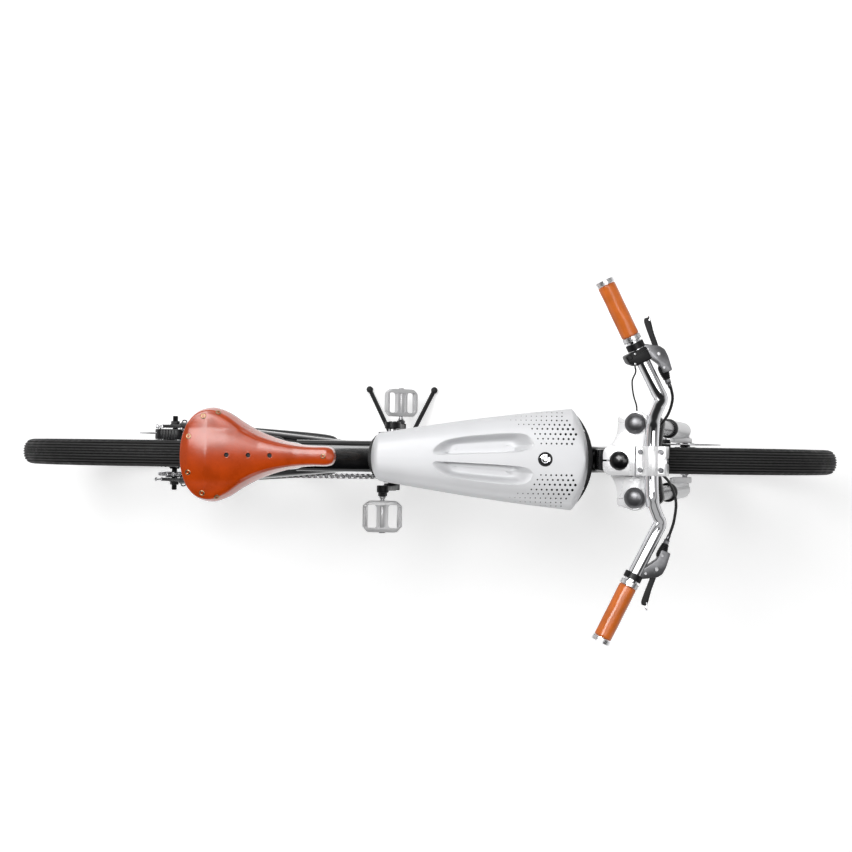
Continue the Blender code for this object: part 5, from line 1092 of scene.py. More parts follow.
def build_rim(word, centre):
    form = Form("aluminium")
    well = [(0.2790, 0.0112), (0.2735, 0.0100), (0.2725, 0.0030)]
    profile = [*RIM, *((r, -y) for r, y in reversed(RIM[:-1])), *((r, -y) for r, y in well), *reversed(well)]
    form.lathe(profile, 144, about_y(centre), closed=True)
    form.make(f"{word}_rim_ring", f"{word}_wheel", "polished_aluminium", f"{word}_rim", sharp=30)


def build_hub(word, centre, flange, offset, shell, end, settings):
    """The hub shell with its flanges, and the crossed spokes with their nipples."""
    form = Form("turned_aluminium" if word == "front" else "satin_black")
    hub = [(0.0072, end), (0.0105, end), (0.0120, offset + 0.0032), (flange - 0.001, offset + 0.0022),
           (flange, offset + 0.0014), (flange, offset - 0.0012), (flange - 0.002, offset - 0.0022),
           (shell + 0.0015, offset - 0.0050), (shell, offset - 0.0090), (shell - 0.0008, 0.0)]
    profile = hub + [(r, -min(y, offset + 0.0070)) for r,
                     y in reversed(hub[:-1])] + [(0.0072, -offset - 0.0070)]
    form.lathe(profile + [(0.0072, end)], 48, about_y(centre))
    if word == "rear":
        for n in range(6):
            y = -0.0125 + 0.005 * n
            form.lathe([(shell - 0.002, y - 0.0008), (shell + 0.0016, y - 0.0008),
                        (shell + 0.0016, y + 0.0008), (shell - 0.002, y + 0.0008)], 48, about_y(centre))
    step, lean = 2 * pi / settings.spokes, radians(40)
    for n in range(settings.spokes):
        side = LEFT if n % 2 else RIGHT
        way = 1 if (n // 2) % 2 else -1
        outer = (n + 0.25) * step
        inner = outer + way * lean
        foot = centre + Vector((cos(inner) * (flange - 0.0035), side * (offset + 0.0018 * way),
                                sin(inner) * (flange - 0.0035)))
        top = centre + Vector((cos(outer) * 0.2595, side * 0.0028, sin(outer) * 0.2595))
        form.use("chrome").rod(foot, top, 0.0010, 8)
        form.lathe([(0.0008, 0.0), (0.0020, 0.0004), (0.0020, 0.0012), (0.0008, 0.0018)], 10,
                   Matrix.Translation(foot + Vector((0, side * way * 0.0010 - 0.0009, 0))) @ Matrix.Rotation(
                       -pi / 2, 4, "X"))
        end_way = (top - foot).normalized()
        form.use("aluminium").rod(top - end_way * 0.012, top + end_way * 0.001, 0.0019, 8, 0.0004)
    form.make(f"{word}_hub_spokes", f"{word}_wheel", "polished_aluminium", f"{word}_hub_and_spokes")


def build_rotor(word, centre, y):
    """The brake disc: a drilled band on six leaned arms, and its six bolts."""
    at = about_y(centre + Vector((0, y, 0)))
    form = Form("steel")
    half = 0.0009
    turns = [2 * pi * n / 144 for n in range(144)]
    outer = [polar(0.0795 + 0.0007 * cos(12 * a), a) for a in turns]
    inner = [polar(0.0655, a) for a in turns]
    rows = ((inner, -half), (inner, half), (outer, half), (outer, -half))
    form.skin([raised(ring, h) for ring, h in rows], closed=True, at=at)
    disc_band = form.make(f"{word}_brake_disc", f"{word}_wheel", "steel", f"{word}_brake_rotor")
    tool = Form()
    for n in range(24):
        for radius, shift, size in ((0.0765, 0.0, 0.0016), (0.0725, 0.32, 0.0019), (0.0688, 0.64, 0.0016)):
            tool.lathe([(size, -0.004), (size, 0.004)], 10,
                       at @ Matrix.Translation(polar(radius, 2 * pi * (n + shift) / 24, 0)))
    cut(disc_band, tool)
    carrier = Form("satin_black")
    carrier.lathe([(0.0108, -half), (0.0235, -half), (0.0235, half), (0.0108, half)], 48, at, closed=True)
    for n in range(6):
        a = 2 * pi * n / 6
        path = [(0.0215, a), (0.040, a + 0.16), (0.056, a + 0.40), (0.0672, a + 0.62)]
        left, right = [], []
        for radius, turn in path:
            spot = polar(radius, turn)
            across = Vector((-sin(turn), cos(turn))) * (0.0052 - 0.035 * (radius - 0.0215))
            left.append(spot + across)
            right.append(spot - across)
        carrier.plate([*left, *reversed(right)], -half, half, at)
        spot = at @ Matrix.Translation(polar(0.0190, a + 0.5, half))
        carrier.use("steel").lathe(
            [(0.0030, 0.0), (0.0030, 0.0016), (0.0024, 0.0022), (0.0014, 0.0022), (0.0012, 0.0008)], 14, spot)
        carrier.use("satin_black")
    carrier.make(f"{word}_disc_carrier", f"{word}_wheel", "black_satin")


def build_axle(word, body, centre, half, seat):
    """The axle with its nuts, washers and threads."""
    form = Form("satin_black" if word == "rear" else "steel")
    profile = [(0.0045, -half), (0.0058, -half + 0.0012)]
    for k in range(12):
        y = -half + 0.0020 + 0.0012 * k
        profile += [(0.0060, y), (0.0055, y + 0.0006)]
    profile += [(0.0059, -seat + 0.002), (0.0059, seat - 0.002)]
    profile += [(r, -y) for r, y in reversed(profile[:-2])]
    form.lathe(profile, 24, about_y(centre))
    for side in (LEFT, RIGHT):
        at = about_y(centre, side)
        form.lathe([(0.0061, seat), (0.0118, seat), (0.0118, seat + 0.0012), (0.0061, seat + 0.0012)], 32, at)
        form.lathe([(0.0092, seat + 0.0012), (0.0100, seat + 0.0022), (0.0100, seat + 0.0072),
                    (0.0090, seat + 0.0084), (0.0060, seat + 0.0084)], 6, at)
    form.make(f"{word}_axle_bolt", body, "steel", f"{word}_axle", sharp=28)


def build_wheels(settings):
    for word, centre in WHEELS:
        build_tyre(word, centre, settings)
        build_rim(word, centre)
    build_hub("front", FRONT_AXLE, 0.0245, 0.0270, 0.0150, 0.0342, settings)
    build_hub("rear", REAR_AXLE, 0.0330, 0.0290, 0.0270, 0.0427, settings)
    build_rotor("front", FRONT_AXLE, 0.0355)
    build_rotor("rear", REAR_AXLE, 0.0440)
    build_axle("front", "fork_lower", FRONT_AXLE, 0.0620, 0.0504)
    build_axle("rear", "frame", REAR_AXLE, 0.0840, 0.0639)


# Frame

def ahead(x, y, z):
    return FRONT_AXLE + Vector((x, y, z))


def behind(x, y, z):
    return REAR_AXLE + Vector((x, y, z))


def beam_top(x):
    """Height of the beam's top face at a place along the bicycle."""
    return BEAM_TOP + (x - BEAM_START) * tan(BEAM_LEAN)


def seat_line(z):
    """A point of the seat tube's centre line at a height."""
    return Vector((BRACKET.x - (z - BRACKET.z) / tan(SEAT_LEAN), 0, z))


def tube_shape(form, stations, steps=6, square=3.0):
    """A tube of soft oblong section through stations of (x, y, z, width, height)."""
    line = smooth_curve(stations, steps)
    loops = []
    for n, p in enumerate(line):
        a, b = line[max(n - 1, 0)], line[min(n + 1, len(line) - 1)]
        along = Vector((b[0] - a[0], b[1] - a[1], b[2] - a[2])).normalized()
        side = (Vector((0, 1, 0)) - along * along.y).normalized()
        up = side.cross(along)
        loop = []
        for k in range(40):
            turn = 2 * pi * k / 40
            w, h = power(cos(turn), 2 / square) * p[3] / 2, power(sin(turn), 2 / square) * p[4] / 2
            loop.append(Vector(p[:3]) + side * w + up * h)
        loops.append(loop)
    form.skin(loops)


def weld_bead(form, centre, normal, width, height, size=0.0016, square=3.0):
    """A rippled weld round a tube's end."""
    at = aimed(centre, centre + normal)
    path = []
    for k in range(72):
        turn = 2 * pi * k / 72
        path.append(at @ Vector((power(cos(turn), 2 / square) * width / 2,
                                 power(sin(turn), 2 / square) * height / 2, 0)))
    loops = []
    for n, p in enumerate(path):
        along = (path[(n + 1) % 72] - path[n - 1]).normalized()
        out = (p - centre).normalized()
        up = along.cross(out).normalized()
        r = size * (1.0 + 0.22 * cos(n * pi))
        loops.append([p + out * r * cos(a) + up * r * sin(a) for a in (pi * m / 4 for m in range(8))])
    form.skin(loops, closed=True)


def build_frame():
    form = Form("gloss_black")
    form.lathe([(0.0150, HEAD_LOW), (0.0218, HEAD_LOW), (0.0238, HEAD_LOW + 0.002),
                (0.0238, HEAD_LOW + 0.012), (0.0226, HEAD_LOW + 0.020), (0.0226, HEAD_HIGH - 0.020),
                (0.0238, HEAD_HIGH - 0.012), (0.0238, HEAD_HIGH - 0.002), (0.0218, HEAD_HIGH),
                (0.0150, HEAD_HIGH)], 56, STEERING,
               closed=True)
    low = steered(0, 0, HEAD_LOW + 0.052)
    stations = [(low.x - 0.008, 0, low.z - 0.004, 0.044, 0.062)]
    for x, height, width in ((0.3225, 0.062, 0.052), (0.140, 0.058, 0.062), (0.0, 0.058, 0.062),
                             (-0.150, 0.058, 0.062), (-0.262, 0.058, 0.062)):
        stations.append((x, 0, beam_top(x) - height / 2, width, height))
    tube_shape(form, stations, square=5.0)
    tube_shape(form, [
        (low.x - 0.010, 0, low.z - 0.004, 0.046, 0.052), (*ahead(-0.2355, 0, 0.3886), 0.050, 0.056),
        (*ahead(-0.3305, 0, 0.2776), 0.056, 0.060), (BRACKET.x + 0.147, 0, BRACKET.z + 0.145, 0.062, 0.064),
        (BRACKET.x + 0.053, 0, BRACKET.z + 0.049, 0.062, 0.070)], square=4.0)
    block = rounded([ahead(x, 0, z).xz for x, z in (
        (-0.2660, 0.3876), (-0.2105, 0.4316), (-0.2165, 0.5116), (-0.2660, 0.4836))], 0.008)
    form.plate(block, -0.0205, 0.0205, upright(), 0.003)
    bottom, top = seat_line(0.3256), seat_line(0.7376)
    form.rod(bottom, top, 0.0180, 48, 0.001)
    cradle = [BRACKET.xz + Vector(p) for p in arc((0, 0), 0.0743, -5, 185, 44)]
    cradle += [BRACKET.xz + Vector(p) for p in arc((0, 0), 0.0664, 185, -5, 44)]
    form.plate(cradle, -0.031, 0.031, upright(), 0.0012)
    for side in (LEFT, RIGHT):
        tube_shape(form, [(-0.170, side * 0.0225, beam_top(-0.170) - 0.026, 0.017, 0.046),
                          (-0.270, side * 0.0330, 0.6116, 0.017, 0.036),
                          (-0.400, side * 0.0475, 0.5030, 0.016, 0.029),
                          (*behind(0.030, side * 0.0615, 0.0496), 0.015, 0.023)], 8)
        tube_shape(form, [(BRACKET.x - 0.068, side * 0.0205, 0.2916, 0.018, 0.030),
                          (-0.212, side * 0.0290, 0.2886, 0.017, 0.028),
                          (-0.262, side * 0.0420, 0.2916, 0.016, 0.026),
                          (*behind(0.034, side * 0.0620, -0.004), 0.015, 0.022)], 8)
        plate = [(0.050, -0.014), (0.050, 0.034), (0.026, 0.062), (0.004, 0.040), (-0.024, 0.018),
                 (-0.024, AXLE_SLOT), *arc((0.008, 0.0), AXLE_SLOT, 90, -90, 8), (-0.024, -AXLE_SLOT),
                 (-0.022, -0.018), (0.004, -0.022)]
        outline = [(REAR_AXLE + Vector((x, 0, z))).xz for x, z in plate]
        form.plate(outline, side * 0.060 - 0.0035, side * 0.060 + 0.0035, upright(), 0.0008)
        for spot, size in ((behind(0.0315, side * 0.0612, 0.052), 0.024),
                           (behind(0.042, side * 0.0615, -0.004), 0.022)):
            weld_bead(form, spot, (Vector((-0.170, side * 0.03, 0.65)) - spot).normalized(), size, 0.0150,
                      0.0013)
    weld_bead(form, (bottom + top) / 2 + (top - bottom) * 0.32, (top - bottom).normalized(), 0.037, 0.037,
              0.0017, 2.0)
    weld_bead(form, steered(-0.022, 0, HEAD_LOW + 0.055), (steered(-1, 0, 0.5) - steered(0, 0, 0.5)), 0.050,
              0.062)
    form.block((0.05, 0.33), (-0.016, 0.016), (-0.003, 0.0044), TANK)
    form.make("frame_shell", "frame", "black_gloss", "frame")

    bolts = Form("steel")
    for side in (LEFT, RIGHT):
        y, z = side * 0.060, 0.0122
        bolts.rod(behind(-0.015, y, z), behind(-0.040, y, z), 0.0024, 12)
        bolts.rod(behind(-0.036, y, z), behind(-0.041, y, z), 0.0046, 6, 0.0006)
        bolts.rod(behind(-0.0240, y, z), behind(-0.0275, y, z), 0.0048, 6, 0.0006)
    bolts.make("chain_tensioners", "frame", "steel")


def build_motor():
    """The drive unit with cooling ribs round it, bolted side covers and the stand's pivot."""
    form = Form("satin_black")
    at = about_y(BRACKET)
    profile = [(0.0106, -0.040), (0.030, -0.040), (0.034, -0.036), (0.0345, -0.0345), (0.054, -0.0345),
               (0.060, -0.0310)]
    for k in range(9):
        y = -0.0260 + k * 0.0058
        profile += [(0.0656, y), (0.0660, y + 0.0008), (0.0660, y + 0.0030), (0.0656, y + 0.0036),
                    (0.0628, y + 0.0040), (0.0628, y + 0.0054)]
    profile += [(0.0600, 0.0310), (0.054, 0.0345), (0.0345, 0.0345), (0.034, 0.036), (0.034, 0.040),
                (0.028, 0.040), (0.028, 0.0555), (0.0106, 0.0555)]
    form.lathe(profile, 96, at, closed=True)
    form.use("steel")
    for side in (LEFT, RIGHT):
        for n in range(8):
            spot = about_y(BRACKET, side) @ Matrix.Translation(polar(0.0475, 2 * pi * (n + 0.5) / 8, 0.0343))
            form.lathe([(0.0034, 0.0), (0.0034, 0.0020), (0.0027, 0.0028), (0.0016, 0.0028),
                        (0.0014, 0.0010)], 16, spot)
    form.make("drive_unit", "frame", "black_satin", "motor", sharp=26)


def build_headset():
    form = Form("turned_aluminium")
    for low in (HEAD_LOW - 0.0103, HEAD_HIGH + 0.0003):
        form.lathe([(0.0146, low), (0.0238, low), (0.0250, low + 0.0012), (0.0250, low + 0.0038),
                    (0.0240, low + 0.0046), (0.0236, low + 0.0052), (0.0242, low + 0.0062),
                    (0.0236, low + 0.0092), (0.0226, low + 0.0100),
                    (0.0146, low + 0.0100)], 56, STEERING, closed=True)
    form.make("headset", "frame", "polished_aluminium", "lower_headset_cup", "upper_headset_cup")
    collar = Form("satin_black")
    base = seat_line(0.7176)
    lean = Matrix.Translation(base) @ Matrix.Rotation(SEAT_LEAN - pi / 2, 4, "Y")
    collar.lathe([(0.0183, 0.0), (0.0216, 0.0), (0.0223, 0.0008), (0.0223, 0.0172), (0.0216, 0.0180),
                  (0.0183, 0.0180)], 48, lean, closed=True)
    for side in (LEFT, RIGHT):
        lug = rounded([(-0.034, side * 0.0012), (-0.0195, side * 0.0012), (-0.0195, side * 0.0085),
                       (-0.034, side * 0.0085)], 0.002)
        collar.plate(lug, 0.002, 0.016, lean, 0.0006)
    ends = [lean @ Vector((-0.0285, y, 0.009)) for y in (-0.013, 0.013)]
    collar.use("steel").rod(*ends, 0.0024, 16)
    collar.rod(ends[0], lean @ Vector((-0.0285, -0.0085, 0.009)), 0.0044, 20, 0.0008)
    collar.rod(ends[1], lean @ Vector((-0.0285, 0.0085, 0.009)), 0.0044, 6, 0.0006)
    collar.make("seat_clamp_ring", "frame", "black_satin", "seat_collar")


# Fork and stem

CROWN_MIDDLE, SLIT, BAR_BORE = 0.030, 0.0006, 0.0122


def leg_at(side):
    return STEERING @ Matrix.Translation((LEG_X, side * LEG_Y, 0))


def crown_form(form, low, lobe, front, edge):
    """A fork crown: two lobes round the legs, a bulge round the steerer and concave backs."""
    if low == UPPER_CROWN:
        left = arc((LEG_X, LEG_Y), lobe, 20, 118, 14)
        left += [(-0.0107, 0.0795), (-0.0112, 0.0529), (-0.0128, 0.0465), (-0.0150, 0.0405),
                 (-0.0194, 0.0316), (-0.0240, 0.0262)]
        back = arc((0, 0), CROWN_MIDDLE, 146, 214, 10)
    else:
        left = arc((LEG_X, LEG_Y), lobe, 20, 190, 20)
        back = [(-0.010, 0.0395), (-0.0165, 0.0285)] + arc((0, 0), CROWN_MIDDLE, 140, 220, 12) + [
            (-0.0165, -0.0285), (-0.010, -0.0395)]
    outline = left + back + [(x, -y) for x, y in reversed(left)]
    outline += [(front + 0.003, -0.046), (front, -0.030), (front, 0.030), (front + 0.003, 0.046)]
    form.plate(evenly([Vector(p) for p in rounded(outline, 0.0030)], 260), low, low + CROWN_DEPTH, STEERING,
               edge)


def socket_bolt(form, start, end, radius, finish="dark_metal"):
    """A cap screw with a hexagon socket in its head."""
    form.use(finish)
    high = (Vector(end) - Vector(start)).length
    at = aimed(start, end)
    form.lathe([(radius, 0.0), (radius, high - 0.0006), (radius - 0.0006, high), (radius * 0.62, high)], 24,
               at)
    form.lathe([(radius * 0.62, high + 0.00002), (radius * 0.56, high * 0.35)], 6, at)


def build_fork():
    for name, finish, slot, low, lobe, front, edge in (
            ("lower_crown", "satin_black", "black_satin", LOWER_CROWN, 0.0215, 0.034, 0.0018),
            ("upper_crown", "bright_alloy", "polished_aluminium", UPPER_CROWN, 0.0225, 0.036, 0.0016)):
        form = Form(finish)
        crown_form(form, low, lobe, front, edge)
        for side in (LEFT, RIGHT):
            start, way = Vector((-0.0080, side * 0.0445, low)), Vector((-0.0055, 0, 0))
            if low == UPPER_CROWN:
                start, way = Vector((-0.0040, side * 0.0770, low)), Vector((0, side * 0.0042, 0))
            for height in (0.007, 0.017):
                spot = start + Vector((0, 0, height))
                socket_bolt(form, STEERING @ spot, STEERING @ (spot + way), 0.0034)
        piece = form.make(f"{name}_body", "steering", slot, name, sharp=34)
        for side in (LEFT, RIGHT):
            middle = LEG_Y + 0.001
            cut(piece, Form().block((-0.020, LEG_X), (side * (middle - SLIT), side * (middle + SLIT)),
                                    (low - 0.01, low + 0.04), STEERING), 34)
    steerer = Form("steel")
    steerer.lathe([(0.0142, LOWER_CROWN - 0.001), (0.0142, STEM_HIGH - 0.001)], 40, STEERING)
    steerer.lathe([(0.0205, HEAD_HIGH + 0.0105), (0.0205, UPPER_CROWN - 0.0003)], 40, STEERING)
    steerer.make("steerer", "steering", "steel", "steerer_tube")

    for side, word in SIDES:
        at = leg_at(side)
        tube = Form("dark_metal")
        cap = STEM_LOW
        tube.lathe([(0.0149, 0.1352), (0.0149, cap)], 56, at)
        tube.use("aluminium").lathe([(0.0190, cap - 0.0002), (0.0196, cap + 0.0006), (0.0196, cap + 0.0022),
                                     (0.0186, cap + 0.0030)], 56, at)
        dome = [(0.0187, cap + 0.0026), (0.0184, cap + 0.0044), (0.0172, cap + 0.0062),
                (0.0152, cap + 0.0080), (0.0120, cap + 0.0096), (0.0080, cap + 0.0107),
                (0.0040, cap + 0.0113), (0.0010, cap + 0.0114)]
        tube.use("cap_metal").lathe(dome, 56, at)
        tube.make(f"fork_stanchion_{word}", "steering", "chrome", f"fork_tube_{word}", sharp=24)

        leg = Form("cast_alloy")
        leg.lathe([(0.0070, 0.0125), (0.0105, 0.0135), (0.0118, 0.0160), (0.0170, 0.0320), (0.0184, 0.0480),
                   (0.0185, 0.0900), (0.0183, 0.1700), (0.0183, 0.2300), (0.0198, 0.2325), (0.0200, 0.2350),
                   (0.0200, 0.2430), (0.0194, 0.2448), (0.0172, 0.2452), (0.0158, 0.2440), (0.0158, 0.0830),
                   (0.0020, 0.0820)], 56, at)
        leg.use("satin_black").lathe([(0.0153, 0.2453), (0.0199, 0.2430), (0.0203, 0.2440), (0.0202, 0.2462),
                                      (0.0190, 0.2484), (0.0162, 0.2492), (0.0153, 0.2492)], 48, at,
                                     closed=True)
        socket_bolt(leg, steered(LEG_X, side * LEG_Y, 0.0135), steered(LEG_X, side * LEG_Y, 0.0085), 0.0060)
        x, low, high = LEG_X, LEG_X - AXLE_SLOT, LEG_X + AXLE_SLOT
        outline = [(x - 0.014, -0.018), (low, -0.018), (low, 0.002),
                   *arc((x, 0.0), AXLE_SLOT, 180, 0, 8)[1:-1], (high, 0.002), (high, -0.018),
                   (x + 0.012, -0.018), (x + 0.016, 0.004), (x + 0.012, 0.050), (x - 0.004, 0.130),
                   (x - 0.014, 0.132), (x - 0.020, 0.040)]
        leg.use("cast_alloy").plate(rounded(outline, 0.0030, 3), side * 0.0390, side * 0.0500,
                                    STEERING @ upright(), 0.0010)
        leg.make(f"fork_leg_{word}", "fork_lower", "polished_aluminium", f"fork_slider_{word}", sharp=30)


def build_stem():
    """The stem with its slit and clamp, the bolted cap over the bar and the dome on the steerer."""
    w, rear, front, corner = 0.0258, -0.0290, 0.0805, 0.0140
    outline = [(front, -w), (front, -0.006), (front - 0.0035, -0.004), (front - 0.0035, 0.004),
               (front, 0.006), (front, w)]
    outline += arc((rear + corner, w - corner), corner, 90, 180, 8)
    outline += arc((rear + corner, corner - w), corner, 180, 270, 8)
    form = Form("bright_alloy")
    form.plate(rounded(outline, 0.0012, 3), STEM_LOW, STEM_HIGH, STEERING, 0.0012)
    stem = form.make("stem_body", "steering", "polished_aluminium", "stem", sharp=30)
    through = (STEM_LOW - 0.01, STEM_HIGH + 0.01)
    ends = [steered(BAR_REACH, y, BAR_HEIGHT) for y in (-0.05, 0.05)]
    for tool in (Form().block((0.0268, 0.09), (-0.04, 0.04), (BAR_HEIGHT - 0.0005, BAR_HEIGHT + 0.03),
                              STEERING),
                 Form().lathe([(0.0146, z) for z in through], 40, STEERING),
                 Form().rod(*ends, BAR_BORE, 40),
                 Form().block((-0.034, -0.008), (-0.0016, 0.0016), through, STEERING)):
        cut(stem, tool, 30)
    bolts = Form()
    for height in (0.009, 0.027):
        socket_bolt(bolts, steered(-0.0165, 0.0165, STEM_LOW + height),
                    steered(-0.0165, 0.0258, STEM_LOW + height), 0.0036)
    bolts.make("stem_bolts", "steering", "black_satin")

    at = STEERING @ Matrix.Translation((BAR_REACH, 0, BAR_HEIGHT))
    hump, half = 0.0160, 0.0265
    profile = [(-half, 0.0005), (-BAR_BORE, 0.0005)] + arc((0, 0), BAR_BORE, 178, 2, 24) + [(half, 0.0005)]
    profile += [(half, 0.0070), (half - 0.0020, 0.0092), (0.0150, 0.0092)] + arc((0, 0), hump, 40, 140, 20)
    profile += [(-0.0150, 0.0092), (-half + 0.0020, 0.0092), (-half, 0.0070)]
    cap = Form("bright_alloy")
    cap.plate(profile, -w, w, at @ upright(), 0.0010)
    clamp = cap.make("stem_cap_plate", "steering", "polished_aluminium", "handlebar_clamp", sharp=28)
    tool = Form()
    for x, back, half in ((0.0225, 0.02, 0.0036), (-0.0212, 0.0030, 0.0042)):
        tool.block((x, x + back), (-half, half), (0.0062, 0.03), at)
    heads = Form()
    for x in (-0.0178, 0.0178):
        for y in (-0.0156, 0.0156):
            tool.lathe([(0.0056, 0.0078), (0.0056, 0.0200)], 32, at @ Matrix.Translation((x, y, 0)))
            socket_bolt(heads, at @ Vector((x, y, 0.0075)), at @ Vector((x, y, 0.0122)), 0.0044)
    cut(clamp, tool, 28)
    heads.make("clamp_bolts", "steering", "black_satin")
    dome = Form("gloss_black")
    h = STEM_HIGH + 0.0003
    dome.lathe([(0.0150, h), (0.0164, h + 0.0006), (0.0166, h + 0.0024), (0.0160, h + 0.0036),
                (0.0146, h + 0.0050), (0.0118, h + 0.0064), (0.0080, h + 0.0075), (0.0040, h + 0.0081),
                (0.0010, h + 0.0082)], 56, STEERING)
    dome.make("steerer_dome", "steering", "black_gloss", "stem_cap", sharp=24)


# Bar, grips and levers

GRIP_START, GRIP_END = (-0.2385, 0.2050, 0.6426), (-0.2910, 0.3080, 0.6506)
ELBOW = (-0.1985, 0.1280, 0.6367)
BENDS = ((-0.1962, 0.0640, 0.6086), (-0.1950, 0.0800, 0.6160), (-0.1905, 0.0960, 0.6245),
         (-0.1877, 0.1085, 0.6310))
LEVER = {"pivot": (-0.1955, 0.1830, 0.6386), "barrel": (-0.1775, 0.1410, 0.6336),
         "tip": (-0.2160, 0.2450, 0.6426)}
HOUSING = ((-0.2235, 0.1870), (-0.2112, 0.1790), (-0.1935, 0.1665), (-0.1862, 0.1500), (-0.1715, 0.1560),
           (-0.1790, 0.1800), (-0.1850, 0.1915), (-0.1935, 0.1970), (-0.2215, 0.2005))
CORE = ((-0.2215, 0.1860), (-0.2112, 0.1790), (-0.1935, 0.1665), (-0.1862, 0.1500), (-0.1715, 0.1560),
        (-0.1768, 0.1700), (-0.1990, 0.1720), (-0.2090, 0.1860))
HOSE_RADIUS, WIRE_RADIUS = 0.0025, 0.0014


def on_side(side, point):
    return ahead(point[0], side * point[1], point[2])


def grip_line(side):
    start = on_side(side, GRIP_START)
    return start, (on_side(side, GRIP_END) - start).normalized()


def build_bar():
    middle = steered(BAR_REACH, 0, BAR_HEIGHT)
    half = [middle + Vector((0, 0.018, 0)), middle + Vector((0, 0.036, 0))]
    half += [ahead(*p) for p in BENDS] + [ahead(*ELBOW)]
    start, along = grip_line(LEFT)
    half += [start, start + along * 0.05, start + along * 0.112]
    path = smooth_curve(half, 8)
    path = [Vector((p.x, -p.y, p.z)) for p in reversed(path)] + path
    bar = Form("chrome")
    bar.sweep(path, disc(0.0119, 32))
    for side in (LEFT, RIGHT):
        start, along = grip_line(side)
        at = aimed(start, start + along)
        for low, last in ((0.0, False), (0.1061, True)):
            profile = [(0.0112, low), (0.0150, low), (0.0160, low + 0.0007)]
            for k in range(3):
                z = low + 0.0012 + k * 0.0025
                profile += [(0.0164, z), (0.0164, z + 0.0014), (0.0155, z + 0.0017), (0.0155, z + 0.0022)]
            profile += [(0.0160, low + 0.0085), (0.0150, low + 0.0090)]
            end = [(0.0090, low + 0.0096), (0.0020, low + 0.0098)] if last else [(0.0112, low + 0.0090)]
            bar.use("turned_aluminium").lathe(profile + end, 48, at)
    bar.make("bar_tube", "steering", "chrome", "handlebar", sharp=30)


def build_grips():
    """Leather sewn round the bar: soft ends, a lengthwise seam below with its stitches, fine creases."""
    for side, word in SIDES:
        start, along = grip_line(side)
        at = aimed(start + along * 0.0093, start + along)
        loops, tints = [], []
        rng = random.Random(7 + side)
        waves = [(rng.uniform(0, 6.28), rng.uniform(60, 160)) for _ in range(5)]
        profile = [(0.0119, 0.0), (0.0136, 0.0001), (0.0147, 0.0006), (0.0151, 0.0016)]
        profile += [(0.0152, 0.0016 + 0.0933 * n / 48) for n in range(1, 48)]
        profile += [(0.0151, 0.0949), (0.0147, 0.0959), (0.0136, 0.0964), (0.0119, 0.0965)]
        for radius, height in profile:
            loop = []
            for n in range(72):
                turn = 2 * pi * n / 72
                swell = sum(sin(a + b * height + k * turn) for k, (a, b) in enumerate(waves)) * 0.00007
                seam = 0.0008 * exp(-((degrees(turn) - 250) / 4.0) ** 2)
                r = radius + (swell - seam if 0.0015 < height < 0.095 else 0.0)
                loop.append(polar(r, turn, height))
            loops.append(loop)
            tints.append(0.55 * exp(-min(height, 0.0965 - height) / 0.0022))
        form = Form("grip_leather")
        form.skin(loops, caps=False, at=at, tints=tints)
        form.use("cut_leather")
        for n in range(22):
            height = 0.005 + n * 0.0041
            for edge in (246, 254):
                ends = [at @ polar(0.0151, radians(edge), z) for z in (height, height + 0.0024)]
                form.rod(*ends, 0.00042, 6, 0.0001)
        form.make(f"grip_wrap_{word}", "steering", "leather", f"grip_{word}", sharp=50)


def housing(form, side, outline, low, high):
    """A flat cheek of the lever's housing, from places ahead of the front axle."""
    points = [on_side(side, (x, y, 0)) for x, y in outline]
    flat = rounded([p.xy for p in points], 0.0025, 3)
    if side == RIGHT:
        flat.reverse()
    middle = on_side(side, LEVER["pivot"]).z
    form.plate(flat, middle + low, middle + high, None, 0.0010)


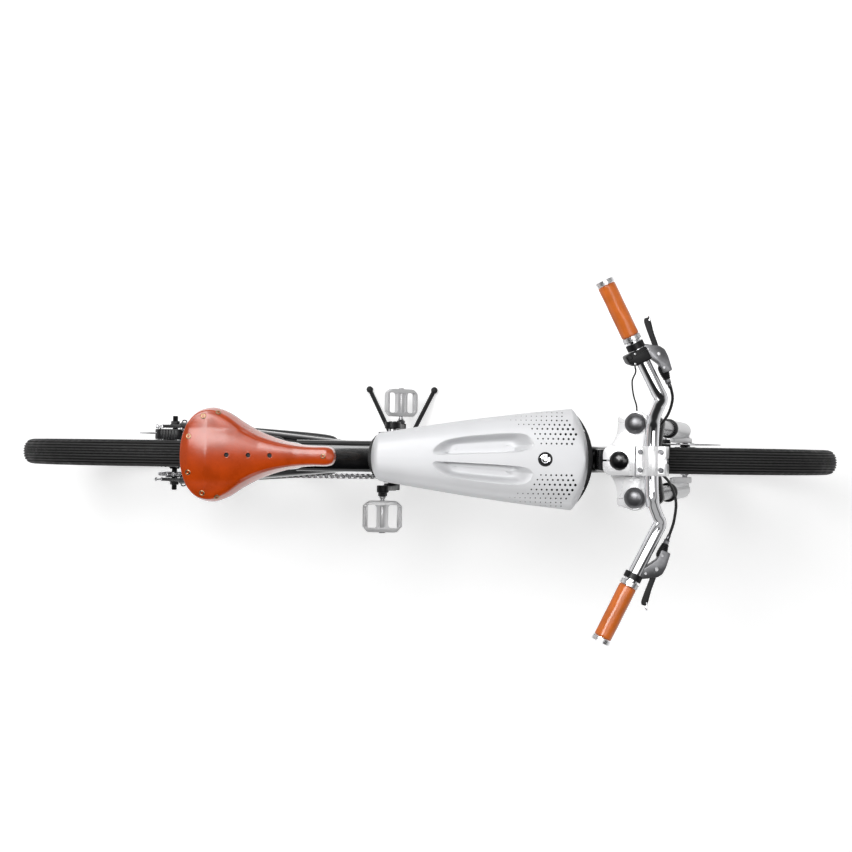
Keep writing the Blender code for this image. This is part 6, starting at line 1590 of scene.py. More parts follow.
def build_levers():
    """The brake levers: a band on the bar, a grey housing, a ribbed boot, the blade and its hook."""
    for side, word in SIDES:
        start, along = grip_line(side)
        pivot, barrel = on_side(side, LEVER["pivot"]), on_side(side, LEVER["barrel"])
        body = Form("satin_black")
        body.lathe([(0.0121, 0.0), (0.0150, 0.0), (0.0157, 0.0008), (0.0157, 0.0104), (0.0150, 0.0112),
                    (0.0121, 0.0112)],
                   48, aimed(start - along * 0.0150, start), closed=True)
        way = (pivot - barrel).normalized()
        span = 0.026
        boot = [(0.0046, 0.0), (0.0058, 0.0006)]
        for n in range(4):
            wide = 0.0062 + 0.0006 * n
            boot += [(wide, 0.0012 + 0.0030 * n), (wide + 0.0004, 0.0026 + 0.0030 * n),
                     (wide - 0.0006, 0.0036 + 0.0030 * n)]
        boot += [(0.0084, 0.0140), (0.0086, span - 0.004), (0.0070, span)]
        body.use("black_rubber").lathe(boot, 32, aimed(barrel, barrel + way))
        body.use("lever_grey")
        for low, high in ((0.0048, 0.0092), (-0.0092, -0.0048)):
            housing(body, side, HOUSING, low, high)
        housing(body, side, CORE, -0.0046, 0.0046)
        for x, y in ((-0.1860, 0.1600), (-0.2140, 0.1905)):
            spot = on_side(side, (x, y, LEVER["pivot"][2] + 0.0090))
            socket_bolt(body, spot, spot + Vector((0, 0, 0.0020)), 0.0024, "steel")
        body.use("dark_metal").rod(barrel - way * 0.008, barrel + way * 0.001, 0.0050, 6, 0.0005)
        body.use("steel").rod(pivot - Vector((0, 0, 0.0098)), pivot + Vector((0, 0, 0.0098)), 0.0019, 20)
        body.lathe([(0.0034, 0.0), (0.0034, 0.0010), (0.0026, 0.0016), (0.0012, 0.0016)], 24,
                   Matrix.Translation(pivot + Vector((0, 0, 0.0091))))
        body.make(f"brake_body_{word}", "steering", "black_satin", f"brake_master_{word}", sharp=32)

        blade = Form("satin_black")
        places = [LEVER["pivot"], (-0.2000, 0.1990, 0.6396), (-0.2080, 0.2200, 0.6412), LEVER["tip"]]
        path = smooth_curve([on_side(side, p) for p in places], 8)
        widths = ((0.0, 0.0060), (0.25, 0.0046), (0.6, 0.0047), (0.9, 0.0058), (0.97, 0.0052), (1.0, 0.0034))
        loops = []
        for n, p in enumerate(path):
            t = n / (len(path) - 1)
            forth = (path[min(n + 1, len(path) - 1)] - path[max(n - 1, 0)]).normalized()
            across = Vector((-forth.y, forth.x, 0)).normalized()
            wide, tall = between(widths, t), 0.0040 - 0.0012 * t
            section = []
            for a, b in disc(1.0, 36):
                rim = 1.0 if abs(a) > 0.72 else 0.62
                section.append(p + across * power(a, 0.45) * wide
                               + Vector((0, 0, power(b, 0.45) * tall * (rim if t > 0.2 else 1.0))))
            loops.append(section)
        blade.skin(loops)
        hook = [on_side(side, p) for p in ((-0.2112, 0.2400, 0.6426), (-0.2108, 0.2450, 0.6430),
                                           (-0.2122, 0.2490, 0.6434), (-0.2100, 0.2530, 0.6436))]
        blade.use("chrome").sweep(smooth_curve(hook, 5), disc(0.0017, 14))
        blade.make(f"lever_blade_{word}", f"brake_lever_{word}", "black_satin", f"brake_lever_{word}")


def switch_place():
    """The switch box's frame, whose Y axis runs along the bar away from the stem."""
    elbow = on_side(LEFT, ELBOW)
    along = (on_side(LEFT, GRIP_START) - elbow).normalized()
    return Matrix.Translation(elbow + along * 0.0645) @ along.to_track_quat("Y", "Z").to_matrix().to_4x4()


def build_switch():
    at = switch_place()
    box = Form("satin_black")
    outline = rounded([(-0.0262, -0.0080), (-0.0160, -0.0180), (0.0132, -0.0180), (0.0132, 0.0060),
                       (-0.0262, 0.0060)], 0.0035, 5)
    box.plate(outline, -0.0160, 0.0160, at, 0.0022)
    case = box.make("switch_case", "steering", "black_satin", "switch_box", sharp=30)
    well = at @ Matrix.Translation((-0.0200, 0, 0))
    for tool in (Form().rod(at @ Vector((0, -0.03, 0)), at @ Vector((0, 0.03, 0)), 0.0121, 40),
                 Form().lathe([(0.0047, 0.0110), (0.0047, 0.0200)], 32, well),
                 Form().block((-0.04, 0.02), (-0.0002, 0.0002), (0.0152, 0.03), at)):
        cut(case, tool, 30)
    button = Form("black_rubber")
    button.lathe([(0.0041, 0.0133), (0.0041, 0.0174), (0.0036, 0.0183), (0.0024, 0.0185), (0.0006, 0.0184)],
                 32, well)
    button.make("button", "switch_button", "black_rubber", "switch_button")
    screws = Form("steel")
    for x, y in ((-0.0170, -0.0135), (-0.0100, 0.0020)):
        screws.lathe([(0.0020, 0.0155), (0.0020, 0.0166), (0.0014, 0.0170), (0.0008, 0.0170),
                      (0.0007, 0.0163)], 20, at @ Matrix.Translation((x, y, 0)))
    screws.make("switch_screws", "steering", "steel")


def hose(form, path, radius, ferrules=()):
    """A round hose with a dark metal ferrule at the named ends."""
    form.use("black_rubber").sweep(smooth_curve(path, 9), disc(radius, 20))
    for tail, heading in ferrules:
        form.use("dark_metal").rod(tail, Vector(tail) + (Vector(heading) - Vector(tail)).normalized() * 0.008,
                                   radius + 0.0009, 20, 0.0004)


def build_hoses():
    def start_of(side):
        pivot, barrel = on_side(side, LEVER["pivot"]), on_side(side, LEVER["barrel"])
        out = (barrel - pivot).normalized()
        return barrel + out * 0.0083, out

    crown = UPPER_CROWN + CROWN_DEPTH / 2
    start, out = start_of(LEFT)
    upper = Form()
    path = [start, start + out * 0.012, ahead(-0.1655, 0.1060, 0.6216), ahead(-0.1685, 0.0830, 0.6036),
            ahead(-0.1775, 0.0630, 0.5816), steered(0.052, 0.0475, crown), steered(0.038, 0.045, crown)]
    hose(upper, path, HOSE_RADIUS, ((path[0], path[1]), (path[-1], path[-2])))
    upper.make("rear_hose_upper", "steering", "black_rubber", "rear_brake_hose_upper")
    start, out = start_of(RIGHT)
    front = Form()
    path = [start, start + out * 0.012, ahead(-0.1605, -0.1000, 0.6216), ahead(-0.1525, -0.0680, 0.5966),
            ahead(-0.1545, -0.0380, 0.5516), ahead(-0.1585, -0.0220, 0.4916), ahead(-0.1535, -0.0200, 0.4366),
            steered(0.026, -0.020, LOWER_CROWN + CROWN_DEPTH + 0.0012)]
    hose(front, path, HOSE_RADIUS, ((path[0], path[1]), (path[-1], path[-2])))
    front.make("front_hose", "steering", "black_rubber", "front_brake_hose")

    rear_end, front_end = behind(0.030, 0.0615, 0.0496), Vector((-0.270, 0.0330, 0.6116))
    line = (front_end - rear_end).normalized()
    up = Vector((-line.z, 0, line.x)).normalized()
    if up.z < 0:
        up = -up
    lower = Form()
    path = [behind(0.0343, 0.0480, 0.0852), behind(0.0425, 0.0490, 0.0926)]
    path += [rear_end.lerp(front_end, s) + up * (0.0142 + 0.006 * s + 0.0028)
             for s in (0.15, 0.4, 0.65, 0.86)]
    path += [Vector((-0.3000, 0.0330, 0.6276)), Vector((-0.2810, 0.0200, 0.6556)),
             Vector((-0.2640, 0.0150, 0.6601))]
    hose(lower, path, HOSE_RADIUS, ((path[0], path[1]),))
    for share in (0.3, 0.7):
        spot = rear_end.lerp(front_end, share) + up * (0.0142 + 0.006 * share + 0.0028)
        lower.use("black_rubber").lathe([(0.0025, -0.003), (0.0036, -0.003), (0.0036, 0.003),
                                         (0.0025, 0.003)],
                                        20, aimed(spot, spot + line), closed=True)
    lower.make("rear_hose", "frame", "black_rubber", "rear_brake_hose")
    at = switch_place()
    wire = Form()
    path = [at @ Vector((-0.0150, -0.0176, -0.0040)), at @ Vector((-0.0180, -0.0280, -0.0070)),
            ahead(-0.2345, 0.1380, 0.6176), ahead(-0.2275, 0.1160, 0.5916), ahead(-0.2180, 0.0990, 0.5696),
            ahead(-0.2154, 0.0894, 0.5613)]
    hose(wire, path, WIRE_RADIUS)
    wire.make("switch_lead", "steering", "black_rubber", "switch_wire")


# Drive

PITCH, RING_TEETH, COG_TEETH = 0.0127, 44, 16
RING_RADIUS, COG_RADIUS = (PITCH / (2 * sin(pi / teeth)) for teeth in (RING_TEETH, COG_TEETH))
CRANK_LENGTH = 0.170
CHAIN_AIM = atan2(REAR_AXLE.z - BRACKET.z, REAR_AXLE.x - BRACKET.x)


def around(centre, radius, turn):
    """A point of a circle that stands upright in the bicycle's middle plane."""
    return Vector((centre.x + radius * cos(turn), 0, centre.z + radius * sin(turn)))


def chain_places():
    """The rollers' centres once round the loop: seated on both wheels, and evenly between them."""
    span = (REAR_AXLE.xz - BRACKET.xz).length
    lean = asin((RING_RADIUS - COG_RADIUS) / span)
    straight = span * cos(lean)
    low, high = CHAIN_AIM - (pi / 2 - lean), CHAIN_AIM + (pi / 2 - lean)
    lengths = (RING_RADIUS * (pi + 2 * lean), straight, COG_RADIUS * (pi - 2 * lean), straight)

    def seated(teeth, radius, wrap):
        step = 2 * pi / teeth
        count = int(wrap / step)
        return [radius * step * (k - (count - 1) / 2) for k in range(count)]

    on_ring = seated(RING_TEETH, RING_RADIUS, pi + 2 * lean)
    on_cog = seated(COG_TEETH, COG_RADIUS, pi - 2 * lean)
    front = [lengths[0] / 2 + s for s in on_ring]
    rear = [lengths[0] + straight + lengths[2] / 2 + s for s in on_cog]
    places = list(front)
    for start, end in ((front[-1], rear[0]), (rear[-1], sum(lengths) + front[0])):
        links = round((end - start) / PITCH)
        places += [start + (end - start) * n / links for n in range(1, links)]
        if end == rear[0]:
            places += rear

    def at(s):
        s %= sum(lengths)
        if s < lengths[0]:
            return around(BRACKET, RING_RADIUS, low - s / RING_RADIUS)
        s -= lengths[0]
        if s < straight:
            return around(BRACKET, RING_RADIUS, high).lerp(around(REAR_AXLE, COG_RADIUS, high), s / straight)
        s -= straight
        if s < lengths[2]:
            return around(REAR_AXLE, COG_RADIUS, high - s / COG_RADIUS)
        return around(REAR_AXLE, COG_RADIUS, low).lerp(around(BRACKET, RING_RADIUS, low),
                                                       (s - lengths[2]) / straight)

    return [at(s) for s in places], len(on_ring), len(on_cog)


def toothed(teeth, radius):
    """A toothed outline with round valleys."""
    points = []
    step = 2 * pi / teeth
    for n in range(teeth):
        valley = polar(radius, n * step)
        for k in range(-3, 4):
            points.append(valley + polar(0.0041, n * step + pi + k * radians(62) / 3))
        for share in (0.44, 0.56):
            points.append(polar(radius + 0.0034, (n + share) * step))
    return points


def link_plate(form, a, b, y, thick, width):
    """A waisted side plate between two pins."""
    middle, way = (a + b) / 2, (b - a).normalized()
    up = Vector((-way.z, 0, way.x))
    half = (b - a).length / 2
    outline = []
    for start, centre in ((-100, half), (80, -half)):
        outline += arc((centre, 0.0), width, start, start + 200, 8)
        outline.append((0.0, copysign(width * 0.78, -start)))
    loops = [[middle + way * u + up * v + Vector((0, y + h, 0)) for u, v in outline]
             for h in (-thick / 2, thick / 2)]
    form.skin(loops)


def build_chain():
    places, on_ring, on_cog = chain_places()
    chain = Form("chain_steel")
    for n, a in enumerate(places):
        b = places[(n + 1) % len(places)]
        offset = 0.0022 if n % 2 else 0.0034
        for side in (LEFT, RIGHT):
            link_plate(chain, a, b, CHAIN_Y + side * offset, 0.0010, 0.0041)
        at = about_y(a + Vector((0, CHAIN_Y, 0)))
        chain.lathe([(0.0010, -0.0045), (0.0017, -0.0044), (0.0018, -0.0040), (0.0018, -0.0017),
                     (0.0037, -0.0016), (0.0037, 0.0016), (0.0018, 0.0017), (0.0018, 0.0040),
                     (0.0017, 0.0044), (0.0010, 0.0045)], 12, at)
    chain.make("chain", "frame", "steel", "drive_chain", sharp=35)

    ring_turn = CHAIN_AIM + pi + (0.0 if on_ring % 2 else pi / RING_TEETH)
    cog_turn = CHAIN_AIM + (0.0 if on_cog % 2 else pi / COG_TEETH)
    ring = Form("satin_black")
    at = Matrix.Translation(BRACKET) @ upright() @ Matrix.Rotation(ring_turn, 4, "Z")
    ring.plate(toothed(RING_TEETH, RING_RADIUS), CHAIN_Y - 0.0010, CHAIN_Y + 0.0010, at)
    plate = ring.make("chainwheel", "crank", "black_satin", "chainring", sharp=30)
    tool = Form()
    for n in range(5):
        low, high = 72 * n + 9, 72 * n + 63
        outline = arc((0, 0), 0.031, low, high, 10) + arc((0, 0), 0.070, high + 2, low - 2, 18)
        tool.plate(rounded(outline, 0.004, 4), CHAIN_Y - 0.01, CHAIN_Y + 0.01,
                   Matrix.Translation(BRACKET) @ upright())
        for share in (24, 48):
            a = radians(72 * n + share)
            tool.lathe([(0.0026, CHAIN_Y - 0.01), (0.0026, CHAIN_Y + 0.01)], 16,
                       about_y(around(BRACKET, 0.0765, a)))
    tool.lathe([(0.0103, CHAIN_Y - 0.01), (0.0103, CHAIN_Y + 0.01)], 32, about_y(BRACKET))
    cut(plate, tool, 30)
    hub = Form("satin_black")
    hub.lathe([(0.0104, CHAIN_Y - 0.0135), (0.0195, CHAIN_Y - 0.0135), (0.0200, CHAIN_Y - 0.0125),
               (0.0215, CHAIN_Y - 0.0011),
               (0.0104, CHAIN_Y - 0.0011)], 40, about_y(BRACKET), closed=True)
    for n in range(5):
        spot = around(BRACKET, 0.026, radians(72 * n)) + Vector((0, CHAIN_Y, 0))
        socket_bolt(hub, spot - Vector((0, 0.0008, 0)), spot - Vector((0, 0.0036, 0)), 0.0036, "steel")
    hub.make("chainwheel_hub", "crank", "black_satin", sharp=30)

    cog = Form("steel")
    cog.plate(toothed(COG_TEETH, COG_RADIUS), CHAIN_Y - 0.0010, CHAIN_Y + 0.0010,
              Matrix.Translation(REAR_AXLE) @ upright() @ Matrix.Rotation(cog_turn, 4, "Z"))
    cog.use("dark_metal").lathe([(0.0070, -0.0550), (0.0192, -0.0550), (0.0202, -0.0540),
                                 (0.0205, CHAIN_Y - 0.0011), (0.0220, CHAIN_Y + 0.0011), (0.0220, -0.0432),
                                 (0.0070, -0.0432)], 48,
                                about_y(REAR_AXLE), closed=True)
    cog.make("cog", "freewheel", "steel", "rear_sprocket", sharp=30)


def crank_way(side):
    return Vector((side * sin(radians(5)), 0, -side * cos(radians(5))))


def build_cranks():
    for side, word in SIDES:
        way = crank_way(side)
        across = Vector((way.z, 0, -way.x))
        arm = Form("satin_black")
        loops = []
        middle = BRACKET + Vector((0, side * 0.0715, 0))
        for k in range(25):
            t = k / 24
            spot = middle + way * CRANK_LENGTH * t
            wide = 0.0185 * max(0.0, 1 - (t / 0.16) ** 2) ** 0.5 if t < 0.10 else 0.0
            wide = max(wide, between(((0.0, 0.0170), (0.08, 0.0158), (0.5, 0.0118), (0.92, 0.0105),
                                      (1.0, 0.0120)), t))
            deep = between(((0.0, 0.0074), (0.10, 0.0072), (0.5, 0.0062), (0.92, 0.0064), (1.0, 0.0072)), t)
            loops.append([spot + across * power(a, 0.55) * wide + Vector((0, power(b, 0.55) * deep, 0))
                          for a, b in disc(1.0, 36)])
        arm.skin(loops)
        end = middle + way * CRANK_LENGTH
        arm.lathe([(0.0125, -0.0075), (0.0130, -0.0068), (0.0130, 0.0068), (0.0122, 0.0075)], 40,
                  about_y(end, side))
        arm.lathe([(0.0178, -0.0075), (0.0185, -0.0068), (0.0185, 0.0064), (0.0176, 0.0075), (0.0110, 0.0075),
                   (0.0106, 0.0062)], 48, about_y(middle, side))
        socket_bolt(arm, middle + Vector((0, side * 0.0060, 0)), middle + Vector((0, side * 0.0095, 0)),
                    0.0098, "steel")
        if side == LEFT:
            arm.use("steel").rod(BRACKET - Vector((0, 0.0795, 0)), middle, 0.0098, 40, 0.0006)
        arm.make(f"crank_{word}", "crank", "black_satin", f"crank_arm_{word}", sharp=34)


def pedal_ends(side):
    end = BRACKET + crank_way(side) * CRANK_LENGTH
    return end, Vector((end.x, side * 0.131, end.z))


def build_pedals():
    """Cast platform pedals: two windows, a barrel between them, teeth on both long edges and side wings."""
    for side, word in SIDES:
        end, middle = pedal_ends(side)
        tilt = radians(28) if side == LEFT else 0.0
        at = Matrix.Translation(middle) @ Matrix.Rotation(tilt, 4, "Y")
        l, w, h = 0.0420, 0.0340, 0.0092
        outline = [(-l, -w + 0.012), (-l + 0.010, -w), (l - 0.010, -w), (l, -w + 0.012), (l, w - 0.010),
                   (l - 0.012, w), (-l + 0.012, w), (-l, w - 0.010)]
        cage = Form("cast_alloy")
        cage.plate(rounded(outline, 0.005, 4), -h, h, at, 0.0014)
        piece = cage.make(f"pedal_cage_{word}", f"pedal_{word}", "polished_aluminium", f"pedal_{word}",
                          sharp=32)
        tool = Form()
        for x in (0.0245, -0.0245):
            window = [(x - 0.0118, -0.0250), (x + 0.0118, -0.0250), (x + 0.0118, 0.0250),
                      (x - 0.0118, 0.0250)]
            tool.plate(rounded(window, 0.0075, 6), -0.03, 0.03, at)
        cut(piece, tool, 32)
        tool = Form()
        for heights in ((0.0060, 0.03), (-0.03, -0.0060)):
            tool.block((-0.0085, 0.0085), (-0.0235, 0.0235), heights, at)
        cut(piece, tool, 32)
        extras = Form("cast_alloy")
        extras.rod(at @ Vector((0, -0.0236, 0)), at @ Vector((0, 0.0236, 0)), 0.0078, 32, 0.0006)
        for edge in (-1, 1):
            for n in range(9):
                y = -0.0215 + 0.0054 * n
                for up in (-1, 1):
                    spot = Vector((edge * (l - 0.0032), y, up * (h - 0.0006)))
                    tooth = at @ Matrix.Translation(spot) @ Matrix.Rotation(0 if up > 0 else pi, 4, "X")
                    extras.lathe([(0.0021, 0.0), (0.0019, 0.0012), (0.0010, 0.0024)], 8, tooth)
            wing = [(edge * (l - 0.0105), -0.0300), (edge * (l + 0.0008), -0.0225),
                    (edge * (l + 0.0008), 0.0235), (edge * (l - 0.0105), 0.0305)]
            extras.plate(wing, -0.0011, 0.0011, at, 0.0004)
        extras.use("dark_metal").lathe([(0.0072, 0.0336), (0.0072, 0.0352), (0.0060, 0.0358),
                                        (0.0020, 0.0358)], 24,
                                       at @ Matrix.Rotation(-pi / 2 * side, 4, "X"))
        extras.make(f"pedal_barrel_{word}", f"pedal_{word}", "polished_aluminium", sharp=34)

        spindle = Form("steel")
        spindle.rod((end.x, side * 0.064, end.z), (end.x, side * 0.153, end.z), 0.0047, 28)
        threads = [(0.0058, 0.0640)]
        for k in range(12):
            threads += [(0.0064, 0.0645 + k * 0.00125), (0.0059, 0.0651 + k * 0.00125)]
        threads += [(0.0058, 0.0800)]
        out = about_y(end, side)
        spindle.lathe(threads, 24, out)
        spindle.use("satin_black").lathe([(0.0088, 0.0793), (0.0098, 0.0800), (0.0098, 0.0866),
                                          (0.0088, 0.0872)], 6, out)
        spindle.use("steel").lathe([(0.0070, 0.0872), (0.0074, 0.0880), (0.0074, 0.0895), (0.0064, 0.0905),
                                    (0.0064, 0.0925)], 32, out)
        spindle.make(f"pedal_axle_{word}", "crank", "steel", f"pedal_spindle_{word}", sharp=30)


# Seat

def build_seat():
    """The rails with the cantle plate and nose block, the clamp with its bolt, and the post."""
    drop = -0.01443
    rail = [(-0.424, 0.038, 0.878), (-0.400, 0.030, 0.860), (-0.365, 0.022, 0.846), (-0.262, 0.022, 0.846),
            (-0.232, 0.016, 0.846), (-0.205, 0.008, 0.856), (-0.192, 0.004, 0.872)]
    rails = Form("chrome")
    for side in (LEFT, RIGHT):
        rails.sweep(smooth_curve([(x, side * y, z + drop) for x, y, z in rail], 8), disc(0.0035, 24))
    rails.use("steel")
    cantle = smooth_curve([(-0.424, -0.056, 0.8755 + drop), (-0.431, -0.030, 0.8780 + drop),
                           (-0.433, 0.0, 0.8786 + drop), (-0.431, 0.030, 0.8780 + drop),
                           (-0.424, 0.056, 0.8755 + drop)], 8)
    rails.sweep(cantle, [(a * 0.0062, b * 0.0028) for a, b in disc(1.0, 20)])
    nose = [(-0.2020, -0.0085), (-0.1860, -0.0070), (-0.1860, 0.0070), (-0.2020, 0.0085)]
    rails.plate(rounded(nose, 0.003, 4), 0.8705 + drop, 0.8818 + drop, None, 0.0010)
    rails.make("rails", "saddle", "chrome", "saddle_rails", sharp=34)

    head = Vector((-0.2950668, 0, 0.8270698))
    clamp = Form("satin_black")
    for side in (LEFT, RIGHT):
        clamp.skin([[polar((0.0155 if n % 2 else 0.0150) * shrink, 2 * pi * n / 48, h) for n in range(48)]
                    for h, shrink in ((0.0160, 0.94), (0.0168, 1.0), (0.0274, 1.0), (0.0280, 0.95))],
                   at=about_y(head, side))
    cheeks = clamp.make("rail_clamp", "saddle", "black_satin", "saddle_clamp", sharp=40)
    tool = Form()
    for side in (LEFT, RIGHT):
        tool.rod((head.x - 0.04, side * 0.022, 0.846 + drop), (head.x + 0.04, side * 0.022, 0.846 + drop),
                 0.0038, 24)
    cut(cheeks, tool, 40)
    bolt = Form("steel")
    bolt.rod(head - Vector((0, 0.0300, 0)), head + Vector((0, 0.0300, 0)), 0.0029, 24)
    for side in (LEFT, RIGHT):
        socket_bolt(bolt, head + Vector((0, side * 0.0280, 0)), head + Vector((0, side * 0.0325, 0)), 0.0056,
                    "steel")
    bolt.make("rail_clamp_bolt", "saddle", "steel")

    post = Form("aluminium")
    low = seat_line(0.6386)
    post.rod(low, head - (head - low).normalized() * 0.006, 0.0136, 48, 0.0008)
    post.lathe([(0.0128, -0.0155), (0.0135, -0.0148), (0.0135, 0.0148), (0.0128, 0.0155)], 48, about_y(head))
    post.use("dark_metal")
    for n in range(9):
        post.lathe([(0.01362, 0.0), (0.01372, 0.0001), (0.01372, 0.0005), (0.01362, 0.0006)], 48,
                   aimed(low.lerp(head, 0.30 + 0.055 * n), head))
    post.make("post", "seat_post", "polished_aluminium", "seat_post")
    repaint("battery_pack", "battery_grey")


# Kickstand and brakes

def build_stand():
    """The folding stand: a ring on its pivot, two bent legs and their ribbed rubber feet."""
    form = Form("satin_black")
    form.lathe([(0.0289, 0.0406), (0.0322, 0.0406), (0.0330, 0.0414), (0.0330, 0.0543), (0.0322, 0.0551),
                (0.0289, 0.0551)],
               64, about_y(BRACKET), closed=True)
    for foot_x in (-0.155, 0.010):
        kink_x = -0.071 + (foot_x + 0.071) * 0.052 / 0.168
        top = Vector((BRACKET.x + copysign(0.014, foot_x - BRACKET.x), 0.0475, BRACKET.z - 0.029))
        kink = Vector((kink_x, 0.052, 0.0716))
        foot = Vector((foot_x, 0.168, 0.0085))
        way = (foot - kink).normalized()
        path = smooth_curve([top, top.lerp(kink, 0.5), kink + Vector((0, 0, 0.018)), kink + way * 0.018,
                             kink.lerp(foot, 0.6), foot - way * 0.004], 7)
        form.use("satin_black").sweep(path, disc(0.0054, 24))
        form.use("black_rubber").lathe([
            (0.0060, 0.0002), (0.0080, 0.0008), (0.0085, 0.0020), (0.0085, 0.0040), (0.0079, 0.0046),
            (0.0085, 0.0052), (0.0085, 0.0072), (0.0079, 0.0078), (0.0085, 0.0084), (0.0085, 0.0104),
            (0.0079, 0.0110), (0.0085, 0.0116), (0.0084, 0.0150), (0.0070, 0.0178), (0.0058, 0.0184)], 40,
                                       Matrix.Translation((foot.x, foot.y, 0)))
    form.make("stand", "kickstand", "black_satin", "kickstand", sharp=32)


def build_calipers():
    """Each caliper: a body split round the disc, finned on top, with its pads and two bolts."""
    rear = Matrix.Translation(REAR_AXLE + Vector((0.006, 0, 0.074)))
    front = STEERING @ Matrix.Translation((LEG_X - 0.052, 0, 0.052)) @ Matrix.Rotation(radians(-45), 4, "Y")
    for word, at, disc_y, low, high, body in (
            ("rear", rear, 0.0440, 0.0300, 0.0525, "frame"),
            ("front", front, 0.0355, 0.0262, 0.0460, "fork_lower")):
        outline = rounded([(-0.030, -0.014), (0.030, -0.014), (0.034, 0.004), (0.022, 0.018), (-0.022, 0.018),
                           (-0.034, 0.004)], 0.006, 5)
        form = Form("satin_black")
        form.plate(outline, low, high, at @ upright(), 0.0018)
        piece = form.make(f"{word}_caliper_body", body, "black_satin", f"{word}_brake_caliper", sharp=32)
        cut(piece, Form().block((-0.05, 0.05), (disc_y - 0.0016, disc_y + 0.0016), (-0.030, 0.010), at), 32)
        tool = Form()
        for n in range(5):
            x = -0.0125 + 0.00625 * n
            tool.block((x - 0.0013, x + 0.0013), (low - 0.01, high + 0.01), (0.0150, 0.03), at)
        cut(piece, tool, 32)
        extras = Form("steel")
        for x in (-0.0245, 0.0245):
            a, b = at @ Vector((x, high - 0.001, 0.000)), at @ Vector((x, high + 0.0035, 0.000))
            socket_bolt(extras, a, b, 0.0040, "steel")
        extras.use("dark_metal")
        for y in (disc_y - 0.0024, disc_y + 0.0014):
            extras.plate([(-0.012, -0.012), (0.012, -0.012), (0.012, 0.009), (-0.012, 0.009)], y, y + 0.0010,
                         at @ upright())
        extras.make(f"{word}_caliper_fittings", body, "steel")


# Operators

class BicycleOperator:
    bl_options = {"REGISTER", "UNDO"}


class BICYCLE_OT_finishes(BicycleOperator, bpy.types.Operator):
    """Makes the paints, metals, rubbers and leathers"""
    bl_idname = "bicycle.finishes"
    bl_label = "Finishes"

    def execute(self, context):
        make_finishes(context.scene.bicycle_finishes)
        return {"FINISHED"}


class BICYCLE_OT_stage(BicycleOperator, bpy.types.Operator):
    """Sets the camera, the soft boxes and the floor"""
    bl_idname = "bicycle.stage"
    bl_label = "Stage"

    def execute(self, context):
        build_stage(context.scene.bicycle_stage)
        return {"FINISHED"}


class BICYCLE_OT_tank(BicycleOperator, bpy.types.Operator):
    """Makes the tank cover with its recesses, grilles, lock and base"""
    bl_idname = "bicycle.tank"
    bl_label = "Tank"

    def execute(self, context):
        build_tank(context.scene.bicycle_tank)
        return {"FINISHED"}


class BICYCLE_OT_saddle(BicycleOperator, bpy.types.Operator):
    """Makes the leather saddle with its rivets and air holes"""
    bl_idname = "bicycle.saddle"
    bl_label = "Saddle"

    def execute(self, context):
        build_saddle(context.scene.bicycle_saddle)
        return {"FINISHED"}


class BICYCLE_OT_wheels(BicycleOperator, bpy.types.Operator):
    """Makes the tyres, rims, hubs, spokes, brake discs and axles"""
    bl_idname = "bicycle.wheels"
    bl_label = "Wheels"

    def execute(self, context):
        build_wheels(context.scene.bicycle_wheels)
        return {"FINISHED"}


class BICYCLE_OT_frame(BicycleOperator, bpy.types.Operator):
    """Makes the frame with its head tube, stays, dropouts and chain tensioners"""
    bl_idname = "bicycle.frame"
    bl_label = "Frame"

    def execute(self, context):
        build_frame()
        return {"FINISHED"}


class BICYCLE_OT_motor(BicycleOperator, bpy.types.Operator):
    """Makes the ribbed drive unit"""
    bl_idname = "bicycle.motor"
    bl_label = "Drive Unit"

    def execute(self, context):
        build_motor()
        return {"FINISHED"}


class BICYCLE_OT_headset(BicycleOperator, bpy.types.Operator):
    """Makes the headset cups and the seat clamp ring"""
    bl_idname = "bicycle.headset"
    bl_label = "Headset"

    def execute(self, context):
        build_headset()
        return {"FINISHED"}


class BICYCLE_OT_fork(BicycleOperator, bpy.types.Operator):
    """Makes the crowns, the fork legs and their caps"""
    bl_idname = "bicycle.fork"
    bl_label = "Fork"

    def execute(self, context):
        build_fork()
        return {"FINISHED"}


class BICYCLE_OT_stem(BicycleOperator, bpy.types.Operator):
    """Makes the stem, its bolted cap and the dome on the steerer"""
    bl_idname = "bicycle.stem"
    bl_label = "Stem"

    def execute(self, context):
        build_stem()
        return {"FINISHED"}


class BICYCLE_OT_handlebar(BicycleOperator, bpy.types.Operator):
    """Makes the handlebar with its ringed collars"""
    bl_idname = "bicycle.handlebar"
    bl_label = "Handlebar"

    def execute(self, context):
        build_bar()
        return {"FINISHED"}


class BICYCLE_OT_grips(BicycleOperator, bpy.types.Operator):
    """Makes the sewn leather grips"""
    bl_idname = "bicycle.grips"
    bl_label = "Grips"

    def execute(self, context):
        build_grips()
        return {"FINISHED"}


class BICYCLE_OT_levers(BicycleOperator, bpy.types.Operator):
    """Makes the brake levers with their housings, boots and hooks"""
    bl_idname = "bicycle.levers"
    bl_label = "Levers"

    def execute(self, context):
        build_levers()
        return {"FINISHED"}


class BICYCLE_OT_switch(BicycleOperator, bpy.types.Operator):
    """Makes the switch box with its button"""
    bl_idname = "bicycle.switch"
    bl_label = "Switch"

    def execute(self, context):
        build_switch()
        return {"FINISHED"}


class BICYCLE_OT_hoses(BicycleOperator, bpy.types.Operator):
    """Makes the brake hoses and the switch's wire"""
    bl_idname = "bicycle.hoses"
    bl_label = "Hoses"

    def execute(self, context):
        build_hoses()
        return {"FINISHED"}


class BICYCLE_OT_chain(BicycleOperator, bpy.types.Operator):
    """Makes the chain, the chainring and the sprocket"""
    bl_idname = "bicycle.chain"
    bl_label = "Chain"

    def execute(self, context):
        build_chain()
        return {"FINISHED"}


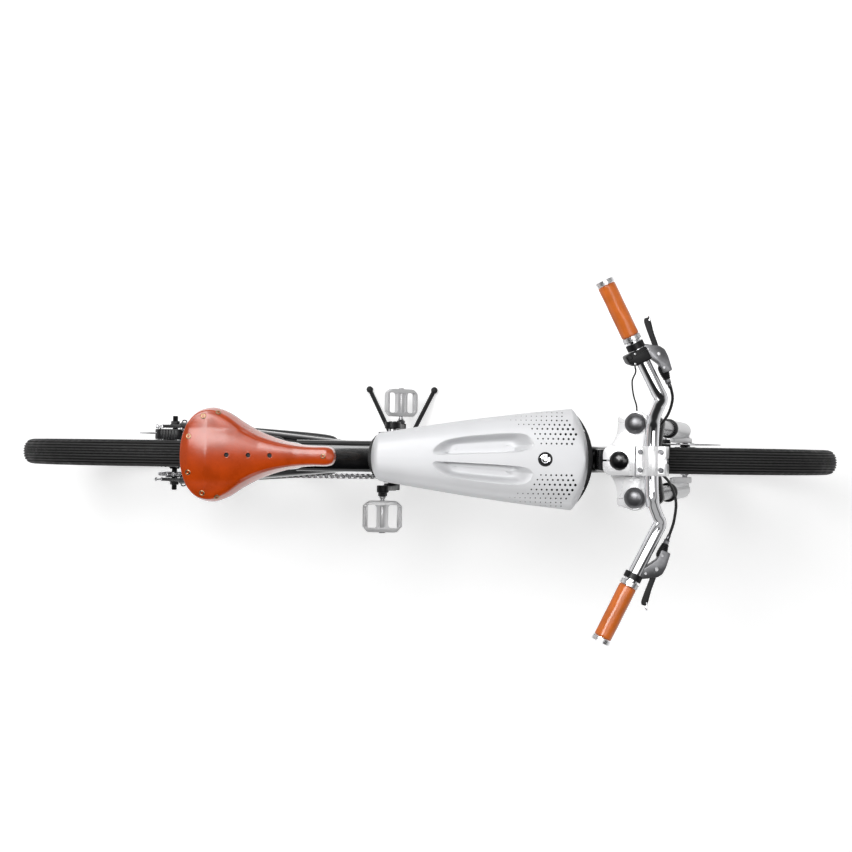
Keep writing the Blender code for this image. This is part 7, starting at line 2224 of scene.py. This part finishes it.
class BICYCLE_OT_cranks(BicycleOperator, bpy.types.Operator):
    """Makes the crank arms"""
    bl_idname = "bicycle.cranks"
    bl_label = "Cranks"

    def execute(self, context):
        build_cranks()
        return {"FINISHED"}


class BICYCLE_OT_pedals(BicycleOperator, bpy.types.Operator):
    """Makes the platform pedals with their spindles"""
    bl_idname = "bicycle.pedals"
    bl_label = "Pedals"

    def execute(self, context):
        build_pedals()
        return {"FINISHED"}


class BICYCLE_OT_seat(BicycleOperator, bpy.types.Operator):
    """Makes the saddle's rails, clamp and post"""
    bl_idname = "bicycle.seat"
    bl_label = "Seat"

    def execute(self, context):
        build_seat()
        return {"FINISHED"}


class BICYCLE_OT_stand(BicycleOperator, bpy.types.Operator):
    """Makes the folding stand"""
    bl_idname = "bicycle.stand"
    bl_label = "Kickstand"

    def execute(self, context):
        build_stand()
        return {"FINISHED"}


class BICYCLE_OT_brakes(BicycleOperator, bpy.types.Operator):
    """Makes the brake calipers"""
    bl_idname = "bicycle.brakes"
    bl_label = "Brakes"

    def execute(self, context):
        build_calipers()
        return {"FINISHED"}


OPERATORS = (
    BICYCLE_OT_finishes, BICYCLE_OT_stage, BICYCLE_OT_tank, BICYCLE_OT_saddle, BICYCLE_OT_wheels,
    BICYCLE_OT_frame, BICYCLE_OT_motor, BICYCLE_OT_headset, BICYCLE_OT_fork, BICYCLE_OT_stem,
    BICYCLE_OT_handlebar, BICYCLE_OT_grips, BICYCLE_OT_levers, BICYCLE_OT_switch, BICYCLE_OT_hoses,
    BICYCLE_OT_chain, BICYCLE_OT_cranks, BICYCLE_OT_pedals, BICYCLE_OT_seat, BICYCLE_OT_stand,
    BICYCLE_OT_brakes, )
SETTINGS = (
    ("bicycle_stage", StageSettings), ("bicycle_finishes", FinishSettings), ("bicycle_tank", TankSettings),
    ("bicycle_saddle", SaddleSettings), ("bicycle_wheels", WheelSettings),
)


class BICYCLE_PT_panel(bpy.types.Panel):
    """The bicycle's pieces and sizes"""
    bl_label = "Electric Bicycle"
    bl_idname = "BICYCLE_PT_panel"
    bl_space_type = "VIEW_3D"
    bl_region_type = "UI"
    bl_category = "Bicycle"

    def draw(self, context):
        for kind in OPERATORS:
            self.layout.operator(kind.bl_idname)
        for name, kind in SETTINGS:
            box = self.layout.box()
            group = getattr(context.scene, name)
            for field in kind.__annotations__:
                box.prop(group, field)


def register():
    for name, kind in SETTINGS:
        bpy.utils.register_class(kind)
        setattr(bpy.types.Scene, name, bpy.props.PointerProperty(type=kind))
    for kind in OPERATORS + (BICYCLE_PT_panel,):
        bpy.utils.register_class(kind)


def unregister():
    for kind in reversed(OPERATORS + (BICYCLE_PT_panel,)):
        bpy.utils.unregister_class(kind)
    for name, kind in reversed(SETTINGS):
        delattr(bpy.types.Scene, name)
        bpy.utils.unregister_class(kind)


def main():
    register()
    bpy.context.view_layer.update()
    for kind in OPERATORS:
        family, name = kind.bl_idname.split(".")
        getattr(getattr(bpy.ops, family), name)()


if __name__ == "__main__":
    main()
